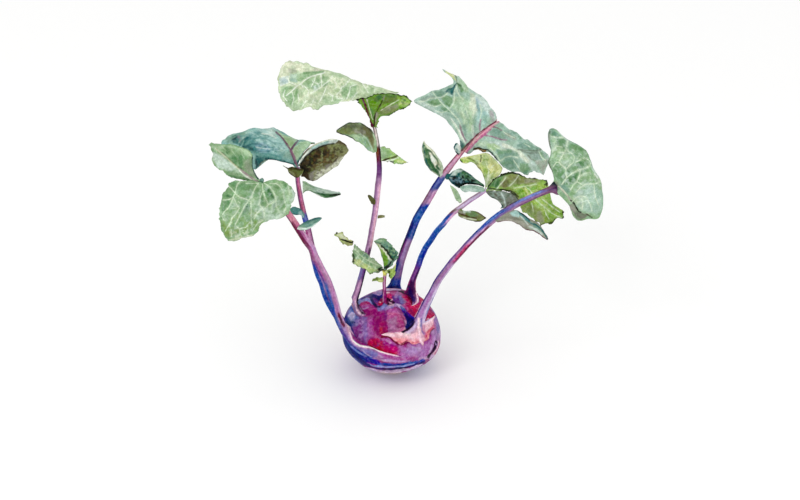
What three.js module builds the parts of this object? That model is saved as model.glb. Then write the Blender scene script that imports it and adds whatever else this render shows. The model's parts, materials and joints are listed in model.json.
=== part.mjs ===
// Kohlrabi with its leaves: a swollen purple stem ("bulb") with seven leaf
// stalks growing from its skin, each carrying lobed blades and small leaflets.
// Millimetres, +Z up. z = 0 is the small flat cut spot under the bulb,
// +X runs along the widest spread of the leaves, +Y away from the front.
import * as THREE from 'three';

// ---------------------------------------------------------------- dimensions
const BULB_RADIUS = 48.5;          // half width of the swollen stem
const BULB_HALF_HEIGHT = 39;       // half height of the swollen stem
const BULB_CENTRE_Z = 42;          // height of its widest belt
const CROWN_DIP = 4.5;             // hollow at the growing point
const CROWN_DIP_ANGLE = 0.24;      // radians from the axis
const CUT_RADIUS = 13.5;           // flat woody cut spot the plant rests on
const CUT_EDGE = 1.2;              // rounding of the cut edge
const BULB_SEGMENTS = 48;          // around
const BULB_RINGS = 24;             // crown to cut

const BLADE_THICKNESS = 0.8;
const BLADE_MIN_HALF_WIDTH = 0.7;  // blades narrow to this, not to a point
const ROWS_PER_STEP = 2;           // grid rows between two given rows
const SMALL_LEAFLET = 30;           // shorter ones get a coarser grid
const FOOT_GAP = 0.62;             // stalk foot stands this far off the skin
const FOOT_EDGE = 1.0;             // thickness of the clasping foot's rim
const FOOT_FLARE = [0.35, 0.7, 1];
const FOOT_UNDER = [0.28, 0.52, 0.76, 1];

const PURPLE_SKIN = { color: 0x7b3a78, roughness: 0.42, metalness: 0 };
const STALK_LOOKS = {
  left_front_stalk: 0xa4688c, left_back_stalk: 0x8a4a72, centre_left_stalk: 0xa98aa6,
  back_stalk: 0x5a62a8, right_mid_stalk: 0x4a63ad, right_front_stalk: 0x8f6c9c,
  young_stalk: 0x9a4a6e,
};
const BLADE_LOOKS = {
  left_front_blade_tip: 0x93ac92, left_front_blade_lobe: 0xa3bf9c, left_back_blade: 0x6d9390,
  left_back_side_lobe: 0x7b7562, left_back_base_lobe: 0x5c604c, left_back_leaflet: 0xb3ccb0,
  left_back_bud_leaflet: 0x7fa298, left_front_leaflet: 0x9cbcb0, centre_left_blade: 0xc4cfb0,
  centre_left_side_lobe: 0x7f9650, centre_left_lobe_a: 0x8d9377, centre_left_lobe_b: 0xa5c584,
  centre_left_bract_a: 0xb9a48c, centre_left_bract_b: 0x7d7a60, young_leaf_left: 0x9cb88c,
  young_leaf_tip: 0xc3cc8e, young_leaf_right: 0x7c9a5c, young_leaf_frill: 0xc2cc8a,
  young_leaf_low: 0xa2a878, back_blade_left: 0xa9c6b6, back_blade_right: 0x9dbaa6,
  back_leaflet_left: 0x86a592, back_leaflet_right: 0x3f5f5c, back_leaflet_knob: 0x86a88e,
  right_mid_blade_up: 0xa9b878, right_mid_blade: 0x8fa552, right_mid_side_lobe: 0xb0cbb4,
  right_mid_leaflet_a: 0xb3cbaa, right_mid_leaflet_b: 0x6f7b62, right_front_blade: 0x9db89c,
  right_front_leaflet_up: 0x86907c, right_front_leaflet_low: 0x7f948f,
};

// Stalks: centre line from the foot to the tip as [x, y, z, radius], and the
// outline of the foot where it clasps the skin of the bulb, as [x, y, z].
const STALKS = {
  left_front_stalk: {
    line: [[-38.6,-19,41.8,4.7], [-43.8,-23,54.2,4.5], [-49.4,-27,73.6,4.3], [-53.6,-31,98.5,4.2], [-58.5,-34,116.7,4.1], [-67.3,-38,145.5,3.9], [-78,-40,170.3,3.8], [-87.8,-41,190.8,3.5], [-94.4,-42,203.5,3.2], [-107.2,-44,223.1,2.6], [-115.8,-47,236.6,2.1], [-119.6,-48.4,242.1,1.7]],
    foot: [[-47,-13.1,47.3], [-45.4,-19,46.6], [-42.8,-24.6,45.7], [-39.9,-29,43.8], [-36.3,-32.9,41.9], [-32.5,-36.3,40.9], [-28.4,-39.4,39.9], [-23.6,-42.3,39.9], [-18.5,-44.8,39.9], [-13.1,-46.7,40.5], [-7.6,-47.9,41.2], [-2.8,-48.4,41.8], [2.2,-48.4,42.5], [6.3,-48.1,43.3], [10.5,-47.3,44.1], [3.1,-48,47.2], [-0.8,-47.9,48.2], [-4.7,-47.4,49.2], [-9.1,-46.6,49.9], [-13.5,-45.3,50.6], [-18,-43.6,51.1], [-22.3,-41.4,51.5], [-25.9,-39.2,51.9], [-29.2,-36.6,52.3], [-32.1,-33.7,53.5], [-34.7,-30.4,54.5], [-38.3,-23.8,57.1], [-39.9,-18.1,59.2], [-42.6,-12.8,58.1], [-44.6,-7.3,56.6], [-47.1,-2.9,52], [-48.4,1.5,47], [-48.1,-5.8,47.2]],
  },
  left_back_stalk: {
    line: [[-40.5,17,30.3,4.5], [-46.9,16,40.2,4.4], [-55.7,15,56,4.2], [-63.7,13,77.7,4], [-70,10,102.1,3.8], [-75.2,7,129.7,3.5], [-79.3,5,155,3.2], [-82.7,4,172.6,2.9], [-85.2,3,192.2,2.6], [-86.9,2,206.1,2.4], [-88.1,2,218.2,2.2], [-88.2,2,228,1.9]],
    foot: [[-39.6,25.6,29.7], [-38.9,24.3,26.8], [-38.8,22.2,24.6], [-39.3,19.6,23.3], [-40.3,16.9,23], [-41.6,14.5,23.4], [-43.1,12.5,24.9], [-44.6,11.2,26.9], [-46,10.8,29.6], [-46.9,11.3,32.7], [-47.2,13,35.6], [-46.6,16,37.2], [-45.5,19.1,37.6], [-44.1,21.9,36.8], [-42.6,23.9,34.9], [-41,25.4,32.6]],
  },
  centre_left_stalk: {
    line: [[-34.6,14,59.1,4.5], [-35.5,15,69.2,3.7], [-32.9,16,80.5,3.3], [-30.2,17,91.7,3.1], [-27.5,18,102.9,3], [-22.5,20,125,3], [-18.1,23,144,2.9], [-14.7,27,162.2,2.9], [-12.9,31,176.8,2.9], [-11.6,35,191.4,2.9], [-11.1,39,207.1,2.5], [-12,43,221.5,2.4], [-13.4,45,233.6,2.1], [-15.3,45,246.8,1.8], [-18.9,41.6,261.1,1.5], [-22.2,37.6,274,1.2], [-24.4,34.8,282.4,0.9]],
    foot: [[-37.8,5.7,67], [-36.7,-0.4,67.9], [-35.1,-6.4,68.5], [-32.7,-10.8,69.5], [-30,-15,70.2], [-23.4,-19.1,72.5], [-17.7,-19.4,74.8], [-19.9,-16.3,75.1], [-24.9,-12.2,74], [-29,-5.7,73], [-30.1,2.6,72.7], [-31.1,9.5,71.5], [-31.5,16.2,69.6], [-33.7,21.3,65.7], [-37.1,19.5,63.7], [-38.1,12.9,65.7]],
  },
  back_stalk: {
    line: [[1.9,34,61.5,7.1], [3.6,36,69.8,5.8], [6.6,38,81.7,4.8], [10.6,41,96.5,4.2], [15.6,44,111.2,4], [21.1,48,125.2,3.9], [27.3,52,141.4,3.8], [36.2,58,158.7,3.7], [48.1,64,177.4,3.5], [58.4,69,191.2,3.1], [67.2,72,202.4,2.5], [72.1,73.2,207.9,2.1], [79,75.6,214,1.7], [87.4,78.4,221.2,1.4], [96.2,81.4,228.5,1.1], [103.8,84,234.7,0.9]],
    foot: [[11.5,39.1,64.7], [10.8,41.5,62], [8.8,43.4,59.8], [5.9,44.8,58.4], [2.6,45.3,58.1], [-0.8,45.2,58.4], [-3.9,44.2,59.8], [-6.3,42.4,61.9], [-7.4,40,64.6], [-6.5,37.6,67.4], [-4.3,35.6,69.5], [-1.4,34.3,70.8], [1.9,33.9,71.1], [5.2,34.2,70.7], [8,35.3,69.4], [10.3,36.9,67.3]],
  },
  right_mid_stalk: {
    line: [[20.5,14,69.9,6], [20.4,14,80.6,5], [22.3,15,93,3.3], [26.4,17,103.5,2.9], [30.5,19,114,2.9], [35.2,21,124.4,2.9], [39.5,23,134.7,2.9], [47.9,26,149,2.8], [58.5,29,161,2.6], [71.6,31,170.6,2.4], [85.7,32,180.8,2.2], [92.9,31.6,187.1,1.8]],
    foot: [[17.3,1.3,78.5], [20.7,-0,77.5], [20.5,-6.7,77], [22.2,-10.2,75.7], [24.4,-3.1,75.8], [25.3,2.7,75.7], [27.3,5.6,74.7], [28.9,11.5,73.2], [29.8,17,71], [26.5,22.6,70.5], [22.4,24.1,71.9], [19,18.4,76.1], [17.4,12.2,78.1], [15.4,5.7,78.9], [12.4,-1.6,79]],
  },
  right_front_stalk: {
    line: [[23.7,-30,62.6,6.9], [27.5,-33,76.5,5.4], [31.3,-35,89.5,4.7], [35.3,-37,102.5,4.3], [39.6,-39,114.2,3.8], [44.4,-41,127,3.6], [50.4,-43,138.5,3.4], [56.9,-45,149.3,3.3], [63.4,-46,159,3.2], [70.1,-47,169.1,3.1], [81.2,-49,187.5,3.1], [92,-50,200.7,3.2], [104.7,-51,211.6,3.2], [113.8,-52,218.5,3.1], [125.4,-54,226.2,3], [136.2,-55,232.4,2.9], [146.9,-57,238.7,3], [152.8,-58.2,241.5,2.8]],
    foot: [[-1.1,-40.8,63.1], [3.1,-42.9,60.1], [7,-42.4,60.2], [10.6,-44,56.5], [13.5,-42.3,58.5], [19.8,-41.2,56.5], [25.6,-38.8,55.3], [30.6,-36.9,50.2], [33.2,-32.4,55.4], [36.5,-28.4,55], [39.2,-22.4,56.9], [43.2,-14.4,55.4], [43.5,-8.2,57.9], [43.2,-3.5,59.6], [41.5,-8.5,61.1], [39.2,-13.3,62.4], [35.2,-18,65.1], [34.3,-13.1,67.7], [30.3,-13.3,70.7], [26.3,-22.3,70.4], [22.3,-30,68.5], [16.8,-34.7,67], [11.4,-37.4,65.7], [5.6,-38.5,65.5], [-2.2,-39.1,65], [-9,-38.6,64.5]],
  },
  young_stalk: {
    line: [[-6.4,-1,75.1,3], [-6.2,-1,83.4,2.2], [-6.2,-1,91.6,1.8], [-6.5,-1,99.9,1.7], [-6.1,-1.4,106.6,1.7], [-5.7,-2,112.9,1.8], [-6.1,-2,116.2,1.3]],
    foot: [[-10.9,-1.1,79.3], [-10.5,-2.5,79.3], [-9.5,-3.5,79.2], [-8.4,-4.2,79.1], [-7.1,-4.5,78.9], [-5.6,-4.4,78.6], [-4.3,-3.7,78.1], [-3.5,-2.4,77.7], [-3.3,-1.1,77.5], [-3.8,0.2,77.6], [-4.7,1.1,77.9], [-5.7,1.9,78.3], [-7,2.3,78.7], [-8.5,2.1,79], [-9.8,1.5,79.2], [-10.6,0.3,79.2]],
  },
};

const BLADES = {
  left_front_blade_tip: { fold: 0.55, rows: [
    [[-121.8,-48.7,241.8], [-120.1,-48.7,242.8], [-120.5,-47.7,244.2]],
    [[-134.1,-50.8,245.6], [-127.7,-48.8,248.3], [-125,-41.8,251.8]],
    [[-145.1,-52.9,248.2], [-134.6,-48.9,254], [-126.8,-36.9,259.9]],
    [[-151.3,-57,258.2], [-141.7,-50,261.1], [-133,-33,267.3]],
    [[-159.5,-59,266.2], [-148.7,-50,267.9], [-144.9,-32,271.4]],
    [[-162,-57,273.9], [-155.7,-50,275], [-154.9,-36,275.2]],
    [[-163.7,-54,280.6], [-162,-48,279.1], [-162.5,-42,278.7]],
    [[-165.2,-49,280.7], [-164.8,-48,281], [-164.6,-47,281.3]]
  ] },
  left_front_blade_lobe: { fold: 0.25, rows: [
    [[-121.4,-49.8,242.6], [-119,-50.8,242.5], [-116.5,-49.8,242.1]],
    [[-133.2,-55.9,247.7], [-121.4,-58.4,240.6], [-105.2,-49.9,244.9]],
    [[-146.1,-60,248.4], [-124.8,-64.5,236.7], [-93.4,-50,239.9]],
    [[-152.5,-62,237.4], [-129,-67,230.7], [-88.6,-51,228.3]],
    [[-156.8,-64,224.2], [-133.7,-70,223.7], [-94.4,-56,212.9]],
    [[-158.1,-66,212.5], [-138.4,-72,215.7], [-111.2,-63,209.8]],
    [[-156.3,-68,200.7], [-143.5,-72,204.8], [-128.1,-68,196.4]],
    [[-151,-69,190.9], [-148.1,-70,191.3], [-144.9,-69,190.7]]
  ] },
  left_back_blade: { fold: 0.15, rows: [
    [[-89.4,1,229], [-88.5,2,228.9], [-87.6,3,229], [-87,3,229.4], [-86.4,3,229.8]],
    [[-103.2,-6,236.5], [-96,0,234.2], [-90.3,4,234.9], [-87.1,4,235.7], [-84.5,2,238.1]],
    [[-116.1,-13,244.8], [-105,-3,242.3], [-93.3,7,240.6], [-87.7,8,240.7], [-82.1,4,244]],
    [[-125.2,-22,239.6], [-112.2,-6,247.6], [-95.8,10,244.8], [-87.2,12,244.1], [-78,8,247.2]],
    [[-140.2,-22,246.9], [-120.6,-4,252.4], [-99.1,14,247.6], [-87.1,18,245.2], [-71.6,14,248.4]],
    [[-157.2,-12,259.5], [-130.2,2,256.6], [-102.9,19,249.8], [-92.1,25,245.3], [-80.7,24,245.3]],
    [[-154.7,4,259.7], [-131,14,256.8], [-106.5,26,250.3], [-99.2,32,245.1], [-91.6,32,243.1]],
    [[-139,20,258.1], [-124.3,26,255.3], [-110,34,250.3], [-105.7,38,246.8], [-100.5,39,245.2]],
    [[-123.1,36,252.1], [-118.1,39,250.9], [-113.3,41,250], [-111.1,42,249], [-108.8,43,247.8]]
  ] },
  left_back_side_lobe: { fold: 0.0, rows: [
    [[-84.9,1.9,218.5], [-85.2,1.3,222.6], [-85.7,0.4,227.5], [-86.1,-0.6,232.7], [-85.5,-2.1,232.3]],
    [[-80.5,3.2,214.1], [-79,-0.8,223.4], [-79,-6.8,236.9], [-81,-12.8,251.3], [-80.8,-15.3,248.6]],
    [[-71.9,6.1,211.5], [-70.5,1.1,223.7], [-70.7,-7.9,241.8], [-72.7,-16.9,261.4], [-73,-19.9,258.2]],
    [[-61.7,8,217.6], [-61,2,230.2], [-61.8,-9,248.8], [-63.6,-19,267.2], [-64,-22,264.4]],
    [[-51.6,8,225.3], [-51.9,2,237.8], [-53,-9,254], [-54.4,-19,269.9], [-54.6,-22,268]],
    [[-45.4,4,237.5], [-46.1,0,245.6], [-46.6,-8,256.2], [-46.8,-16,266.4], [-46.9,-18,266]],
    [[-39.4,-1,248.1], [-39.5,-3,250.5], [-40.1,-6,254.1], [-41.1,-10,258.8], [-41.6,-11,259]]
  ] },
  left_back_base_lobe: { fold: 0.2, rows: [
    [[-83.7,-5,225.4], [-82.5,-5,228.3], [-81.9,-5.6,230.6]],
    [[-88.3,-2.6,220.4], [-88.4,-1.6,225.7], [-87.5,-3,230.4]],
    [[-93.8,-3.4,223.9], [-93.6,-4.4,229], [-93,-5.2,232.5]],
    [[-97.8,-5,230.2], [-97.7,-6,232.5], [-97.6,-6.4,234.5]],
    [[-101.3,-7,235.4], [-101.3,-7,235.8], [-101.3,-7,236.2]]
  ] },
  left_back_leaflet: { fold: 0.3, rows: [
    [[-83.7,-0.9,201.6], [-83.8,1.1,207.7], [-84,3.1,213.2]],
    [[-78.3,-3,206.3], [-78,2,207.2], [-77.7,7,207.8]],
    [[-70,-8,203.5], [-69.3,-1,204.7], [-68.7,8,203.3]],
    [[-60.4,-11,202.6], [-59.7,-3,203.2], [-59.5,6,201.5]],
    [[-52.8,-8,202.9], [-52,-3,202.6], [-51.7,3,201.5]],
    [[-48,-3,201.5], [-47.7,-2,201.6], [-47.9,-1,201.6]]
  ] },
  left_back_bud_leaflet: { fold: 0.2, rows: [
    [[-84.4,0.1,173.4], [-83.3,0.1,175.6], [-82.7,0,177.9]],
    [[-86.2,-3.5,179.1], [-85.3,-4.5,182], [-84.6,-2.5,183]],
    [[-90.3,-7.1,181.8], [-89.2,-8.1,186], [-88.3,-5.1,187.8]],
    [[-94.5,-7.8,183.8], [-93.4,-8.8,187.7], [-92.6,-6.8,190.1]],
    [[-96.1,-8,186.9], [-95.8,-8,187.8], [-95.4,-7,188.3]]
  ] },
  left_front_leaflet: { fold: 0.2, rows: [
    [[-87.5,-45.4,189], [-87.3,-45.4,190.4], [-86.3,-45.4,191.9]],
    [[-83.2,-49.7,190.2], [-83.7,-47.7,192.7], [-82.3,-43.7,194.4]],
    [[-77.5,-50.9,191.9], [-77.8,-47.9,194.9], [-77.6,-42.9,196.9]],
    [[-71.4,-50,195.4], [-71.8,-47,198], [-72,-42,199.1]],
    [[-66.7,-47,198.2], [-67,-45,199.2], [-67.3,-42,200]],
    [[-64.4,-45,199.6], [-64.4,-44,199.7], [-64.6,-43,199.7]]
  ] },
  centre_left_blade: { fold: 0.25, rows: [
    [[1.4,42,284.4], [6.1,45,285], [8,50,283.9]],
    [[-14.7,37,285.5], [-9.1,45,288.6], [-6.3,55,285.2]],
    [[-31.2,32,285.5], [-24.2,44,293.4], [-21.7,60,287.3]],
    [[-46.2,26,285.7], [-39.4,46,297.2], [-37,64,290.2]],
    [[-60.4,25,283.2], [-52.7,48,301.9], [-50.5,67,295.2]],
    [[-72.7,24,279.3], [-65,50,303.5], [-62.9,68,298.9]],
    [[-84.1,25,279], [-76.9,47,299.5], [-76.2,68,303.6]],
    [[-93.7,28,277], [-87.3,44,294.1], [-89.5,68,307.6]],
    [[-100.4,32,280.6], [-96,43,289.8], [-102.2,64,307.3]],
    [[-104.3,38,283.9], [-104.5,42,287.7], [-107.7,54,295.9]]
  ] },
  centre_left_side_lobe: { fold: 0.0, rows: [
    [[-18.2,42.4,249.9], [-16.6,41.3,250.7], [-15,41.7,250.8], [-13.5,42.7,249.8], [-12.4,43.7,248.6]],
    [[-23.7,37.8,264], [-19.5,35.8,265.7], [-15.1,33.8,266.7], [-11.5,34.8,264.5], [-8.7,36.8,261.7]],
    [[-27.8,31.9,277.2], [-20.9,30.9,278.8], [-12.2,28.9,280.7], [-3.3,29.9,277], [2.9,33.9,268.7]],
    [[-31.5,25,289.2], [-21.1,25.5,290.8], [-7,24,296], [9,24,294.5], [21.5,28,285.3]]
  ] },
  centre_left_lobe_a: { fold: 0.5, rows: [
    [[-13.6,40.4,224.2], [-13.7,40.9,227.8], [-13.7,42,235.5]],
    [[-20.5,36.1,228.4], [-19.9,37.1,235.5], [-18.5,45.1,247.1]],
    [[-27.7,31.4,237.5], [-26.9,33.4,244.9], [-26.4,44.4,252.9]],
    [[-34.6,29.1,244.1], [-34,32.1,250.1], [-34.5,43.1,255.1]],
    [[-42.4,29,248.5], [-42,32,251.6], [-42.6,40,254.9]],
    [[-48.7,31,249.6], [-48.5,32,250.7], [-48.2,36,252.1]],
    [[-51.6,33,249.8], [-51.6,33,250.2], [-51.5,34,250.2]]
  ] },
  centre_left_lobe_b: { fold: 0.45, rows: [
    [[-9,38.5,215.2], [-9.2,39.5,217.5], [-10,42.5,228.5]],
    [[-3.7,35.3,216.5], [-3.7,38.3,219.7], [-3.9,45.3,227.1]],
    [[2.7,33.1,215.3], [2.7,38.1,220.7], [2.3,44.1,223.8]],
    [[9,33,215.3], [9,37,218.2], [8,41,220.4]],
    [[16,36,215], [16.2,36,215.4], [16,37,215.3]]
  ] },
  centre_left_bract_a: { fold: 0.2, rows: [
    [[-15.4,26.5,173.1], [-14.9,27.1,175.6], [-15,27.8,177.6]],
    [[-18.4,24.1,175.3], [-18.2,25.1,178.6], [-17.4,26.1,181.6]],
    [[-20.9,22.4,180.6], [-20.9,23.4,182.8], [-20.1,24.4,185.3]],
    [[-22.2,23,184.7], [-22.2,23,185.4], [-21.8,23,186.3]]
  ] },
  centre_left_bract_b: { fold: 0.2, rows: [
    [[-12.8,23.3,159.3], [-12.8,23.5,161.3], [-12.2,24,162.6]],
    [[-9.7,21.3,161], [-9.5,22.3,162.2], [-9.3,24.3,162.6]],
    [[-6.2,22,161.5], [-6,22,162.2], [-6,23,162.3]]
  ] },
  young_leaf_left: { fold: 0.25, rows: [
    [[-8.3,-2,114.9], [-7.9,-2,116.7], [-7.7,-1,118.4]],
    [[-13.8,-9,117.6], [-13.6,-5,120.8], [-15.2,4,122.7]],
    [[-19.8,-13,119.7], [-20.8,-6,124.5], [-21.1,6,127]],
    [[-27.5,-14,125.4], [-27.6,-6,129.1], [-28,7,132.7]],
    [[-35.2,-14,128.7], [-33.4,-6,133.7], [-33,7,137.5]],
    [[-38.3,-10,135.3], [-37.2,-5,137.7], [-35.6,4,140.5]]
  ] },
  young_leaf_tip: { fold: 0.3, rows: [
    [[-37,4.5,140.4], [-36.8,5.5,141.4], [-36.2,7,143.7]],
    [[-42.3,0,140.7], [-42,3,143.7], [-41.3,7,143.9]],
    [[-47.5,-1,145.7], [-46.7,2,148.4], [-44.8,8,148.6]],
    [[-50.7,0,151], [-50.4,3,152.1], [-48.5,7,154]],
    [[-54,2,153.6], [-53.9,3,154.2], [-53.1,4,154.9]]
  ] },
  young_leaf_right: { fold: 0.75, rows: [
    [[-6.9,-2.3,117], [-5.5,-3.9,116.8], [-3.6,0.1,116.1]],
    [[-7.7,2.3,124.3], [-3.2,-5.7,126.2], [3.8,1.3,120.6]],
    [[-10.5,6.8,131.6], [-4.4,-6.2,135.9], [7.1,0.8,130.5]],
    [[-14.1,9.2,137.2], [-7.4,-2.8,141.9], [3.3,4.2,136.9]],
    [[-16.4,11,140.8], [-11,2,145.4], [-3.9,9,142.5]],
    [[-14,10,142.8], [-11.1,7,145.5], [-7.6,10,144.2]]
  ] },
  young_leaf_frill: { fold: 0.3, rows: [
    [[-6,-4.5,114.4], [-4.9,-4,115.9], [-3.6,-4.6,117.4]],
    [[-1.8,-9.6,114.5], [-1,-10.2,119.1], [0.6,-10.6,123.1]],
    [[-0,-13.1,110.5], [2.3,-14.1,117.2], [5.8,-14.1,129.6]],
    [[-1.5,-15,108.5], [3.4,-14,112.5], [4.7,-12,120.2]]
  ] },
  young_leaf_low: { fold: 0.3, rows: [
    [[-7.5,-3.7,103], [-7.3,-3.7,106], [-8.1,-3.1,107.9]],
    [[-12.6,-7.3,105.1], [-12.4,-5.3,107.1], [-13.2,-2.3,108.4]],
    [[-18.6,-7,105.4], [-18.4,-6,105.9], [-17.7,-4,106.5]]
  ] },
  back_blade_left: { fold: 0.1, rows: [
    [[69.1,70.1,209.1], [69.9,70.1,208.7], [70.9,70.1,208], [71.7,70.1,208], [72.7,70.4,208.9]],
    [[66.9,76.1,218.2], [71.1,76.1,217.3], [76.6,75.1,217.2], [80.6,75,218], [83.2,74.7,218.4]],
    [[60,82,227.5], [68.3,82,227], [78.1,80,226.8], [86.7,79,226.6], [92.8,78.2,226.5]],
    [[53.7,85,234.8], [65.3,87,236], [78.9,85,235], [92.2,82,234.2], [99.1,80.5,231.6]],
    [[43,84,243.3], [58.8,90,245.7], [76.3,90,243.3], [92.6,87,241.7], [103.4,84,236.9]],
    [[32.1,82,250.3], [50.6,90,253], [71.2,94,251.1], [88.1,93,248.1], [101.1,89,241.6]],
    [[22.8,80,258.9], [42.2,88,262.2], [65.1,95,260.3], [80.2,98,255.9], [95.3,96,249]],
    [[27.2,84,260.9], [45.2,91,264.2], [63.7,96,268.8], [71.4,102,263.5], [84.5,102,256]],
    [[36.4,88,264.2], [52.7,93,262.9], [64.3,98,270.8], [67.6,104,269.1], [75.6,105,262.2]],
    [[44.6,91,264.1], [55.7,94,262.4], [64.1,100,271.8], [63.6,106,274.9], [67,107,272.2]],
    [[50.5,93,262.7], [57.5,95,262.5], [60.8,102,274.5], [57.1,106,278.8], [58.7,107,279.9]]
  ] },
  back_blade_right: { fold: 0.1, rows: [
    [[72.4,70,207.6], [73.6,70.5,207.9], [74.6,71,208.8], [75.7,71.4,210], [76.6,71.8,210.9]],
    [[78.7,65.3,210], [79.9,68.3,212], [81.5,71.3,214.4], [82.7,73.3,217.1], [83.5,74.3,218.6]],
    [[90,61.5,214.6], [91.7,66.5,217.2], [92.6,70.5,220.6], [93.1,74.5,223.8], [93.5,76.5,226.3]],
    [[101,58.1,210.2], [104.2,64.1,215.6], [104.9,70.1,221.1], [103.7,77.1,226.6], [102.1,80.1,231.5]],
    [[111.5,54,199.9], [116.3,61,208.8], [117.6,69,216], [117,75.6,223.1], [106.3,82.2,233.8]],
    [[121.4,53,194.9], [125.8,60,204.4], [128.3,67,211.5], [127.7,74,218.2], [115.9,80,227.7]],
    [[133.5,52,191.4], [136,58,200.1], [138.4,65,207], [137.3,71,212.7], [128.7,77,219.7]],
    [[139.9,53,195.1], [142.7,58,200.4], [145.2,63,204.5], [146,68,207.6], [141.3,73,215.4]],
    [[149.1,52,191.6], [150.7,55,196.2], [152.2,59,199.6], [153.3,63,204.1], [151.5,67,209.7]],
    [[152.3,55,197.1], [153.5,57,198.7], [154.5,59,200.7], [155.2,61,203.2], [155.5,63,206.6]]
  ] },
  back_leaflet_left: { fold: 0.5, rows: [
    [[48.5,62.4,183.2], [49.8,62.6,184.4], [50.9,62.6,186.2]],
    [[40.6,56.5,192.7], [44.9,57.5,195.9], [52.7,62.5,194.9]],
    [[34.9,51.9,205.1], [39.8,53.9,207.4], [50.3,60.9,202.8]],
    [[31.5,50.2,216.7], [35.8,52.2,217.8], [43.7,58.2,214.5]],
    [[30.8,51,225.2], [32.9,52,225.6], [36.3,55,223]],
    [[32.1,53,229.7], [32.4,53,229.9], [32.8,54,229]]
  ] },
  back_leaflet_right: { fold: 0.35, rows: [
    [[54.1,62.2,181.8], [54,62.3,184.3], [54.6,62.3,186.8]],
    [[59.7,55.3,179.5], [60,57.3,185.4], [60.5,63.3,190.2]],
    [[67.2,50.9,177.9], [68,54.9,185.3], [68.9,62.9,192.1]],
    [[75.4,50.2,183.2], [76.2,54.2,186.8], [76.8,61.2,189.6]],
    [[83.7,50,181.2], [84.2,53,184], [84.1,58,185.9]],
    [[91.4,52,178.4], [91.7,52,179.1], [91.6,53,179.5]]
  ] },
  back_leaflet_knob: { fold: 0.1, rows: [
    [[66.9,69,204.2], [67.4,69.7,205.6], [68.6,69.8,206.5]],
    [[63.4,65.1,210.3], [65.3,63.1,213.6], [68.6,68.1,212.4]],
    [[61.2,63.7,216.3], [63.9,61.7,219], [67.4,66.7,216.7]],
    [[63.3,65,220], [64.2,65,220.4], [65.5,66.5,219.2]]
  ] },
  right_mid_blade_up: { fold: 0.3, rows: [
    [[92.1,34.4,187.3], [93.3,33.9,188.1], [94.8,33.9,189]],
    [[90.1,36.9,196.9], [95.5,36.9,197.2], [101.2,38.9,194]],
    [[86.4,41,203.9], [96.9,41,205.2], [107.5,44,199.7]],
    [[81.4,46,209.1], [95.2,46,211.8], [107.2,49,204.3]],
    [[75,50,206.7], [89.3,50,213.6], [99.4,53,212.1]],
    [[69.2,53,206.1], [77.8,53,210.3], [93.4,56,215.8]],
    [[67.7,55,208.6], [71.2,55,210.8], [81.8,56,209.6]]
  ] },
  right_mid_blade: { fold: 0.35, rows: [
    [[92.6,28.8,186.8], [93.2,30.1,188.2], [93.7,30.6,189.5]],
    [[105,22,191.1], [104.1,26,194.8], [102,33,200.2]],
    [[114.9,16,192.8], [115,22,198], [114.3,33,205.1]],
    [[124.1,6,184.6], [125.1,18,197.2], [125.1,31,205.5]],
    [[126.4,0,177.9], [133.2,13,194.8], [134.3,27,203.2]],
    [[135.5,-4,173.8], [143.1,8,190.4], [145.7,24,204.2]],
    [[145.5,-7,170], [152.6,3,184.8], [151.9,20,202.8]],
    [[157.1,-8,174.6], [160.9,0,180.1], [150.5,8,189.3]],
    [[165.8,-8,178.2], [166.4,-4,179.8], [164.6,0,183.5]]
  ] },
  right_mid_side_lobe: { fold: 0.3, rows: [
    [[91.7,28.8,187], [91.7,29.2,187.9], [91.5,29.4,188.9]],
    [[85.1,22.4,189.6], [85.1,25.4,192.5], [85.2,29.4,193.8]],
    [[76.9,20.2,191.5], [77,23.2,194], [76.9,28.2,195.4]],
    [[70.9,19,191.3], [70.9,22,193.3], [71,26,195]],
    [[67.2,21,195.3], [67.2,21.4,195.7], [67.4,22,196.3]]
  ] },
  right_mid_leaflet_a: { fold: 0.3, rows: [
    [[69.7,33.5,171.9], [68.7,33.3,171.3], [67.5,33.3,170.7]],
    [[68,36.2,177.4], [65.4,34.2,177.2], [63,33.2,175.6]],
    [[65.1,38.1,182.5], [62.7,36.1,182.3], [60.5,35.1,181.1]],
    [[58.6,39,188.2], [58.2,39,188], [57.8,39,187.5]]
  ] },
  right_mid_leaflet_b: { fold: 0.3, rows: [
    [[65.2,26.6,164.4], [66.7,26.7,166.5], [68.6,26.7,168.8]],
    [[70.5,18.5,163.2], [72.4,20.5,167.2], [73.8,23.5,169.7]],
    [[77.4,14.5,162], [80.3,17.5,166.6], [81.4,21.5,169]],
    [[85.2,13.1,161.5], [87.2,16.1,164.7], [87,19.1,167.7]],
    [[92.6,15,164.6], [93,15.4,165], [92.8,16,165.4]]
  ] },
  right_front_blade: { fold: 0.2, rows: [
    [[150.5,-60.6,236.9], [150.8,-60.9,237.4], [152.6,-62,239.7], [153.2,-59.3,243.7], [152.1,-58.1,245.4], [149.6,-56.9,246.1]],
    [[153.4,-62.9,238.4], [153.7,-63.5,239.4], [158.3,-64.5,244.4], [161.4,-63.5,250.4], [156.2,-59.5,257.1], [148.2,-53.5,253.9]],
    [[159.9,-66.4,233.4], [160.6,-67.8,235.5], [166.1,-69.8,243.2], [170.1,-68.8,251.7], [162.7,-60.8,267.2], [145.8,-51.8,260.7]],
    [[164.7,-65,224.9], [168,-71,230.8], [172.9,-73,240.6], [176.4,-72,250.6], [168.9,-62,271.4], [144.3,-49,267.9]],
    [[170.3,-63,212.6], [174,-72,223.6], [178.7,-74,235.8], [182.1,-72,247.1], [173.5,-62,271.9], [146.9,-46,274.1]],
    [[176.2,-63,208.7], [181.1,-71,220], [184.9,-73,230.8], [186.9,-71,243.8], [177.4,-61,268.9], [144.2,-42,282.9]],
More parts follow.
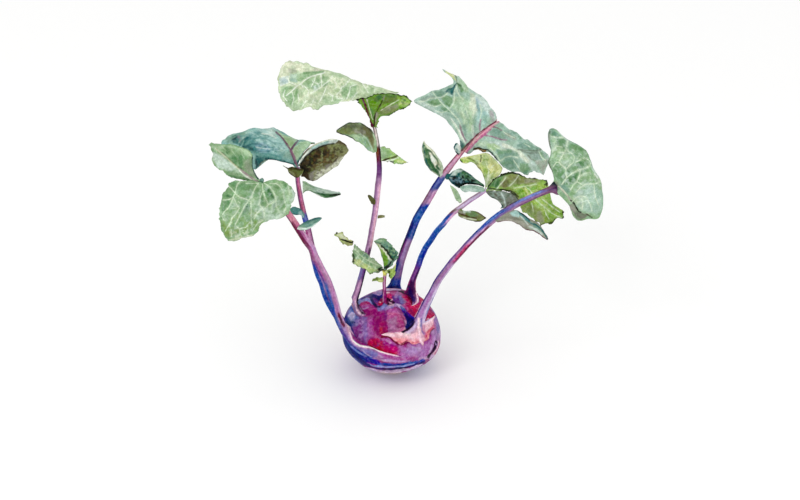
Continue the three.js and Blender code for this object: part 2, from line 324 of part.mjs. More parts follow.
    [[184.2,-67.4,214.6], [186.6,-69,215.4], [189.5,-71,226.4], [190.5,-69,242.2], [180.3,-61,265.3], [145.1,-39,292.5]],
    [[191,-66.4,214], [192,-67,215], [193.3,-68,225.5], [193.2,-67,239.1], [182.5,-60,265.4], [160.8,-45,286]],
    [[194.2,-64.6,218.7], [194.5,-65,220.5], [195,-66,228.8], [194.8,-65,237.1], [188.4,-61,257], [178.3,-53,277.5]]
  ] },
  right_front_leaflet_up: { fold: 0.3, rows: [
    [[102.6,-47.2,212.1], [103.9,-47.2,212.8], [105.5,-47.2,213.4]],
    [[101.9,-44.8,215.8], [106.1,-45.8,217.9], [112.4,-43.8,214.1]],
    [[98.9,-42.9,219.1], [104.9,-46.9,224.5], [119.9,-42.9,216.1]],
    [[93.1,-43,221.9], [102.9,-48,229.3], [118,-45,223.7]],
    [[88.6,-44,228.5], [100.2,-49,232.9], [112.1,-48,232.1]]
  ] },
  right_front_leaflet_low: { fold: 0.4, rows: [
    [[97.5,-54.1,203], [101.5,-54.6,207.2], [110.2,-55.3,214]],
    [[105.1,-60.7,208], [111.1,-60.7,211.9], [118.5,-57.7,216.8]],
    [[114.2,-65.5,209.2], [119.1,-65.5,212.4], [125,-60.5,215.4]],
    [[122.5,-68.9,206.1], [126.5,-68.9,209.4], [131,-63.9,210.7]],
    [[130.5,-71,203.4], [134.6,-71,206.5], [137.9,-67,207.9]],
    [[139.6,-71,197.1], [141.1,-71,200], [142.8,-69,202]],
    [[145.2,-70,192.4], [145.9,-70,192.8], [146.3,-69.5,193.4]]
  ] },
};

// ---------------------------------------------------------------- the bulb
const CENTRE = new THREE.Vector3(0, 0, BULB_CENTRE_Z);
// low swellings of the skin where the stalks grow out: direction, height, width
const SWELLINGS = Object.entries(STALKS).map(([name, s]) => ({
  dir: new THREE.Vector3(...s.line[0].slice(0, 3)).sub(CENTRE).normalize(),
  height: name === 'young_stalk' ? 0.6 : name === 'left_front_stalk' ? 1.2 : 1.5,
  width: name === 'young_stalk' ? 0.14 : 0.3,
}));

function skinRadius(dir) {
  const flat = (dir.x * dir.x + dir.y * dir.y) / (BULB_RADIUS * BULB_RADIUS);
  let r = 1 / Math.sqrt(flat + (dir.z * dir.z) / (BULB_HALF_HEIGHT * BULB_HALF_HEIGHT));
  const fromAxis = Math.acos(THREE.MathUtils.clamp(dir.z, -1, 1));
  r -= CROWN_DIP * Math.exp(-((fromAxis / CROWN_DIP_ANGLE) ** 2));
  for (const s of SWELLINGS) {
    const a = Math.acos(THREE.MathUtils.clamp(dir.dot(s.dir), -1, 1));
    r += s.height * Math.exp(-((a / s.width) ** 2));
  }
  return r;
}
const onSkin = (dir, above = 0) => dir.clone().multiplyScalar(skinRadius(dir) + above).add(CENTRE);
const direction = (p) => p.clone().sub(CENTRE).normalize();

// A closed body of rings: place(i, j) gives the point at step i around and
// ring j along; the first and last rings are single points.
function ringBody(ringCount, sides, place) {
  const profile = [];
  for (let j = 0; j < ringCount; j++) {
    profile.push(new THREE.Vector2(j === 0 || j === ringCount - 1 ? 0 : 1, j));
  }
  const geometry = new THREE.LatheGeometry(profile, sides);
  const pos = geometry.attributes.position;
  for (let i = 0; i <= sides; i++) {
    for (let j = 0; j < ringCount; j++) {
      const p = place(i % sides, j);
      pos.setXYZ(i * ringCount + j, p.x, p.y, p.z);
    }
  }
  geometry.computeVertexNormals();
  return geometry;
}

function bulbGeometry() {
  // rings from the flat cut up to the crown
  const rings = [];
  rings.push(() => new THREE.Vector3(0, 0, 0));
  const cut = [[CUT_RADIUS, 0], [CUT_RADIUS + 0.8, CUT_EDGE * 0.5], [CUT_RADIUS + 1.3, CUT_EDGE * 1.6]];
  for (const [r, z] of cut) {
    rings.push((a) => new THREE.Vector3(r * Math.cos(a), r * Math.sin(a), z));
  }
  const first = Math.PI - 0.42;
  for (let k = 0; k <= BULB_RINGS; k++) {
    const t = k / BULB_RINGS;
    const fromAxis = first * (1 - t) + 0.0 * t;
    if (k === BULB_RINGS) break;
    rings.push((a) => onSkin(new THREE.Vector3(
      Math.sin(fromAxis) * Math.cos(a), Math.sin(fromAxis) * Math.sin(a), Math.cos(fromAxis))));
  }
  rings.push(() => onSkin(new THREE.Vector3(0, 0, 1)));
  return ringBody(rings.length, BULB_SEGMENTS, (i, j) => rings[j]((2 * Math.PI * i) / BULB_SEGMENTS));
}

// ---------------------------------------------------------------- stalks
function stalkGeometry({ line, foot }) {
  const centres = line.map((p) => new THREE.Vector3(p[0], p[1], p[2]));
  const radii = line.map((p) => p[3]);
  const clear = centres.map((c, k) => c.clone().sub(CENTRE).length() - skinRadius(direction(c)) - 0.9 * radii[k]);
  const start = clear.findIndex((v, k) => k > 0 && v > 0);
  const outline = foot.map((p) => new THREE.Vector3(...p));
  const n = outline.length;
  // tangents and frames that don't twist, starting towards the outline's first point
  const tangent = (k) => centres[Math.min(k + 1, centres.length - 1)].clone()
    .sub(centres[Math.max(k - 1, 0)]).normalize();
  const T0 = tangent(start);
  const side = outline[0].clone().sub(centres[start]);
  side.addScaledVector(T0, -side.dot(T0)).normalize();
  // steps around: half even, half following the outline's own bearing
  const up = new THREE.Vector3().crossVectors(T0, side);
  const bearings = outline.map((p) => {
    const v = p.clone().sub(centres[start]);
    return Math.atan2(v.dot(up), v.dot(side));
  });
  const angles = [];
  let last = 0;
  bearings.forEach((b, i) => {
    let a = b;
    while (a < last - 0.6 && i > 0) a += 2 * Math.PI;
    a = Math.max(a, last);
    last = Math.min(a, 2 * Math.PI);
    angles.push(0.35 * last + 0.65 * ((2 * Math.PI * i) / n));
  });
  const frames = [];
  let N = side.clone();
  for (let k = start; k < centres.length; k++) {
    const T = tangent(k);
    N = N.clone().addScaledVector(T, -N.dot(T)).normalize();
    frames.push({ c: centres[k], r: radii[k], N, B: new THREE.Vector3().crossVectors(T, N), T });
  }
  // a ring that dips into the skin is lifted clear of it
  const ringPoint = (f, i) => {
    const p = f.c.clone()
      .addScaledVector(f.N, f.r * Math.cos(angles[i])).addScaledVector(f.B, f.r * Math.sin(angles[i]));
    const d = direction(p);
    const height = p.clone().sub(CENTRE).length() - skinRadius(d);
    return height < FOOT_GAP + FOOT_EDGE ? onSkin(d, FOOT_GAP + FOOT_EDGE) : p;
  };
  const middle = direction(outline.reduce((a, p) => a.add(p), new THREE.Vector3()).multiplyScalar(1 / n));
  const under = (s) => (i) => {
    const d = middle.clone().lerp(direction(outline[i]), s).normalize();
    return onSkin(d, FOOT_GAP);
  };
  const flare = (t) => (i) => {
    const p = ringPoint(frames[0], i);
    const d0 = direction(p);
    const h0 = p.clone().sub(CENTRE).length() - skinRadius(d0);
    const d = d0.clone().lerp(direction(outline[i]), t).normalize();
    const edge = FOOT_GAP + FOOT_EDGE;
    return onSkin(d, edge + (Math.max(h0, edge) - edge) * (1 - t) ** 2.2);
  };
  const rings = [() => onSkin(middle, FOOT_GAP), ...FOOT_UNDER.map(under)];
  for (let k = FOOT_FLARE.length - 1; k >= 0; k--) rings.push(flare(FOOT_FLARE[k]));
  for (const f of frames) rings.push((i) => ringPoint(f, i));
  const tip = frames[frames.length - 1];
  rings.push(() => tip.c.clone().addScaledVector(tip.T, 0.15));
  return ringBody(rings.length, n, (i, j) => rings[j](i));
}

// ---------------------------------------------------------------- blades
const spline = (p0, p1, p2, p3, s) => 0.5 * (2 * p1 + (p2 - p0) * s
  + (2 * p0 - 5 * p1 + 4 * p2 - p3) * s * s + (3 * p1 - p0 - 3 * p2 + p3) * s * s * s);
function along(points, t, fold = 0) {
  const m = points.length;
  const x = THREE.MathUtils.clamp(t, 0, 1) * (m - 1);
  const i = Math.min(Math.floor(x), m - 2);
  const s = x - i;
  const at = (k) => (k < 0 ? points[0].clone().multiplyScalar(2).sub(points[1])
    : k >= m ? points[m - 1].clone().multiplyScalar(2).sub(points[m - 2]) : points[k]);
  const [a, b, c, d] = [at(i - 1), at(i), at(i + 1), at(i + 2)];
  const smooth = new THREE.Vector3(
    spline(a.x, b.x, c.x, d.x, s), spline(a.y, b.y, c.y, d.y, s), spline(a.z, b.z, c.z, d.z, s));
  return smooth.lerp(b.clone().lerp(c, s), fold);
}

function bladeGeometry({ fold, rows }) {
  const grid = rows.map((row) => row.map((p) => new THREE.Vector3(...p)));
  const reach = grid[0][0].distanceTo(grid[grid.length - 1][0]);
  const small = reach < SMALL_LEAFLET;
  const across = grid[0].length > 3 ? 2 * (grid[0].length - 1) : small ? 4 : 6;
  const length = (grid.length - 1) * (grid.length > 6 || small ? 1 : ROWS_PER_STEP);
  // widen rows that are narrower than the smallest width
  for (const row of grid) {
    const a = row[0]; const b = row[row.length - 1];
    const w = a.distanceTo(b) / 2;
    if (w < BLADE_MIN_HALF_WIDTH) {
      const mid = a.clone().add(b).multiplyScalar(0.5);
      for (const p of row) p.sub(mid).multiplyScalar(BLADE_MIN_HALF_WIDTH / Math.max(w, 0.05)).add(mid);
    }
  }
  const surface = (u, v) => along(grid.map((row) => along(row, u, fold)), v);
  const geometry = new THREE.BoxGeometry(1, 1, 1, across, length, 1);
  const pos = geometry.attributes.position;
  const e = 1e-3;
  for (let k = 0; k < pos.count; k++) {
    const u = pos.getX(k) + 0.5; const v = pos.getY(k) + 0.5; const z = pos.getZ(k);
    const p = surface(u, v);
    const du = surface(Math.min(u + e, 1), v).sub(surface(Math.max(u - e, 0), v));
    const dv = surface(u, Math.min(v + e, 1)).sub(surface(u, Math.max(v - e, 0)));
    const normal = du.cross(dv).normalize();
    p.addScaledVector(normal, z * BLADE_THICKNESS);
    pos.setXYZ(k, p.x, p.y, p.z);
  }
  geometry.computeVertexNormals();
  return geometry;
}

// ---------------------------------------------------------------- assembly
const kohlrabi = new THREE.Group();
kohlrabi.name = 'kohlrabi';
function add(name, geometry, look) {
  const mesh = new THREE.Mesh(geometry, new THREE.MeshStandardMaterial(look));
  mesh.name = name;
  kohlrabi.add(mesh);
}
add('bulb', bulbGeometry(), PURPLE_SKIN);
for (const [name, s] of Object.entries(STALKS)) {
  add(name, stalkGeometry(s), { color: STALK_LOOKS[name], roughness: 0.45, metalness: 0 });
}
for (const [name, b] of Object.entries(BLADES)) {
  add(name, bladeGeometry(b), { color: BLADE_LOOKS[name], roughness: 0.6, metalness: 0 });
}

export default kohlrabi;
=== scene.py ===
import json
import math
import bpy
import numpy as np
from mathutils import Vector, Matrix


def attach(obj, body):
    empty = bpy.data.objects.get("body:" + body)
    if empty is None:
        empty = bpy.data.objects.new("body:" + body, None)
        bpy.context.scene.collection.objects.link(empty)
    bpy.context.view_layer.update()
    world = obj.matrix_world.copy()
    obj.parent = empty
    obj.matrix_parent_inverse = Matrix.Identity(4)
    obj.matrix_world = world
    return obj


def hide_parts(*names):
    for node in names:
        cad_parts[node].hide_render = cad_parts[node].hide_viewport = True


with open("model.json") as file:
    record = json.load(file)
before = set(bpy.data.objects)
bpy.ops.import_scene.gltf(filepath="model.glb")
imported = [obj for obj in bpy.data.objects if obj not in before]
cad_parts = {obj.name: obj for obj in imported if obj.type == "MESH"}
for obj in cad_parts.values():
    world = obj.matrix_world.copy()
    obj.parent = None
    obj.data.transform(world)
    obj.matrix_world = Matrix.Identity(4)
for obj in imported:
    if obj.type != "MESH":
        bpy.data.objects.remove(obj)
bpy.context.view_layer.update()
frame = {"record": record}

# ------------------------------------------------------------------ the model
# Kohlrabi: swollen purple stem, seven leaf stalks, lobed blades and leaflets.
# The tables are millimetres in the part's own frame; meshes are made in metres.
BULB_RADIUS, BULB_HALF_HEIGHT, BULB_CENTRE_Z = 48.5, 39.0, 42.0
CROWN_DIP, CROWN_DIP_ANGLE = 4.5, 0.24
CUT_RADIUS = 13.5

STALKS = {
    'left_front_stalk': dict(
        line=[[-38.6,-19,41.8,4.7], [-43.8,-23,54.2,4.5], [-49.4,-27,73.6,4.3], [-53.6,-31,98.5,4.2], [-58.5,-34,116.7,4.1], [-67.3,-38,145.5,3.9], [-78,-40,170.3,3.8], [-87.8,-41,190.8,3.5], [-94.4,-42,203.5,3.2], [-107.2,-44,223.1,2.6], [-115.8,-47,236.6,2.1], [-119.6,-48.4,242.1,1.7]],
        foot=[[-47,-13.1,47.3], [-45.4,-19,46.6], [-42.8,-24.6,45.7], [-39.9,-29,43.8], [-36.3,-32.9,41.9], [-32.5,-36.3,40.9], [-28.4,-39.4,39.9], [-23.6,-42.3,39.9], [-18.5,-44.8,39.9], [-13.1,-46.7,40.5], [-7.6,-47.9,41.2], [-2.8,-48.4,41.8], [2.2,-48.4,42.5], [6.3,-48.1,43.3], [10.5,-47.3,44.1], [3.1,-48,47.2], [-0.8,-47.9,48.2], [-4.7,-47.4,49.2], [-9.1,-46.6,49.9], [-13.5,-45.3,50.6], [-18,-43.6,51.1], [-22.3,-41.4,51.5], [-25.9,-39.2,51.9], [-29.2,-36.6,52.3], [-32.1,-33.7,53.5], [-34.7,-30.4,54.5], [-38.3,-23.8,57.1], [-39.9,-18.1,59.2], [-42.6,-12.8,58.1], [-44.6,-7.3,56.6], [-47.1,-2.9,52], [-48.4,1.5,47], [-48.1,-5.8,47.2]]),
    'left_back_stalk': dict(
        line=[[-40.5,17,30.3,4.5], [-46.9,16,40.2,4.4], [-55.7,15,56,4.2], [-63.7,13,77.7,4], [-70,10,102.1,3.8], [-75.2,7,129.7,3.5], [-79.3,5,155,3.2], [-82.7,4,172.6,2.9], [-85.2,3,192.2,2.6], [-86.9,2,206.1,2.4], [-88.1,2,218.2,2.2], [-88.2,2,228,1.9]],
        foot=[[-39.6,25.6,29.7], [-38.9,24.3,26.8], [-38.8,22.2,24.6], [-39.3,19.6,23.3], [-40.3,16.9,23], [-41.6,14.5,23.4], [-43.1,12.5,24.9], [-44.6,11.2,26.9], [-46,10.8,29.6], [-46.9,11.3,32.7], [-47.2,13,35.6], [-46.6,16,37.2], [-45.5,19.1,37.6], [-44.1,21.9,36.8], [-42.6,23.9,34.9], [-41,25.4,32.6]]),
    'centre_left_stalk': dict(
        line=[[-34.6,14,59.1,4.5], [-35.5,15,69.2,3.7], [-32.9,16,80.5,3.3], [-30.2,17,91.7,3.1], [-27.5,18,102.9,3], [-22.5,20,125,3], [-18.1,23,144,2.9], [-14.7,27,162.2,2.9], [-12.9,31,176.8,2.9], [-11.6,35,191.4,2.9], [-11.1,39,207.1,2.5], [-12,43,221.5,2.4], [-13.4,45,233.6,2.1], [-15.3,45,246.8,1.8], [-18.9,41.6,261.1,1.5], [-22.2,37.6,274,1.2], [-24.4,34.8,282.4,0.9]],
        foot=[[-37.8,5.7,67], [-36.7,-0.4,67.9], [-35.1,-6.4,68.5], [-32.7,-10.8,69.5], [-30,-15,70.2], [-23.4,-19.1,72.5], [-17.7,-19.4,74.8], [-19.9,-16.3,75.1], [-24.9,-12.2,74], [-29,-5.7,73], [-30.1,2.6,72.7], [-31.1,9.5,71.5], [-31.5,16.2,69.6], [-33.7,21.3,65.7], [-37.1,19.5,63.7], [-38.1,12.9,65.7]]),
    'back_stalk': dict(
        line=[[1.9,34,61.5,7.1], [3.6,36,69.8,5.8], [6.6,38,81.7,4.8], [10.6,41,96.5,4.2], [15.6,44,111.2,4], [21.1,48,125.2,3.9], [27.3,52,141.4,3.8], [36.2,58,158.7,3.7], [48.1,64,177.4,3.5], [58.4,69,191.2,3.1], [67.2,72,202.4,2.5], [72.1,73.2,207.9,2.1], [79,75.6,214,1.7], [87.4,78.4,221.2,1.4], [96.2,81.4,228.5,1.1], [103.8,84,234.7,0.9]],
        foot=[[11.5,39.1,64.7], [10.8,41.5,62], [8.8,43.4,59.8], [5.9,44.8,58.4], [2.6,45.3,58.1], [-0.8,45.2,58.4], [-3.9,44.2,59.8], [-6.3,42.4,61.9], [-7.4,40,64.6], [-6.5,37.6,67.4], [-4.3,35.6,69.5], [-1.4,34.3,70.8], [1.9,33.9,71.1], [5.2,34.2,70.7], [8,35.3,69.4], [10.3,36.9,67.3]]),
    'right_mid_stalk': dict(
        line=[[20.5,14,69.9,6], [20.4,14,80.6,5], [22.3,15,93,3.3], [26.4,17,103.5,2.9], [30.5,19,114,2.9], [35.2,21,124.4,2.9], [39.5,23,134.7,2.9], [47.9,26,149,2.8], [58.5,29,161,2.6], [71.6,31,170.6,2.4], [85.7,32,180.8,2.2], [92.9,31.6,187.1,1.8]],
        foot=[[17.3,1.3,78.5], [20.7,-0,77.5], [20.5,-6.7,77], [22.2,-10.2,75.7], [24.4,-3.1,75.8], [25.3,2.7,75.7], [27.3,5.6,74.7], [28.9,11.5,73.2], [29.8,17,71], [26.5,22.6,70.5], [22.4,24.1,71.9], [19,18.4,76.1], [17.4,12.2,78.1], [15.4,5.7,78.9], [12.4,-1.6,79]]),
    'right_front_stalk': dict(
        line=[[23.7,-30,62.6,6.9], [27.5,-33,76.5,5.4], [31.3,-35,89.5,4.7], [35.3,-37,102.5,4.3], [39.6,-39,114.2,3.8], [44.4,-41,127,3.6], [50.4,-43,138.5,3.4], [56.9,-45,149.3,3.3], [63.4,-46,159,3.2], [70.1,-47,169.1,3.1], [81.2,-49,187.5,3.1], [92,-50,200.7,3.2], [104.7,-51,211.6,3.2], [113.8,-52,218.5,3.1], [125.4,-54,226.2,3], [136.2,-55,232.4,2.9], [146.9,-57,238.7,3], [152.8,-58.2,241.5,2.8]],
        foot=[[-1.1,-40.8,63.1], [3.1,-42.9,60.1], [7,-42.4,60.2], [10.6,-44,56.5], [13.5,-42.3,58.5], [19.8,-41.2,56.5], [25.6,-38.8,55.3], [30.6,-36.9,50.2], [33.2,-32.4,55.4], [36.5,-28.4,55], [39.2,-22.4,56.9], [43.2,-14.4,55.4], [43.5,-8.2,57.9], [43.2,-3.5,59.6], [41.5,-8.5,61.1], [39.2,-13.3,62.4], [35.2,-18,65.1], [34.3,-13.1,67.7], [30.3,-13.3,70.7], [26.3,-22.3,70.4], [22.3,-30,68.5], [16.8,-34.7,67], [11.4,-37.4,65.7], [5.6,-38.5,65.5], [-2.2,-39.1,65], [-9,-38.6,64.5]]),
    'young_stalk': dict(
        line=[[-6.4,-1,75.1,3], [-6.2,-1,83.4,2.2], [-6.2,-1,91.6,1.8], [-6.5,-1,99.9,1.7], [-6.1,-1.4,106.6,1.7], [-5.7,-2,112.9,1.8], [-6.1,-2,116.2,1.3]],
        foot=[[-10.9,-1.1,79.3], [-10.5,-2.5,79.3], [-9.5,-3.5,79.2], [-8.4,-4.2,79.1], [-7.1,-4.5,78.9], [-5.6,-4.4,78.6], [-4.3,-3.7,78.1], [-3.5,-2.4,77.7], [-3.3,-1.1,77.5], [-3.8,0.2,77.6], [-4.7,1.1,77.9], [-5.7,1.9,78.3], [-7,2.3,78.7], [-8.5,2.1,79], [-9.8,1.5,79.2], [-10.6,0.3,79.2]]),
}

BLADES = {
    'left_front_blade_tip': dict(vis='top', fold=0.55, rows=[
        [[-121.8,-48.7,241.8], [-120.1,-48.7,242.8], [-120.5,-47.7,244.2]],
        [[-134.1,-50.8,245.6], [-127.7,-48.8,248.3], [-125,-41.8,251.8]],
        [[-145.1,-52.9,248.2], [-134.6,-48.9,254], [-126.8,-36.9,259.9]],
        [[-151.3,-57,258.2], [-141.7,-50,261.1], [-133,-33,267.3]],
        [[-159.5,-59,266.2], [-148.7,-50,267.9], [-144.9,-32,271.4]],
        [[-162,-57,273.9], [-155.7,-50,275], [-154.9,-36,275.2]],
        [[-163.7,-54,280.6], [-162,-48,279.1], [-162.5,-42,278.7]],
        [[-165.2,-49,280.7], [-164.8,-48,281], [-164.6,-47,281.3]]]),
    'left_front_blade_lobe': dict(vis='top', fold=0.25, rows=[
        [[-121.4,-49.8,242.6], [-119,-50.8,242.5], [-116.5,-49.8,242.1]],
        [[-133.2,-55.9,247.7], [-121.4,-58.4,240.6], [-105.2,-49.9,244.9]],
        [[-146.1,-60,248.4], [-124.8,-64.5,236.7], [-93.4,-50,239.9]],
        [[-152.5,-62,237.4], [-129,-67,230.7], [-88.6,-51,228.3]],
        [[-156.8,-64,224.2], [-133.7,-70,223.7], [-94.4,-56,212.9]],
        [[-158.1,-66,212.5], [-138.4,-72,215.7], [-111.2,-63,209.8]],
        [[-156.3,-68,200.7], [-143.5,-72,204.8], [-128.1,-68,196.4]],
        [[-151,-69,190.9], [-148.1,-70,191.3], [-144.9,-69,190.7]]]),
    'left_back_blade': dict(vis='top', fold=0.15, rows=[
        [[-89.4,1,229], [-88.5,2,228.9], [-87.6,3,229], [-87,3,229.4], [-86.4,3,229.8]],
        [[-103.2,-6,236.5], [-96,0,234.2], [-90.3,4,234.9], [-87.1,4,235.7], [-84.5,2,238.1]],
        [[-116.1,-13,244.8], [-105,-3,242.3], [-93.3,7,240.6], [-87.7,8,240.7], [-82.1,4,244]],
        [[-125.2,-22,239.6], [-112.2,-6,247.6], [-95.8,10,244.8], [-87.2,12,244.1], [-78,8,247.2]],
        [[-140.2,-22,246.9], [-120.6,-4,252.4], [-99.1,14,247.6], [-87.1,18,245.2], [-71.6,14,248.4]],
        [[-157.2,-12,259.5], [-130.2,2,256.6], [-102.9,19,249.8], [-92.1,25,245.3], [-80.7,24,245.3]],
        [[-154.7,4,259.7], [-131,14,256.8], [-106.5,26,250.3], [-99.2,32,245.1], [-91.6,32,243.1]],
        [[-139,20,258.1], [-124.3,26,255.3], [-110,34,250.3], [-105.7,38,246.8], [-100.5,39,245.2]],
        [[-123.1,36,252.1], [-118.1,39,250.9], [-113.3,41,250], [-111.1,42,249], [-108.8,43,247.8]]]),
    'left_back_side_lobe': dict(vis='under', fold=0.0, rows=[
        [[-84.9,1.9,218.5], [-85.2,1.3,222.6], [-85.7,0.4,227.5], [-86.1,-0.6,232.7], [-85.5,-2.1,232.3]],
        [[-80.5,3.2,214.1], [-79,-0.8,223.4], [-79,-6.8,236.9], [-81,-12.8,251.3], [-80.8,-15.3,248.6]],
        [[-71.9,6.1,211.5], [-70.5,1.1,223.7], [-70.7,-7.9,241.8], [-72.7,-16.9,261.4], [-73,-19.9,258.2]],
        [[-61.7,8,217.6], [-61,2,230.2], [-61.8,-9,248.8], [-63.6,-19,267.2], [-64,-22,264.4]],
        [[-51.6,8,225.3], [-51.9,2,237.8], [-53,-9,254], [-54.4,-19,269.9], [-54.6,-22,268]],
        [[-45.4,4,237.5], [-46.1,0,245.6], [-46.6,-8,256.2], [-46.8,-16,266.4], [-46.9,-18,266]],
        [[-39.4,-1,248.1], [-39.5,-3,250.5], [-40.1,-6,254.1], [-41.1,-10,258.8], [-41.6,-11,259]]]),
    'left_back_base_lobe': dict(vis='under', fold=0.2, rows=[
        [[-83.7,-5,225.4], [-82.5,-5,228.3], [-81.9,-5.6,230.6]],
        [[-88.3,-2.6,220.4], [-88.4,-1.6,225.7], [-87.5,-3,230.4]],
        [[-93.8,-3.4,223.9], [-93.6,-4.4,229], [-93,-5.2,232.5]],
        [[-97.8,-5,230.2], [-97.7,-6,232.5], [-97.6,-6.4,234.5]],
        [[-101.3,-7,235.4], [-101.3,-7,235.8], [-101.3,-7,236.2]]]),
    'left_back_leaflet': dict(vis='top', fold=0.3, rows=[
        [[-83.7,-0.9,201.6], [-83.8,1.1,207.7], [-84,3.1,213.2]],
        [[-78.3,-3,206.3], [-78,2,207.2], [-77.7,7,207.8]],
        [[-70,-8,203.5], [-69.3,-1,204.7], [-68.7,8,203.3]],
        [[-60.4,-11,202.6], [-59.7,-3,203.2], [-59.5,6,201.5]],
        [[-52.8,-8,202.9], [-52,-3,202.6], [-51.7,3,201.5]],
        [[-48,-3,201.5], [-47.7,-2,201.6], [-47.9,-1,201.6]]]),
    'left_back_bud_leaflet': dict(vis='top', fold=0.2, rows=[
        [[-84.4,0.1,173.4], [-83.3,0.1,175.6], [-82.7,0,177.9]],
        [[-86.2,-3.5,179.1], [-85.3,-4.5,182], [-84.6,-2.5,183]],
        [[-90.3,-7.1,181.8], [-89.2,-8.1,186], [-88.3,-5.1,187.8]],
        [[-94.5,-7.8,183.8], [-93.4,-8.8,187.7], [-92.6,-6.8,190.1]],
        [[-96.1,-8,186.9], [-95.8,-8,187.8], [-95.4,-7,188.3]]]),
    'left_front_leaflet': dict(vis='top', fold=0.2, rows=[
        [[-87.5,-45.4,189], [-87.3,-45.4,190.4], [-86.3,-45.4,191.9]],
        [[-83.2,-49.7,190.2], [-83.7,-47.7,192.7], [-82.3,-43.7,194.4]],
        [[-77.5,-50.9,191.9], [-77.8,-47.9,194.9], [-77.6,-42.9,196.9]],
        [[-71.4,-50,195.4], [-71.8,-47,198], [-72,-42,199.1]],
        [[-66.7,-47,198.2], [-67,-45,199.2], [-67.3,-42,200]],
        [[-64.4,-45,199.6], [-64.4,-44,199.7], [-64.6,-43,199.7]]]),
    'centre_left_blade': dict(vis='top', fold=0.25, rows=[
        [[1.4,42,284.4], [6.1,45,285], [8,50,283.9]],
        [[-14.7,37,285.5], [-9.1,45,288.6], [-6.3,55,285.2]],
        [[-31.2,32,285.5], [-24.2,44,293.4], [-21.7,60,287.3]],
        [[-46.2,26,285.7], [-39.4,46,297.2], [-37,64,290.2]],
        [[-60.4,25,283.2], [-52.7,48,301.9], [-50.5,67,295.2]],
        [[-72.7,24,279.3], [-65,50,303.5], [-62.9,68,298.9]],
        [[-84.1,25,279], [-76.9,47,299.5], [-76.2,68,303.6]],
        [[-93.7,28,277], [-87.3,44,294.1], [-89.5,68,307.6]],
        [[-100.4,32,280.6], [-96,43,289.8], [-102.2,64,307.3]],
        [[-104.3,38,283.9], [-104.5,42,287.7], [-107.7,54,295.9]]]),
    'centre_left_side_lobe': dict(vis='under', fold=0.0, rows=[
        [[-18.2,42.4,249.9], [-16.6,41.3,250.7], [-15,41.7,250.8], [-13.5,42.7,249.8], [-12.4,43.7,248.6]],
        [[-23.7,37.8,264], [-19.5,35.8,265.7], [-15.1,33.8,266.7], [-11.5,34.8,264.5], [-8.7,36.8,261.7]],
        [[-27.8,31.9,277.2], [-20.9,30.9,278.8], [-12.2,28.9,280.7], [-3.3,29.9,277], [2.9,33.9,268.7]],
        [[-31.5,25,289.2], [-21.1,25.5,290.8], [-7,24,296], [9,24,294.5], [21.5,28,285.3]]]),
    'centre_left_lobe_a': dict(vis='top', fold=0.5, rows=[
        [[-13.6,40.4,224.2], [-13.7,40.9,227.8], [-13.7,42,235.5]],
        [[-20.5,36.1,228.4], [-19.9,37.1,235.5], [-18.5,45.1,247.1]],
        [[-27.7,31.4,237.5], [-26.9,33.4,244.9], [-26.4,44.4,252.9]],
        [[-34.6,29.1,244.1], [-34,32.1,250.1], [-34.5,43.1,255.1]],
        [[-42.4,29,248.5], [-42,32,251.6], [-42.6,40,254.9]],
        [[-48.7,31,249.6], [-48.5,32,250.7], [-48.2,36,252.1]],
        [[-51.6,33,249.8], [-51.6,33,250.2], [-51.5,34,250.2]]]),
    'centre_left_lobe_b': dict(vis='top', fold=0.45, rows=[
        [[-9,38.5,215.2], [-9.2,39.5,217.5], [-10,42.5,228.5]],
        [[-3.7,35.3,216.5], [-3.7,38.3,219.7], [-3.9,45.3,227.1]],
        [[2.7,33.1,215.3], [2.7,38.1,220.7], [2.3,44.1,223.8]],
        [[9,33,215.3], [9,37,218.2], [8,41,220.4]],
        [[16,36,215], [16.2,36,215.4], [16,37,215.3]]]),
    'centre_left_bract_a': dict(vis='top', fold=0.2, rows=[
        [[-15.4,26.5,173.1], [-14.9,27.1,175.6], [-15,27.8,177.6]],
        [[-18.4,24.1,175.3], [-18.2,25.1,178.6], [-17.4,26.1,181.6]],
        [[-20.9,22.4,180.6], [-20.9,23.4,182.8], [-20.1,24.4,185.3]],
        [[-22.2,23,184.7], [-22.2,23,185.4], [-21.8,23,186.3]]]),
    'centre_left_bract_b': dict(vis='top', fold=0.2, rows=[
        [[-12.8,23.3,159.3], [-12.8,23.5,161.3], [-12.2,24,162.6]],
        [[-9.7,21.3,161], [-9.5,22.3,162.2], [-9.3,24.3,162.6]],
        [[-6.2,22,161.5], [-6,22,162.2], [-6,23,162.3]]]),
    'young_leaf_left': dict(vis='top', fold=0.25, rows=[
        [[-8.3,-2,114.9], [-7.9,-2,116.7], [-7.7,-1,118.4]],
        [[-13.8,-9,117.6], [-13.6,-5,120.8], [-15.2,4,122.7]],
        [[-19.8,-13,119.7], [-20.8,-6,124.5], [-21.1,6,127]],
        [[-27.5,-14,125.4], [-27.6,-6,129.1], [-28,7,132.7]],
        [[-35.2,-14,128.7], [-33.4,-6,133.7], [-33,7,137.5]],
        [[-38.3,-10,135.3], [-37.2,-5,137.7], [-35.6,4,140.5]]]),
    'young_leaf_tip': dict(vis='top', fold=0.3, rows=[
        [[-37,4.5,140.4], [-36.8,5.5,141.4], [-36.2,7,143.7]],
        [[-42.3,0,140.7], [-42,3,143.7], [-41.3,7,143.9]],
        [[-47.5,-1,145.7], [-46.7,2,148.4], [-44.8,8,148.6]],
        [[-50.7,0,151], [-50.4,3,152.1], [-48.5,7,154]],
        [[-54,2,153.6], [-53.9,3,154.2], [-53.1,4,154.9]]]),
    'young_leaf_right': dict(vis='top', fold=0.75, rows=[
        [[-6.9,-2.3,117], [-5.5,-3.9,116.8], [-3.6,0.1,116.1]],
        [[-7.7,2.3,124.3], [-3.2,-5.7,126.2], [3.8,1.3,120.6]],
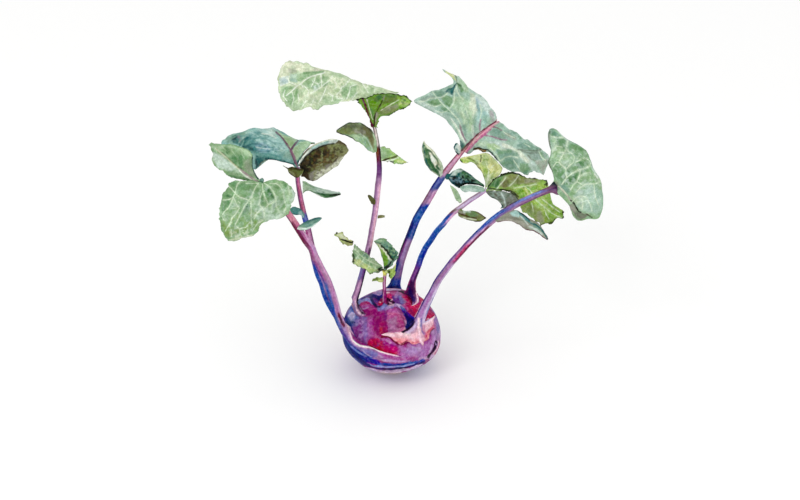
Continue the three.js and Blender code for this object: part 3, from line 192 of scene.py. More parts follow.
        [[-10.5,6.8,131.6], [-4.4,-6.2,135.9], [7.1,0.8,130.5]],
        [[-14.1,9.2,137.2], [-7.4,-2.8,141.9], [3.3,4.2,136.9]],
        [[-16.4,11,140.8], [-11,2,145.4], [-3.9,9,142.5]],
        [[-14,10,142.8], [-11.1,7,145.5], [-7.6,10,144.2]]]),
    'young_leaf_frill': dict(vis='top', fold=0.3, rows=[
        [[-6,-4.5,114.4], [-4.9,-4,115.9], [-3.6,-4.6,117.4]],
        [[-1.8,-9.6,114.5], [-1,-10.2,119.1], [0.6,-10.6,123.1]],
        [[-0,-13.1,110.5], [2.3,-14.1,117.2], [5.8,-14.1,129.6]],
        [[-1.5,-15,108.5], [3.4,-14,112.5], [4.7,-12,120.2]]]),
    'young_leaf_low': dict(vis='top', fold=0.3, rows=[
        [[-7.5,-3.7,103], [-7.3,-3.7,106], [-8.1,-3.1,107.9]],
        [[-12.6,-7.3,105.1], [-12.4,-5.3,107.1], [-13.2,-2.3,108.4]],
        [[-18.6,-7,105.4], [-18.4,-6,105.9], [-17.7,-4,106.5]]]),
    'back_blade_left': dict(vis='top', fold=0.1, rows=[
        [[69.1,70.1,209.1], [69.9,70.1,208.7], [70.9,70.1,208], [71.7,70.1,208], [72.7,70.4,208.9]],
        [[66.9,76.1,218.2], [71.1,76.1,217.3], [76.6,75.1,217.2], [80.6,75,218], [83.2,74.7,218.4]],
        [[60,82,227.5], [68.3,82,227], [78.1,80,226.8], [86.7,79,226.6], [92.8,78.2,226.5]],
        [[53.7,85,234.8], [65.3,87,236], [78.9,85,235], [92.2,82,234.2], [99.1,80.5,231.6]],
        [[43,84,243.3], [58.8,90,245.7], [76.3,90,243.3], [92.6,87,241.7], [103.4,84,236.9]],
        [[32.1,82,250.3], [50.6,90,253], [71.2,94,251.1], [88.1,93,248.1], [101.1,89,241.6]],
        [[22.8,80,258.9], [42.2,88,262.2], [65.1,95,260.3], [80.2,98,255.9], [95.3,96,249]],
        [[27.2,84,260.9], [45.2,91,264.2], [63.7,96,268.8], [71.4,102,263.5], [84.5,102,256]],
        [[36.4,88,264.2], [52.7,93,262.9], [64.3,98,270.8], [67.6,104,269.1], [75.6,105,262.2]],
        [[44.6,91,264.1], [55.7,94,262.4], [64.1,100,271.8], [63.6,106,274.9], [67,107,272.2]],
        [[50.5,93,262.7], [57.5,95,262.5], [60.8,102,274.5], [57.1,106,278.8], [58.7,107,279.9]]]),
    'back_blade_right': dict(vis='top', fold=0.1, rows=[
        [[72.4,70,207.6], [73.6,70.5,207.9], [74.6,71,208.8], [75.7,71.4,210], [76.6,71.8,210.9]],
        [[78.7,65.3,210], [79.9,68.3,212], [81.5,71.3,214.4], [82.7,73.3,217.1], [83.5,74.3,218.6]],
        [[90,61.5,214.6], [91.7,66.5,217.2], [92.6,70.5,220.6], [93.1,74.5,223.8], [93.5,76.5,226.3]],
        [[101,58.1,210.2], [104.2,64.1,215.6], [104.9,70.1,221.1], [103.7,77.1,226.6], [102.1,80.1,231.5]],
        [[111.5,54,199.9], [116.3,61,208.8], [117.6,69,216], [117,75.6,223.1], [106.3,82.2,233.8]],
        [[121.4,53,194.9], [125.8,60,204.4], [128.3,67,211.5], [127.7,74,218.2], [115.9,80,227.7]],
        [[133.5,52,191.4], [136,58,200.1], [138.4,65,207], [137.3,71,212.7], [128.7,77,219.7]],
        [[139.9,53,195.1], [142.7,58,200.4], [145.2,63,204.5], [146,68,207.6], [141.3,73,215.4]],
        [[149.1,52,191.6], [150.7,55,196.2], [152.2,59,199.6], [153.3,63,204.1], [151.5,67,209.7]],
        [[152.3,55,197.1], [153.5,57,198.7], [154.5,59,200.7], [155.2,61,203.2], [155.5,63,206.6]]]),
    'back_leaflet_left': dict(vis='top', fold=0.5, rows=[
        [[48.5,62.4,183.2], [49.8,62.6,184.4], [50.9,62.6,186.2]],
        [[40.6,56.5,192.7], [44.9,57.5,195.9], [52.7,62.5,194.9]],
        [[34.9,51.9,205.1], [39.8,53.9,207.4], [50.3,60.9,202.8]],
        [[31.5,50.2,216.7], [35.8,52.2,217.8], [43.7,58.2,214.5]],
        [[30.8,51,225.2], [32.9,52,225.6], [36.3,55,223]],
        [[32.1,53,229.7], [32.4,53,229.9], [32.8,54,229]]]),
    'back_leaflet_right': dict(vis='top', fold=0.35, rows=[
        [[54.1,62.2,181.8], [54,62.3,184.3], [54.6,62.3,186.8]],
        [[59.7,55.3,179.5], [60,57.3,185.4], [60.5,63.3,190.2]],
        [[67.2,50.9,177.9], [68,54.9,185.3], [68.9,62.9,192.1]],
        [[75.4,50.2,183.2], [76.2,54.2,186.8], [76.8,61.2,189.6]],
        [[83.7,50,181.2], [84.2,53,184], [84.1,58,185.9]],
        [[91.4,52,178.4], [91.7,52,179.1], [91.6,53,179.5]]]),
    'back_leaflet_knob': dict(vis='top', fold=0.1, rows=[
        [[66.9,69,204.2], [67.4,69.7,205.6], [68.6,69.8,206.5]],
        [[63.4,65.1,210.3], [65.3,63.1,213.6], [68.6,68.1,212.4]],
        [[61.2,63.7,216.3], [63.9,61.7,219], [67.4,66.7,216.7]],
        [[63.3,65,220], [64.2,65,220.4], [65.5,66.5,219.2]]]),
    'right_mid_blade_up': dict(vis='top', fold=0.3, rows=[
        [[92.1,34.4,187.3], [93.3,33.9,188.1], [94.8,33.9,189]],
        [[90.1,36.9,196.9], [95.5,36.9,197.2], [101.2,38.9,194]],
        [[86.4,41,203.9], [96.9,41,205.2], [107.5,44,199.7]],
        [[81.4,46,209.1], [95.2,46,211.8], [107.2,49,204.3]],
        [[75,50,206.7], [89.3,50,213.6], [99.4,53,212.1]],
        [[69.2,53,206.1], [77.8,53,210.3], [93.4,56,215.8]],
        [[67.7,55,208.6], [71.2,55,210.8], [81.8,56,209.6]]]),
    'right_mid_blade': dict(vis='top', fold=0.35, rows=[
        [[92.6,28.8,186.8], [93.2,30.1,188.2], [93.7,30.6,189.5]],
        [[105,22,191.1], [104.1,26,194.8], [102,33,200.2]],
        [[114.9,16,192.8], [115,22,198], [114.3,33,205.1]],
        [[124.1,6,184.6], [125.1,18,197.2], [125.1,31,205.5]],
        [[126.4,0,177.9], [133.2,13,194.8], [134.3,27,203.2]],
        [[135.5,-4,173.8], [143.1,8,190.4], [145.7,24,204.2]],
        [[145.5,-7,170], [152.6,3,184.8], [151.9,20,202.8]],
        [[157.1,-8,174.6], [160.9,0,180.1], [150.5,8,189.3]],
        [[165.8,-8,178.2], [166.4,-4,179.8], [164.6,0,183.5]]]),
    'right_mid_side_lobe': dict(vis='top', fold=0.3, rows=[
        [[91.7,28.8,187], [91.7,29.2,187.9], [91.5,29.4,188.9]],
        [[85.1,22.4,189.6], [85.1,25.4,192.5], [85.2,29.4,193.8]],
        [[76.9,20.2,191.5], [77,23.2,194], [76.9,28.2,195.4]],
        [[70.9,19,191.3], [70.9,22,193.3], [71,26,195]],
        [[67.2,21,195.3], [67.2,21.4,195.7], [67.4,22,196.3]]]),
    'right_mid_leaflet_a': dict(vis='top', fold=0.3, rows=[
        [[69.7,33.5,171.9], [68.7,33.3,171.3], [67.5,33.3,170.7]],
        [[68,36.2,177.4], [65.4,34.2,177.2], [63,33.2,175.6]],
        [[65.1,38.1,182.5], [62.7,36.1,182.3], [60.5,35.1,181.1]],
        [[58.6,39,188.2], [58.2,39,188], [57.8,39,187.5]]]),
    'right_mid_leaflet_b': dict(vis='top', fold=0.3, rows=[
        [[65.2,26.6,164.4], [66.7,26.7,166.5], [68.6,26.7,168.8]],
        [[70.5,18.5,163.2], [72.4,20.5,167.2], [73.8,23.5,169.7]],
        [[77.4,14.5,162], [80.3,17.5,166.6], [81.4,21.5,169]],
        [[85.2,13.1,161.5], [87.2,16.1,164.7], [87,19.1,167.7]],
        [[92.6,15,164.6], [93,15.4,165], [92.8,16,165.4]]]),
    'right_front_blade': dict(vis='top', fold=0.2, rows=[
        [[150.5,-60.6,236.9], [150.8,-60.9,237.4], [152.6,-62,239.7], [153.2,-59.3,243.7], [152.1,-58.1,245.4], [149.6,-56.9,246.1]],
        [[153.4,-62.9,238.4], [153.7,-63.5,239.4], [158.3,-64.5,244.4], [161.4,-63.5,250.4], [156.2,-59.5,257.1], [148.2,-53.5,253.9]],
        [[159.9,-66.4,233.4], [160.6,-67.8,235.5], [166.1,-69.8,243.2], [170.1,-68.8,251.7], [162.7,-60.8,267.2], [145.8,-51.8,260.7]],
        [[164.7,-65,224.9], [168,-71,230.8], [172.9,-73,240.6], [176.4,-72,250.6], [168.9,-62,271.4], [144.3,-49,267.9]],
        [[170.3,-63,212.6], [174,-72,223.6], [178.7,-74,235.8], [182.1,-72,247.1], [173.5,-62,271.9], [146.9,-46,274.1]],
        [[176.2,-63,208.7], [181.1,-71,220], [184.9,-73,230.8], [186.9,-71,243.8], [177.4,-61,268.9], [144.2,-42,282.9]],
        [[184.2,-67.4,214.6], [186.6,-69,215.4], [189.5,-71,226.4], [190.5,-69,242.2], [180.3,-61,265.3], [145.1,-39,292.5]],
        [[191,-66.4,214], [192,-67,215], [193.3,-68,225.5], [193.2,-67,239.1], [182.5,-60,265.4], [160.8,-45,286]],
        [[194.2,-64.6,218.7], [194.5,-65,220.5], [195,-66,228.8], [194.8,-65,237.1], [188.4,-61,257], [178.3,-53,277.5]]]),
    'right_front_leaflet_up': dict(vis='under', fold=0.3, rows=[
        [[102.6,-47.2,212.1], [103.9,-47.2,212.8], [105.5,-47.2,213.4]],
        [[101.9,-44.8,215.8], [106.1,-45.8,217.9], [112.4,-43.8,214.1]],
        [[98.9,-42.9,219.1], [104.9,-46.9,224.5], [119.9,-42.9,216.1]],
        [[93.1,-43,221.9], [102.9,-48,229.3], [118,-45,223.7]],
        [[88.6,-44,228.5], [100.2,-49,232.9], [112.1,-48,232.1]]]),
    'right_front_leaflet_low': dict(vis='top', fold=0.4, rows=[
        [[97.5,-54.1,203], [101.5,-54.6,207.2], [110.2,-55.3,214]],
        [[105.1,-60.7,208], [111.1,-60.7,211.9], [118.5,-57.7,216.8]],
        [[114.2,-65.5,209.2], [119.1,-65.5,212.4], [125,-60.5,215.4]],
        [[122.5,-68.9,206.1], [126.5,-68.9,209.4], [131,-63.9,210.7]],
        [[130.5,-71,203.4], [134.6,-71,206.5], [137.9,-67,207.9]],
        [[139.6,-71,197.1], [141.1,-71,200], [142.8,-69,202]],
        [[145.2,-70,192.4], [145.9,-70,192.8], [146.3,-69.5,193.4]]]),
}

# ------------------------------------------------------------------ pigments
# The plant's colours as sRGB 0-255; some of the darks and pales also serve as painted shade and painted highlights.
# Strokes and patches of them are laid over one another like washes; nodes then add mottling, fine veins, grain and
# bump.
PIG = {
    "cream": (226, 230, 204), "pale": (205, 219, 184), "light": (178, 206, 168), "mid": (148, 182, 138),
    "deep": (116, 156, 110), "dark": (84, 130, 84), "forest": (52, 98, 60), "yellow": (212, 218, 150),
    "lime": (158, 194, 98), "grass": (108, 160, 50), "leafgreen": (126, 158, 76), "olive": (136, 142, 96),
    "moss": (102, 116, 62), "umber": (88, 78, 48), "bark": (54, 44, 26), "ink": (20, 24, 18),
    "mist": (206, 222, 214), "sea": (172, 200, 184), "seamid": (146, 180, 162), "seadeep": (116, 154, 136),
    "seagrey": (150, 172, 160), "teal": (138, 184, 178), "teallight": (172, 208, 202), "tealmid": (82, 138, 134),
    "tealdark": (34, 92, 94), "tealink": (14, 48, 56), "bluegrey": (132, 166, 184), "white": (238, 244, 232),
    "vein": (216, 232, 204), "grey": (140, 146, 128), "greydark": (98, 102, 86), "taupe": (160, 158, 146),
    "mauve": (156, 116, 138), "plum": (112, 74, 98), "wine": (96, 22, 52), "rose": (224, 148, 168),
    "ochre": (132, 96, 34), "sun": (236, 238, 130),
    "navy": (18, 12, 92), "ultra": (34, 42, 150), "violet": (84, 44, 130), "slate": (116, 112, 172),
    "peri": (138, 148, 206), "steel": (80, 104, 164), "magenta": (156, 48, 118), "berry": (128, 18, 88),
    "crimson": (176, 14, 74), "scarlet": (166, 4, 44), "rasp": (196, 62, 108), "pinkm": (186, 98, 146),
    "orchid": (170, 96, 162), "lilac": (176, 146, 196), "lilacpale": (212, 194, 224), "blush": (242, 192, 200),
    "salmon": (232, 140, 148), "maroon": (104, 8, 40), "aubergine": (58, 16, 70), "night": (24, 8, 36),
    "bone": (228, 214, 210), "greymauve": (150, 116, 152), "pinklilac": (214, 168, 202), "chestnut": (112, 54, 22),
    "brown": (62, 26, 22), "skyb": (110, 142, 206), "purple": (120, 44, 118), "base": (138, 52, 116),
    "cobalt": (44, 84, 166), "cobaltdeep": (20, 40, 116), "petal": (248, 214, 226),
    "stalkbase": (158, 112, 160), "wood": (188, 168, 128),
}


GAIN, SKIN_GAIN = 0.92, 0.94
CELL_BIG, CELL_SMALL = 0.73, 0.56
# how the stalks meet the bulb, traced in the main view
FOOT_TRACE = {
    "right_front_stalk": "389.6,336.6 391.8,337.8 393.4,339.8 394.6,341.4 396.6,341.8 398.4,343.8 399.6,344 400.6,344.8 402.6,344 405,342.6 407.4,341.4 409.4,342 411,343.6 413,344.4 416,344.2 418.4,343 420,342.8 421.6,344.4 423,345.8 423.4,343.8 423.6,341.8 425.4,341 427.6,339.8 429,338.4 428.8,336.6 429.4,334.4 430,332 431.6,329.8 434.4,327.8 433.6,325.6 433.2,322.6 433.4,319.6 435,316.4 434.4,315.4 433.2,317.6 431,320.4 428.4,322 425.4,323.4 424.4,321.6 424.6,318 423.6,314.8 421.6,314.6 417.6,320 413.6,326 408,330 404.6,331.6 402.5,332.2 400,331.2 397.6,330.8 395.6,331.6 394.4,333.2 391,333.8 387,333.8 383.6,333.8 381,334.6 384,335.6 387.4,336",
    "right_mid_stalk": "407,295.2 409.6,297 411.6,300 412.4,303 411.4,306 414,305.4 416.8,303.8 418.8,301.6 418.4,298.6 418.2,296 418.4,294.6 416.4,293.6 413.4,292.8 410,292.2 406.6,291.8 403.6,292 404.6,293.6",
    "centre_left_stalk": "351.8,304.6 353.2,308 354,311 355,313.4 356.8,315.4 359,316.4 361.6,316.6 364,316 366.4,315 364,314.4 361.8,313.8 359.6,312.2 358,309.6 357.4,306 357.6,302.6 358.6,299.8 357.6,299 354,301.4 351.8,303",
}
FOOT_POWER = {"right_front_stalk": 3.0, "right_mid_stalk": 1.6}
FOOT_RIDGES = {
    "right_front_stalk": [("424.8,324.6 430.6,321.4 434.4,316.6", 0.4, 1.2, 0.5), ("418.6,322 419.2,330 421,338 422.8,344", 0.5, 2.0, 0.5), ("383,334.2 392,334.6 399,338", 0.3, 1.2, 0.4)],
}
# small sideways shifts of the stalks (height in the main view, shift)
NUDGE = {
    "left_front_stalk": [(200, 0), (210, -1), (240, -0.5), (248, 0.8), (256, -1), (268, -1.2), (280, 0), (288, -0.5), (300, -1.5), (312, -1.5), (330, 0)],
    "left_back_stalk": [(172, 0), (180, -0.5), (199, -0.8), (222, 0), (262, -1), (275, -1), (283, 0), (299, -1.5), (310, -1)],
    "centre_left_stalk": [(170, 0), (179, -0.3), (185, -0.8), (207, -1), (231, -1), (245, 0), (263, 0), (290, -0.3), (300, -1.0)],
    "back_stalk": [(160, -0.3), (187, -0.5), (195, 0), (203, 0), (211, -1), (219, -1.8), (243, -1.8), (259, -1.5), (275, -1), (283, -0.5)],
    "right_mid_stalk": [(190, 0), (200, -0.6), (208, 1), (224, 2.2), (232, 0.5), (240, 0), (248, -2), (256, -2), (264, -1), (280, -0.5)],
    "right_front_stalk": [(195, 0), (212, 1.6), (222, 2.6), (230, 2.4), (238, 1), (246, -0.5), (262, -1), (270, 0), (294, 0.5), (310, 0)],
}


def lin3(c, gain=1.0):
    c = np.asarray(PIG[c] if isinstance(c, str) else c, float) / 255
    return np.where(c <= 0.04045, c / 12.92, ((c + 0.055) / 1.055) ** 2.4) * gain


def pts_of(s):
    return np.array([[float(a) for a in p.split(",")] for p in s.split()])


def lay(T, mask, pigment, k):
    m = (np.clip(mask, 0, 1) * k)[..., None]
    return T * (1 - m) + lin3(pigment) * m


def washes(T, V, items, seed=1, rough=0.7):
    """Each item: ("L", pigment, points, half width, softness, strength) for a
    brush line, or ("A", pigment, outline, softness, strength) for a patch."""
    shape = T.shape
    T = T.reshape(-1, 3).copy()
    W = V.reshape(-1, 2)
    for q, it in enumerate(items):
        P = pts_of(it[2])
        pad = (it[3] + it[4] if it[0] == "L" else it[3]) + 2.0
        near = np.nonzero((W[:, 0] > P[:, 0].min() - pad) & (W[:, 0] < P[:, 0].max() + pad)
                          & (W[:, 1] > P[:, 1].min() - pad) & (W[:, 1] < P[:, 1].max() + pad))[0]
        if not len(near):
            continue
        X = W[near]
        if it[0] == "N":
            m = area_mask(X, P, it[3], 1.0, seed + q) * smooth(0.0, 0.45, noise(X * np.array([1.0, it[6]]), it[5], seed + q + 30) + 0.5 * noise(X, 1.3, seed + q + 31))
            T[near] = lay(T[near], m, it[1], it[4])
        elif it[0] == "L":
            m = line_mask(X, P, it[3], it[4], min(rough, 0.4 * it[3] + 0.3 * it[4]), seed + q)
            m = m * np.clip(0.97 + 0.25 * noise(X, 2.6, seed + q + 90), 0, 1)
            T[near] = lay(T[near], m, it[1], it[5])
        else:
            wob = 0.3 + 0.28 * it[3]
            m = area_mask(X + np.stack([noise(X, 2.1, seed + q + 50), noise(X, 2.1, seed + q + 70)], -1) * min(0.8, 0.3 * wob + 0.1),
                          P, it[3], min(rough + 0.4, wob), seed + q)
            m = m * np.clip(0.9 + 0.22 * noise(X, 3.4, seed + q + 90) + 0.14 * noise(X, 1.5, seed + q + 95), 0, 1)
            T[near] = lay(T[near], m, it[1], it[4])
    return T.reshape(shape)

# ------------------------------------------------------------------ main view
# The front view: 32 degrees above the horizon, 85 mm lens. Colour zones
# and veins are given in the plane of this view (800 by 500 units) and
# put on the surfaces by projecting each vertex once, here, in object space.
ELEV = math.radians(32.0)
DIST, FOCAL = 1889.0, 85.0 / 36.0 * 800.0
AXIS_F = np.array([0.0, math.cos(ELEV), -math.sin(ELEV)])
AXIS_R = np.array([1.0, 0.0, 0.0])
AXIS_U = np.array([0.0, math.sin(ELEV), math.cos(ELEV)])
TARGET = np.array([0.0, 0.0, 42.0]) + 9 * AXIS_R + 81 * AXIS_U
EYE = TARGET - DIST * AXIS_F


def to_view(P):
    d = P - EYE
    z = d @ AXIS_F
    return np.stack([400 + FOCAL * (d @ AXIS_R) / z, 250 - FOCAL * (d @ AXIS_U) / z], -1)


def norm(v):
    return v / np.maximum(np.linalg.norm(v, axis=-1, keepdims=True), 1e-9)


def smooth(a, b, x):
    t = np.clip((x - a) / (b - a), 0, 1)
    return t * t * (3 - 2 * t)


# ------------------------------------------------------------------ noise
def _hash(i, j, k, seed):
    n = (i * 73856093) ^ (j * 19349663) ^ (k * 83492791) ^ (seed * 2654435761 % 4294967296)
    n = (n ^ (n >> 13)) * 1274126177 & 0xFFFFFFFF
    n = (n ^ (n >> 16)) & 0xFFFFFFFF
    return (n & 0xFFFF) / 65535.0


def noise(P, size, seed=0):
    """Smooth value noise, -1 to 1, with cells of the given size."""
    Q = np.asarray(P, float) / size
    if Q.shape[-1] == 2:
        Q = np.concatenate([Q, np.zeros(Q.shape[:-1] + (1,))], -1)
    F = np.floor(Q).astype(np.int64)
    t = Q - F
    t = t * t * (3 - 2 * t)
    out = 0.0
    for a in (0, 1):
        for b in (0, 1):
            for c in (0, 1):
                w = ((t[..., 0] if a else 1 - t[..., 0]) * (t[..., 1] if b else 1 - t[..., 1])
                     * (t[..., 2] if c else 1 - t[..., 2]))
                out = out + w * _hash(F[..., 0] + a, F[..., 1] + b, F[..., 2] + c, seed)
    return out * 2 - 1


def fbm(P, size, seed=0, octaves=3):
    s, a, out = size, 1.0, 0.0
    for o in range(octaves):
        out = out + a * noise(P, s, seed + 17 * o)
        s, a = s * 0.5, a * 0.5
    return out / 1.75


# ------------------------------------------------------------------ strokes
def line_dist(V, pts):
    """Distance in view units from each vertex to a polyline."""
    pts = np.asarray(pts, float)
    if len(pts) == 1:
        return np.linalg.norm(V - pts[0, :2], axis=-1)
    best = np.full(V.shape[:-1], 1e9)
    for a, b in zip(pts[:-1], pts[1:]):
        ab = b[:2] - a[:2]
        t = np.clip(((V - a[:2]) @ ab) / max(ab @ ab, 1e-9), 0, 1)
        best = np.minimum(best, np.linalg.norm(V - (a[:2] + t[..., None] * ab), axis=-1))
    return best


def line_mask(V, pts, wide, soft, rough=0.0, seed=3):
    d = line_dist(V, pts)
    if rough:
        d = d + rough * noise(V, 3.2, seed)
    return 1 - smooth(wide, wide + soft, d)


def area_mask(V, poly, soft=1.5, rough=0.0, seed=5):
    """1 inside a closed outline, falling to 0 over the soft distance."""
    poly = np.asarray(poly, float)
    d = line_dist(V, np.vstack([poly, poly[:1]]))
    x, y = V[..., 0], V[..., 1]
    inside = np.zeros(V.shape[:-1], bool)
    j = len(poly) - 1
    for i in range(len(poly)):
        xi, yi, xj, yj = *poly[i], *poly[j]
        hit = ((yi > y) != (yj > y)) & (x < (xj - xi) * (y - yi) / ((yj - yi) or 1e-9) + xi)
        inside ^= hit
        j = i
    s = np.where(inside, -d, d)
    if rough:
        s = s + rough * noise(V, 3.5, seed)
    return 1 - smooth(-soft / 2, soft / 2, s)


def paint(base, mask, strength=1.0):
    """Lay one mask over another, as a thin wash."""
    return base + (1 - base) * np.clip(mask, 0, 1) * strength


# ------------------------------------------------------------------ curves
def spline(P, t):
    """Catmull-Rom through the first axis of P at parameters t (0 to 1)."""
    P = np.asarray(P, float)
    m = len(P)
    Q = np.concatenate([(2 * P[0] - P[1])[None], P, (2 * P[-1] - P[-2])[None]])
    x = np.clip(np.asarray(t, float), 0, 1) * (m - 1)
    i = np.minimum(x.astype(int), m - 2)
    s = (x - i).reshape((-1,) + (1,) * (P.ndim - 1))
    a, b, c, d = Q[i], Q[i + 1], Q[i + 2], Q[i + 3]
    return 0.5 * (2 * b + (c - a) * s + (2 * a - 5 * b + 4 * c - d) * s * s + (3 * b - a - 3 * c + d) * s ** 3)


def linear(P, t):
    P = np.asarray(P, float)
    x = np.clip(np.asarray(t, float), 0, 1) * (len(P) - 1)
    i = np.minimum(x.astype(int), len(P) - 2)
    s = (x - i).reshape((-1,) + (1,) * (P.ndim - 1))
    return P[i] * (1 - s) + P[i + 1] * s


# ------------------------------------------------------------------ meshes
def make_mesh(name, P, faces, attrs):
    """P in millimetres; attrs maps a name to per-vertex vectors (n, 3)."""
    me = bpy.data.meshes.new(name)
    n = len(P)
    me.vertices.add(n)
    me.vertices.foreach_set("co", (P * 0.001).astype(np.float32).ravel())
    tri = [f for f in faces]
    loops = np.concatenate([f.ravel() for f in tri])
    counts = np.concatenate([np.full(len(f), f.shape[1]) for f in tri])
    me.loops.add(len(loops))
    me.loops.foreach_set("vertex_index", loops.astype(np.int32))
    me.polygons.add(len(counts))
    starts = np.concatenate([[0], np.cumsum(counts)[:-1]])
    me.polygons.foreach_set("loop_start", starts.astype(np.int32))
    me.polygons.foreach_set("use_smooth", np.ones(len(counts), bool))
    me.update(calc_edges=True)
    me.validate()
    for key, val in attrs.items():
        at = me.attributes.new(key, "FLOAT_VECTOR", "POINT")
        at.data.foreach_set("vector", np.clip(val, -1e4, 1e4).astype(np.float32).ravel())
    ob = bpy.data.objects.new(name, me)
    bpy.context.scene.collection.objects.link(ob)
    return ob


def ring_faces(rings, sides, offset=0):
    """Quads between rings that close round; rings run along the first index."""
    i = np.arange(rings - 1)[:, None] * sides
    j = np.arange(sides)[None]
    k = (np.arange(sides)[None] + 1) % sides
    a, b, c, d = i + j, i + k, i + sides + k, i + sides + j
    return np.stack([a, b, c, d], -1).reshape(-1, 4) + offset


def cap_faces(ring0, sides, centre, flip):
    j = ring0 + np.arange(sides)
    k = ring0 + (np.arange(sides) + 1) % sides
    c = np.full(sides, centre)
    return np.stack([k, j, c] if flip else [j, k, c], -1)


# ------------------------------------------------------------------ the bulb
CENTRE = np.array([0.0, 0.0, BULB_CENTRE_Z])
FOOT_DIR = {n: norm(np.array(s["line"][0][:3]) - CENTRE) for n, s in STALKS.items()}
SWELL = {n: (0.6, 0.14) if n == "young_stalk" else (1.2, 0.3) if n == "left_front_stalk" else (1.5, 0.3)
         for n in STALKS}


RIGHT_FLANK = norm(0.906 * AXIS_R - 0.423 * AXIS_U - 0.06 * AXIS_F)


def skin(d):
    """Distance from the centre to the plain skin along unit directions."""
    r = 1 / np.sqrt((d[..., 0] ** 2 + d[..., 1] ** 2) / BULB_RADIUS ** 2 + d[..., 2] ** 2 / BULB_HALF_HEIGHT ** 2)
    psi = np.arccos(np.clip(d[..., 2], -1, 1))
    r = r - CROWN_DIP * np.exp(-(psi / CROWN_DIP_ANGLE) ** 2)
    for n, (h, w) in SWELL.items():
        a = np.arccos(np.clip(d @ FOOT_DIR[n], -1, 1))
        r = r + h * np.exp(-(a / w) ** 2)
    # the lower right flank is a little fuller
    a = np.arccos(np.clip(d @ RIGHT_FLANK, -1, 1))
    return r + 3.3 * np.exp(-(a / 0.42) ** 2)


def front_side(d):
    """1 where the surface faces the main view, 0 on the far side."""
    P = CENTRE + d * skin(d)[..., None]
    nrm = norm(d / np.array([BULB_RADIUS ** 2, BULB_RADIUS ** 2, BULB_HALF_HEIGHT ** 2]))
    return smooth(-0.05, 0.12, (nrm * norm(EYE - P)).sum(-1))


def relief(d):
    """Low relief of the skin: folds, domes and the crevice by the front stalk."""
    P = CENTRE + d * skin(d)[..., None]
    V = to_view(P)
    f = front_side(d)
    h = 0.35 * fbm(P, 22, 11) + 0.12 * fbm(P, 7, 12)
    # dome right of the left stalk's foot, and the middle dome
    h = h + f * 1.5 * area_mask(V, [(360, 306), (363, 300.5), (369, 299.5), (374, 303), (375.5, 309), (372, 314), (365, 315)], 5)
    h = h + f * 1.6 * area_mask(V, [(384, 313), (392, 310), (400, 310), (404, 316), (407, 325), (404, 331), (394, 333), (385, 331), (382, 322)], 8)
    # saddle under the crown
    h = h + f * 1.0 * line_mask(V, [(377, 311), (386, 308.5), (396, 308)], 1.6, 3)
    # arch-shaped furrow round the dome and the pit at the growing point
    h = h - f * 1.9 * line_mask(V, [(359, 298.5), (364, 295.4), (369, 294.6), (374, 297), (377, 302), (378.6, 307)], 0.9, 3.2)
    h = h - f * 1.8 * line_mask(V, [(387.5, 302), (391, 303.5)], 1.6, 2.6)
    # crevice that runs from the saddle down to the front stalk
    h = h - f * 2.6 * line_mask(V, [(399.5, 307.5), (403.5, 312), (406.5, 319), (409.5, 327)], 1.6, 3.2)
    # long slit of an old leaf scar on the right
    h = h - f * 1.5 * line_mask(V, [(434.6, 343.8), (432.4, 348.4), (430.2, 354)], 0.7, 1.6)
    h = h + f * 0.8 * line_mask(V, [(431.8, 344), (429.4, 350), (428.6, 355)], 0.5, 2.2)
    # ridge below the left foot's tail, and the shallow dent above it
    h = h - f * 0.9 * line_mask(V, [(354, 333), (362, 340.4), (371, 345), (384, 348.4), (397, 351)], 0.8, 3.4)
    # broad sides: soft, uneven belts low down
    h = h + 0.5 * np.exp(-((P[..., 2] - 16 - 2 * fbm(P, 30, 14)) / 2.2) ** 2) * smooth(-0.5, 0.3, fbm(P, 40, 15))
    return h * smooth(-0.995, -0.9, d[..., 2])


def skin_fine(d):
    return skin(d) + relief(d)


def on_skin(d, above=0.0):
    return CENTRE + d * (skin_fine(d) + above)[..., None]


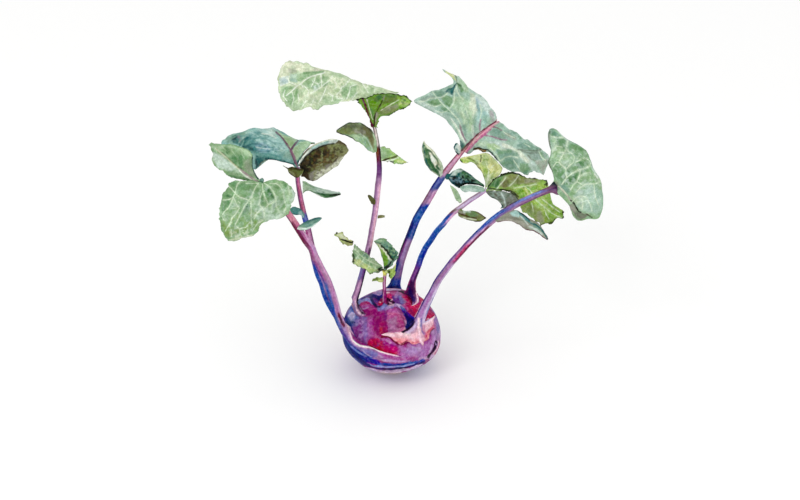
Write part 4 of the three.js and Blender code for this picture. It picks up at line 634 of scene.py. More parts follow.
# ------------------------------------------------------------------ bulb washes
BULB_WASHES = [
    ("A", "slate", "346,326 347,314 352,306 358,303 358,312 364,320 370,334 366,346 354,338", 8, 0.55),
    ("A", "purple", "352,326 359,320 366,324 364,341 357,341", 5, 0.75),
    ("A", "slate", "361,317 367,317 368,334 365,341 361,330", 2.4, 0.6),
    ("L", "purple", "360,318 361,328", 1.2, 2.6, 0.6), ("L", "orchid", "370,320 371,334", 1.4, 2.6, 0.5),
    ("A", "berry", "373,312 384,311 387,322 389,334 380,338 373,330", 4, 0.9),
    ("A", "crimson", "379,322 385,321 388,328 388,334 380,335", 3, 0.5),
    ("A", "scarlet", "379.6,327 384,326.6 388.6,332.6 384,335 380,333", 1.8, 0.85),
    ("L", "berry", "384,330 389,334", 0.8, 1.4, 0.7),
    ("A", "steel", "344,322 346,312 351,305 357,302 355,312 360,318 358,325 350,328", 4, 0.8),
    ("A", "peri", "349,311 354,309 355,315 358,318 352,321 348.6,317", 2.6, 0.75),
    ("L", "lilacpale", "351,319 353.6,314", 0.9, 2.2, 0.7), ("L", "cobalt", "350.6,306 352,309.6 354,311", 0.9, 1.6, 0.8),
    ("L", "navy", "352,321.6 354,322.6", 0.5, 1.2, 0.7),
    ("L", "cobaltdeep", "344.6,312 345.6,318 347,324", 1.1, 1.6, 0.9),
    ("L", "night", "346.6,322 349,329 352,335 356.4,340.6 361,344.2 366,346.2", 0.8, 1.1, 0.95),
    ("A", "purple", "352,331 357,330 360,339 356,340", 2.0, 0.6),
    # rounded swelling under the middle-left stalk
    ("A", "magenta", "358,303 366,300 373,302 377,309 375,315 366,317 360,314", 2.0, 0.95),
    ("L", "orchid", "359.6,307.4 366,305.6 371,306.4", 0.7, 1.4, 0.75), ("L", "lilac", "360,309.6 368,307.6", 0.3, 1.0, 0.6),
    ("L", "berry", "362,312 369,313 374,311.6", 1.5, 1.8, 0.85), ("L", "rasp", "361,304.4 368,303", 0.6, 1.2, 0.5),
    ("L", "peri", "357.6,304 360,301 363,299.4 367,298.8 370.6,300.4 373.4,303", 1.2, 1.0, 1.0),
    # the arched groove, filled with painted shade, and the crown
    ("A", "lilac", "371,294 377,290.6 382,290 384,292 383,295 379,296.4 374,294.6", 0.9, 0.9), ("L", "slate", "378,293 382,292.6", 0.7, 1.2, 0.6),
    ("A", "purple", "370,296 374,295.6 379.4,299 377.6,304 373.4,300", 1.2, 0.9),
    ("L", "navy", "359.6,297.4 362,296 366,295.2 370,295 373,295 376.4,296.4 379.6,297.4 382.6,295 383.6,291", 1.1, 0.9, 1.0),
    ("A", "ultra", "360,299 363,295.4 368,293.6 374,294 379,296 383,293.6 384.4,297 382,301 378.4,303 375,301.4 371.6,298 366,297.4 362,300", 0.9, 1.0),
    ("A", "navy", "366,294.6 372,294.6 378,297 381.6,297.4 380,300.6 376,300.6 372,297.6", 1.2, 0.9),
    ("L", "cobalt", "362.4,297.4 366,295.4 370,295.4", 0.4, 0.9, 0.7), ("L", "lilacpale", "361,296 365,293.2 370,291.8 375,291", 0.35, 0.7, 0.7),
    # painted shade under the crown, along the bottom of the groove
    ("L", "navy", "370.4,297.4 372.6,300.6 374.2,304 376.4,306.6 378.6,307.2 381,306 383,303 384.4,299", 1.0, 0.7, 1.0), ("L", "night", "374.6,304.6 376.6,306.8 379,307.2", 0.4, 0.7, 0.8),
    ("A", "crimson", "377.4,303.6 379,301 383,297.6 384.4,299.4 382.4,304 379.4,306", 0.9, 1.0),
    ("L", "rasp", "379.4,302.4 381.2,302.6", 0.6, 0.8, 1.0), ("L", "petal", "379.8,302.2 380.6,302.2", 0.2, 0.6, 0.7), ("L", "scarlet", "381,299.6 383,298.4", 0.5, 0.8, 0.8),
    ("A", "slate", "377,308 381,306.6 386,303.6 390,305.6 394,307 390,309 382,312 378,310.6", 1.8, 0.95), ("L", "peri", "382,308 385,304.6", 0.8, 1.6, 0.7),
    ("A", "rasp", "385.6,294 389,292.6 392.4,296 392.4,300 389,298.6 386.4,298", 1.2, 0.95), ("L", "petal", "386.4,293 389,292.4", 0.3, 0.8, 0.7),
    ("A", "pinkm", "389,290.6 400,290 404,293 397,297 391,294", 2.0, 0.8), ("L", "berry", "389,290.6 398,290.8 404,291.4", 0.4, 0.9, 0.8),
    ("A", "violet", "392.6,296 398,295 402,300 405,304.4 399,305.4 394,304", 1.8, 0.95), ("L", "lilac", "398,292 396,296", 0.8, 1.8, 0.6),
    ("A", "greymauve", "398,293 405,295.6 409,303 405,305.6 401.6,301", 2.2, 0.85), ("L", "slate", "400,297 402.6,302", 0.8, 1.6, 0.7),
    ("A", "crimson", "404,294 410,295.4 413.4,300.6 416,305 415.6,311 414,317 409,312 404.6,305.6 407,300", 1.8, 0.95),
    ("L", "rasp", "403,296.6 408,300", 0.9, 1.4, 0.85), ("L", "maroon", "408.4,297.4 411.4,300.6 412.4,303.6", 0.7, 1.2, 0.85), ("L", "pinkm", "404,305 408,309.6", 0.6, 1.2, 0.6),
    ("A", "crimson", "411,303.6 415,305.8 418.6,302.6 421,299 420,308 415,317 410,311", 1.2, 0.95), ("L", "rasp", "411,307 416,307 417.6,304.6", 0.7, 1.2, 0.8), ("L", "berry", "411,310 414.4,315.6", 0.8, 1.4, 0.7),
    # painted shadow under the foot of the right middle stalk
    ("L", "night", "399.6,291.2 404,292.4 408,294.6 411.6,298 414,302", 0.7, 0.9, 0.95),
    ("A", "crimson", "418.6,297 421.4,297 423.4,299.6 421,302.4 419,301.6", 0.9, 0.9), ("A", "lilac", "417,294.6 421,295.6 424,298 421,297.4", 0.8, 0.7),
    # painted highlight stroke in the crimson field
    ("L", "petal", "422.6,302 419,309.6 414.8,318", 0.35, 0.6, 0.8),
    # painted shade in the pit at the growing point
    ("L", "night", "387.4,298.6 387.2,302.4 389.4,305 393,304.6 394,302.4", 0.7, 0.7, 1.0),
    ("L", "night", "389,299.4 391,301 393.4,302.6", 0.8, 0.7, 0.95), ("L", "petal", "389.4,302.4 391.4,303.4", 0.2, 0.5, 0.7), ("L", "petal", "391,300.4 392.4,299.4", 0.2, 0.5, 0.6),
    ("L", "lilacpale", "386,290 392,289.2 400,289.6", 0.6, 1.0, 0.85),
    ("L", "night", "417,292.8 421,294.4 425,297 429,300", 0.6, 1.0, 0.95),
    # saddle, central dome and the cleft, dark with painted shade
    ("A", "pinkm", "388,309.6 396,308.4 402,312 406,321 405.6,329 399,333 392,333 388,326 386,316", 2.4, 0.9),
    ("A", "greymauve", "387,320 396,317 399,326 396,332 389,330", 3, 0.75), ("A", "magenta", "397,318 403,317 405,325 400,329 396,325", 2.4, 0.55),
    ("L", "orchid", "389,311 396,310.6 400,313", 0.9, 1.8, 0.6), ("L", "berry", "396,326 402,328.6", 0.4, 1.4, 0.5),
    ("L", "purple", "384.6,311 386,315 385.4,319.6", 0.9, 1.4, 0.85), ("A", "magenta", "377,311.6 384,310.4 384,316 379,317", 1.8, 0.6),
    # painted highlights along the top of the saddle
    ("L", "lilac", "386,308.6 391,305.6 396,304.6 400,306 403,309", 0.8, 1.2, 0.95),
    ("L", "petal", "389,305.4 393,304.8", 0.3, 0.8, 0.8), ("L", "lilacpale", "397,304.4 400.6,306.6", 0.4, 0.8, 0.8),
    ("L", "pinklilac", "405.6,321 406.2,326 404,330.6", 0.5, 1.0, 0.75),
    # painted shade in the cleft right of the central dome
    ("A", "ultra", "400,307.6 404,308.4 409,313.4 414.6,317.8 414,323 409.4,327.4 403.6,331.8 406,326 406,319.6 403.4,313", 0.8, 1.0),
    ("A", "navy", "404,312 409,315.6 414,319 412.4,324 408.8,327.8 403.6,331.8 406.8,326 406.6,320", 1.0, 0.95),
    ("L", "steel", "400.4,306.8 403.6,308.4 405.4,310.4", 0.5, 0.8, 0.8),
    ("L", "night", "413.6,321 411.4,325 407.8,329 403.4,331.6", 0.9, 0.9, 0.95),
    # front: red and orchid washes, crimson and maroon partly deepened as painted shade above the lip of the left foot,
    # the leaf scar, the blue under the sheath
    ("A", "crimson", "367,341.6 370,339 377,338.2 383,341.4 388,345.4 394,349.4 400.6,354.6 394,355 386,353 377,349.6 370,347 367,345", 1.5, 0.94),
    ("N", "purple", "367,337 380,338 390,345 384,349 370,345", 1.6, 0.7, 3.2, 0.8), ("N", "maroon", "366,340 378,341 386,347 376,349 367,345", 1.2, 0.35, 3.6, 1.0),
    ("A", "scarlet", "374,346.4 380,347.4 387,349.6 394,352 399.6,354.8 392,355 384,352.4 375,349.2", 0.9, 0.97),
    ("L", "maroon", "356,341.8 361,345 366,346.6 371,347.2 375,348.6 379,350.8", 0.6, 0.8, 0.9), ("L", "maroon", "389,353.4 394,354.6 398,354.6", 0.4, 0.8, 0.7),
    ("A", "orchid", "381,337.4 388,338 393,341.6 396,345 391,344.6 386,342 382,340", 1.8, 0.75), ("L", "magenta", "385,342.4 391,346.6 395,350", 1.2, 2.0, 0.7), ("L", "pinklilac", "386,340 390,342.6", 0.5, 1.2, 0.5),
    ("A", "rasp", "389,346 396,346 400,350 399,355 394,352.6", 2.0, 0.85), ("L", "crimson", "392,351 396,353", 0.8, 1.4, 0.6),
    ("A", "orchid", "400,346 414,345 428,340 436,334 437,348 428,357 410,361 396,361 378,357 384,354 396,357", 4, 0.8),
    ("A", "lilac", "404,348 416,347 424,350 414,354 406,353", 3, 0.55), ("L", "magenta", "398,356.6 404,358.6 412,357", 0.8, 1.8, 0.5),
    ("A", "pinkm", "404,354 420,353 412,359", 3, 0.5), ("L", "lilacpale", "413,347 420,349.6", 0.5, 1.8, 0.4),
    ("A", "magenta", "384,354.6 394,357 400,359 392,359.4 386,357.4", 1.6, 0.7), ("L", "lilacpale", "379,357 384,360 393,361", 0.5, 1.4, 0.6),
    # painted shadow lines under the toothed foot of the front stalk
    ("L", "maroon", "381.6,337 385,336.6 388.6,337 391.6,338.8 393.6,341", 0.6, 0.8, 1.0), ("L", "maroon", "394.8,342 398,344", 0.5, 0.7, 0.95), ("L", "maroon", "400.8,345.2 404,344.2 408,342.4", 0.5, 0.7, 0.95),
    ("A", "lilac", "430,322 437,318 440,334 438,347 432,340 430,332", 3, 0.8), ("A", "greymauve", "436,322 439.4,328 440,340 437,338", 1.6, 0.5), ("L", "pinkm", "434.6,320 435.6,328", 0.9, 1.8, 0.7),
    # painted shadow under the right arm of that foot
    ("L", "maroon", "433.6,328 430.8,330.4 429.2,334.6", 0.6, 0.8, 0.95),
    ("L", "lilacpale", "441,330 442,340 440.4,348 436,355 431,360", 1.3, 1.4, 0.8), ("L", "lilacpale", "420,359.6 427,357.4 431,355", 0.6, 1.4, 0.5),
    ("L", "rasp", "439.4,343 438,348 434.6,354.4", 0.25, 0.7, 0.6),
    ("A", "lilac", "376,359 386,362 398,363 412,361.6 408,360 392,360 382,356.6", 1.2, 0.8),
    ("L", "cobalt", "372,361.6 380,364 392,365.2 404,364.4 414,362.6 424,360.4", 1.0, 0.9, 0.95), ("L", "navy", "384,365.2 394,365.4 404,364.8", 0.4, 0.8, 0.6),
    ("A", "ultra", "345,338 352,344.6 360,348 366,352 374,357 380,362 380,365 366,363 354,356 346,346", 2.2, 0.9), ("A", "cobaltdeep", "352,349 362,354 372,360 376,364 364,361 354,356", 1.6, 0.75),
    ("L", "peri", "356,358.8 364,362.8 374,366 388,367.2 402,366.4 414,363.8", 0.5, 0.7, 0.95),
    ("L", "navy", "358,361.6 364,364.6 372,367.4 380,368.9 392,369 404,367.8 416,364.8 424,362", 0.7, 0.7, 1.0), ("L", "night", "384,369.2 398,368.8 408,367.4", 0.4, 0.6, 0.7),
    ("L", "lilacpale", "366,368.6 376,371 388,371.8 400,371 412,368.4 422,365", 0.9, 0.8, 0.85), ("L", "greymauve", "378,371 392,371 404,369.6", 0.3, 0.8, 0.6),
    ("L", "bone", "376,372.6 388,374 400,373.4", 0.7, 1.4, 0.6),
    ("A", "slate", "431.6,304 436,311 439.6,323 440,333 437.4,333 435,322 431.6,312", 1.4, 0.6), ("L", "steel", "430.6,302 434,307.6 437,315", 0.8, 1.2, 0.7), ("A", "lilac", "404,348 418,347 432,342 437,347 430,354 416,358 404,357", 4.0, 0.4),
    # more painted shade in the arched groove
    ("L", "navy", "362,297.6 367,295.2 373,295.6 378.4,298 381.6,297.6", 1.3, 0.9, 0.85), ("L", "purple", "374,299 377.4,301.6", 0.9, 1.2, 0.6),
    ("L", "cobaltdeep", "341,322 343,333 347,342 352,349.6 358,356 364,361.4", 2.0, 1.4, 0.95), ("L", "navy", "350,350 356,356.6 362,361.6 369,365.4", 0.9, 1.0, 0.9), ("L", "cobaltdeep", "341.6,334 344,343 347.6,351 352.6,358 357,362", 1.9, 1.0, 0.97), ("L", "slate", "354,359.6 360,365.4 367,370 374,372.6", 1.3, 1.0, 0.85), ("L", "lilacpale", "360,366.6 367,370.6 375,373.2", 0.5, 0.8, 0.6),
    ("L", "cobaltdeep", "348.6,320 350.2,328 352.8,336", 1.4, 1.4, 0.8), ("L", "lilacpale", "349,315.6 352,313", 0.5, 1.2, 0.8), ("L", "navy", "353.4,337 356,341 359.6,343.6", 0.9, 1.2, 0.6),
    ("N", "lilac", "352,322 362,318 370,324 368,336 358,338", 3.0, 0.5, 3.0, 0.4), ("N", "berry", "372,310 388,312 390,334 378,336", 3.0, 0.5, 3.0, 0.5), ("N", "lilac", "400,346 430,338 436,348 424,358 402,360", 3.0, 0.35, 3.0, 1.0),
    # painted shade inside the slit of the old leaf scar
    ("L", "night", "436,341.6 435.4,346 433,350.6 430,354.4 428.2,356.8", 0.9, 0.7, 1.0),
    ("A", "night", "434.6,342.6 437,342 437.2,345.4 434.4,349.6 432.6,350", 0.7, 1.0),
    ("L", "lilac", "435.4,342.8 436,344.4", 0.35, 0.5, 0.95), ("L", "lilacpale", "432,345.6 431,349 429.6,352", 0.3, 0.9, 0.5), ("L", "petal", "438.4,341 438.6,345 436.6,349.6 433.4,353.6", 0.25, 0.6, 0.85),
    # crimson hollow right of the front stalk
    ("A", "crimson", "425,322.6 427.6,315 429.6,309 433.6,312 435,316 430,321", 1.0, 1.0), ("A", "rasp", "427,317 431,315.6 431.6,318.6 427,320.6", 1.0, 0.7), ("L", "maroon", "425.4,322 429,320.8 433,317.6", 0.4, 0.8, 0.8), ("L", "petal", "426.8,319.4 428.4,318.6", 0.3, 0.6, 0.6),
    ("L", "berry", "429.6,309.6 432.6,312.4", 0.5, 1.0, 0.7),
    ("L", "peri", "430.6,303 433,306.6 435.6,310", 0.9, 1.0, 0.9), ("L", "cobalt", "430.8,303.6 431.8,306.4", 0.5, 0.7, 0.9),
]

# Stalk washes by height in the main view: (pigment, from y, to y, softness,
# from side, to side, strength); side runs from -1 at the left edge to 1.
# Besides the stalks' own colour bands, many of these are painted light and shade: pale lengthwise highlights and dark
# painted shade along the stalk edges.
STALK_BANDS = {
    "left_front_stalk": [
        ("rose", 205, 228, 3, -0.9, 2, 0.9), ("pinkm", 226, 330, 6, -2, 2, 0.6), ("pinklilac", 228, 340, 5, -0.1, 2, 0.75),
        ("wine", 222, 246, 3, -2, -0.05, 0.85), ("wine", 205, 245, 4, -2, -0.7, 0.9), ("magenta", 224, 240, 3, -0.1, 0.4, 0.6), ("plum", 244, 262, 4, -2, -0.45, 0.75),
        ("lilac", 244, 256, 3, 0.1, 0.8, 0.5), ("greymauve", 256, 345, 6, -0.25, 0.35, 0.65), ("violet", 252, 292, 5, 0.78, 2, 0.6), ("orchid", 286, 330, 8, 0.0, 0.7, 0.45),
        ("violet", 262, 290, 4, -2, -0.6, 0.85), ("steel", 282, 345, 6, -2, -0.2, 0.85), ("cobalt", 286, 350, 6, -2, -0.45, 0.85), ("cobaltdeep", 296, 350, 6, -2, -0.82, 0.8), ("lilacpale", 292, 330, 6, 0.72, 2, 0.6)],
    "left_back_stalk": [
        ("rose", 170, 214, 4, -0.1, 0.7, 0.75), ("rasp", 176, 212, 5, -0.5, 0.2, 0.45), ("plum", 165, 216, 4, -2, -0.5, 0.85),
        ("magenta", 184, 216, 5, 0.6, 2, 0.6), ("cobalt", 213, 227, 2.5, -2, 2, 0.9), ("cobaltdeep", 213, 227, 2.5, 0.4, 2, 0.7), ("peri", 214, 222, 2, -0.3, 0.3, 0.5),
        ("magenta", 227, 262, 5, -2, 2, 0.75), ("pinklilac", 228, 258, 5, -0.4, 0.4, 0.6), ("aubergine", 226, 275, 5, 0.5, 2, 0.75),
        ("violet", 255, 330, 8, -2, 2, 0.75), ("cobalt", 262, 335, 6, -2, 0.0, 0.9), ("lilac", 266, 294, 4, 0.0, 0.75, 0.85), ("night", 262, 300, 5, 0.8, 2, 0.7), ("slate", 292, 335, 6, 0.1, 0.8, 0.6)],
    "centre_left_stalk": [
        ("taupe", 112, 148, 2, -2, 2, 0.8), ("bone", 124, 148, 3, -0.3, 0.5, 0.95), ("plum", 112, 132, 4, -2, -0.2, 0.75),
        ("bark", 118, 147, 2, 0.74, 2, 0.6), ("chestnut", 147, 162, 1.2, -2, 0.2, 0.95), ("brown", 147, 178, 2, 0.2, 2, 0.95),
        ("wine", 158, 176, 3, -2, 0.3, 0.75), ("mauve", 168, 190, 6, -2, 2, 0.5), ("violet", 164, 182, 5, -2, 2, 0.5),
        ("pinklilac", 180, 258, 6, -0.3, 2, 0.85), ("blush", 186, 250, 6, 0.35, 0.85, 0.7), ("greymauve", 178, 256, 6, -2, -0.25, 0.8),
        ("plum", 176, 250, 8, -2, -0.82, 0.6), ("aubergine", 247, 257, 2, 0.0, 2, 0.85), ("slate", 256, 282, 4, -2, 0.1, 0.8),
        ("violet", 258, 284, 4, 0.1, 2, 0.75), ("greymauve", 280, 306, 4, -2, -0.3, 0.75), ("night", 262, 308, 4, 0.62, 2, 0.95), ("pinklilac", 280, 308, 4, -0.35, 0.5, 0.95),
        ("violet", 284, 308, 4, -2, -0.78, 0.8)],
    "young_stalk": [("sun", 262, 277.4, 1.4, -2, 2, 0.95), ("ink", 262, 270.6, 1.0, -2, 2, 0.9), ("moss", 272, 276.6, 1.0, 0.55, 2, 0.7), ("ink", 276.8, 278.6, 0.7, 0.1, 2, 0.85), ("ink", 276.8, 278.4, 0.7, -2, -0.5, 0.8),
                    ("magenta", 277, 306, 3, -2, 2, 0.95), ("berry", 282, 306, 4, 0.4, 2, 0.8), ("pinklilac", 277, 290, 3, -0.5, 0.3, 0.8),
                    ("maroon", 277, 306, 3, -2, -0.7, 0.7), ("maroon", 278, 300, 3, 0.75, 2, 0.6), ("pinklilac", 292, 302, 3, -0.9, -0.3, 0.6)],
    "back_stalk": [
        ("rose", 100, 176, 4, -2, 2, 0.85), ("wine", 100, 164, 4, -2, -0.55, 0.75), ("blush", 110, 168, 5, -0.15, 0.35, 0.65),
        ("magenta", 110, 164, 4, 0.6, 2, 0.6), ("pinklilac", 158, 178, 4, -0.4, 0.6, 0.9), ("plum", 158, 180, 3, -2, -0.55, 0.75), ("mauve", 160, 178, 3, 0.6, 2, 0.6),
        ("steel", 177, 191, 2.4, -2, 2, 0.95), ("cobaltdeep", 176, 192, 2.4, -2, -0.5, 0.9), ("cobaltdeep", 178, 190, 3, 0.45, 2, 0.5), ("peri", 181, 187, 2, -0.3, 0.2, 0.35),
        ("pinklilac", 191, 204, 2.4, 0.1, 2, 0.95), ("greymauve", 191, 204, 2.4, -2, 0.1, 0.9), ("wine", 190, 206, 3, -2, -0.7, 0.85), ("pinkm", 192, 204, 2.4, 0.7, 2, 0.6),
        ("cobalt", 204.6, 240, 2.6, -2, 2, 0.97), ("skyb", 208, 224, 3, -0.35, 0.0, 0.4), ("cobaltdeep", 205, 240, 3, -2, -0.62, 0.9), ("navy", 222, 246, 4, -2, -0.2, 0.85), ("slate", 224, 240, 3, 0.15, 0.5, 0.7), ("cobaltdeep", 224, 238, 3, 0.65, 2, 0.6),
        ("lilac", 240, 266, 3.4, -0.3, 0.6, 0.95), ("violet", 239, 266, 3.4, -0.75, -0.25, 0.85), ("greymauve", 240, 280, 3.4, 0.5, 2, 0.9), ("night", 238, 264, 3, -2, -0.66, 0.95), ("magenta", 240, 256, 4, -0.55, -0.25, 0.4),
        ("slate", 263, 279, 3.4, -0.4, 0.45, 0.85), ("violet", 266, 280, 3, 0.7, 2, 0.6), ("cobaltdeep", 262, 302, 3, -2, -0.35, 0.97),
        ("cobalt", 279, 302, 3, -0.45, 2, 0.9), ("ultra", 279, 302, 3, -0.3, 2, 0.5), ("peri", 281, 290, 3, 0.1, 0.4, 0.25)],
    "right_mid_stalk": [
        ("lilacpale", 180, 210, 3, -2, 2, 0.95), ("mauve", 180, 210, 3, -2, -0.5, 0.8), ("orchid", 180, 210, 3, 0.62, 2, 0.7),
        ("taupe", 207, 213, 1.5, -2, 2, 0.7), ("wine", 209, 216, 2, -2, -0.2, 0.8), ("pinklilac", 209, 227, 2.4, 0.1, 2, 0.95), ("cobalt", 214, 228, 2.4, -2, 0.1, 0.95), ("steel", 216, 226, 2, -2, -0.75, 0.7),
        ("cobalt", 225, 262, 2.6, -2, 2, 0.97), ("ultra", 238, 266, 4, 0.1, 2, 0.6), ("skyb", 222, 260, 4, -2, -0.85, 0.6), ("steel", 228, 244, 4, 0.5, 2, 0.4), ("skyb", 246, 256, 3, -0.4, -0.1, 0.3),
        ("ultra", 257, 269, 3, -2, 2, 0.75), ("slate", 258, 266, 3, -0.2, 0.4, 0.5),
        ("violet", 267, 284, 3.4, -2, 2, 0.9), ("orchid", 268, 282, 3, -0.4, 0.2, 0.5), ("pinkm", 266, 284, 3, -2, -0.8, 0.6), ("aubergine", 269, 286, 3, 0.35, 2, 0.85),
        ("aubergine", 280, 310, 3, -0.8, 0.62, 0.97), ("magenta", 280, 300, 3, -2, -0.7, 0.85), ("pinkm", 280, 296, 3, 0.72, 2, 0.85)],
    "right_front_stalk": [
        ("plum", 172, 194, 2, -2, 2, 0.9), ("aubergine", 172, 191, 2, -0.1, 2, 0.9), ("tealink", 170, 186, 2, -2, 0.3, 0.97), ("ink", 172, 182, 2, -2, 0.0, 0.7),
        ("greymauve", 190, 209, 2.6, -0.1, 2, 0.85), ("slate", 190, 209, 2.6, -0.7, 0.1, 0.85), ("plum", 188, 206, 3, 0.55, 2, 0.75), ("skyb", 192, 203, 2, -0.8, -0.25, 0.8),
        ("ink", 199, 209, 1.5, -2, -0.8, 0.85),
        ("cobalt", 209, 238, 3, -2, 0.05, 0.95), ("skyb", 211, 224, 2.5, -0.7, -0.35, 0.8), ("slate", 208, 232, 3, 0.0, 0.5, 0.85), ("greymauve", 208, 232, 3, 0.4, 2, 0.85), ("pinklilac", 210, 230, 3, 0.6, 0.95, 0.6),
        ("cobaltdeep", 230, 246, 3, -2, -0.55, 0.7), ("slate", 228, 246, 3, -0.6, -0.2, 0.7), ("lilac", 230, 246, 3, -0.3, 0.05, 0.9), ("pinklilac", 228, 248, 3, 0.0, 0.4, 0.95), ("wine", 226, 262, 3, 0.42, 2, 0.85),
        ("violet", 244, 264, 3, -2, -0.5, 0.7), ("greymauve", 244, 264, 3, -0.6, -0.1, 0.8), ("rasp", 244, 264, 3, -0.1, 0.6, 0.75), ("maroon", 244, 262, 3, 0.6, 0.95, 0.8), ("pinklilac", 246, 266, 3, 0.9, 2, 0.6),
        ("slate", 260, 290, 4, -2, -0.4, 0.75), ("violet", 258, 312, 4, -2, -0.5, 0.7), ("greymauve", 262, 292, 4, -0.5, 0.15, 0.9), ("greymauve", 262, 306, 4, 0.1, 0.7, 0.8), ("plum", 266, 300, 4, -0.5, -0.15, 0.5), ("orchid", 264, 290, 4, 0.15, 0.45, 0.5), ("lilacpale", 264, 300, 4, 0.7, 2, 0.6),
        ("lilac", 284, 326, 5, -0.6, 0.5, 0.75), ("orchid", 292, 318, 5, -0.3, 0.3, 0.5), ("lilacpale", 286, 330, 4, 0.42, 2, 0.9), ("navy", 266, 326, 5, -2, -0.76, 0.85),
        ("steel", 296, 316, 4, 0.84, 2, 0.85)],
}
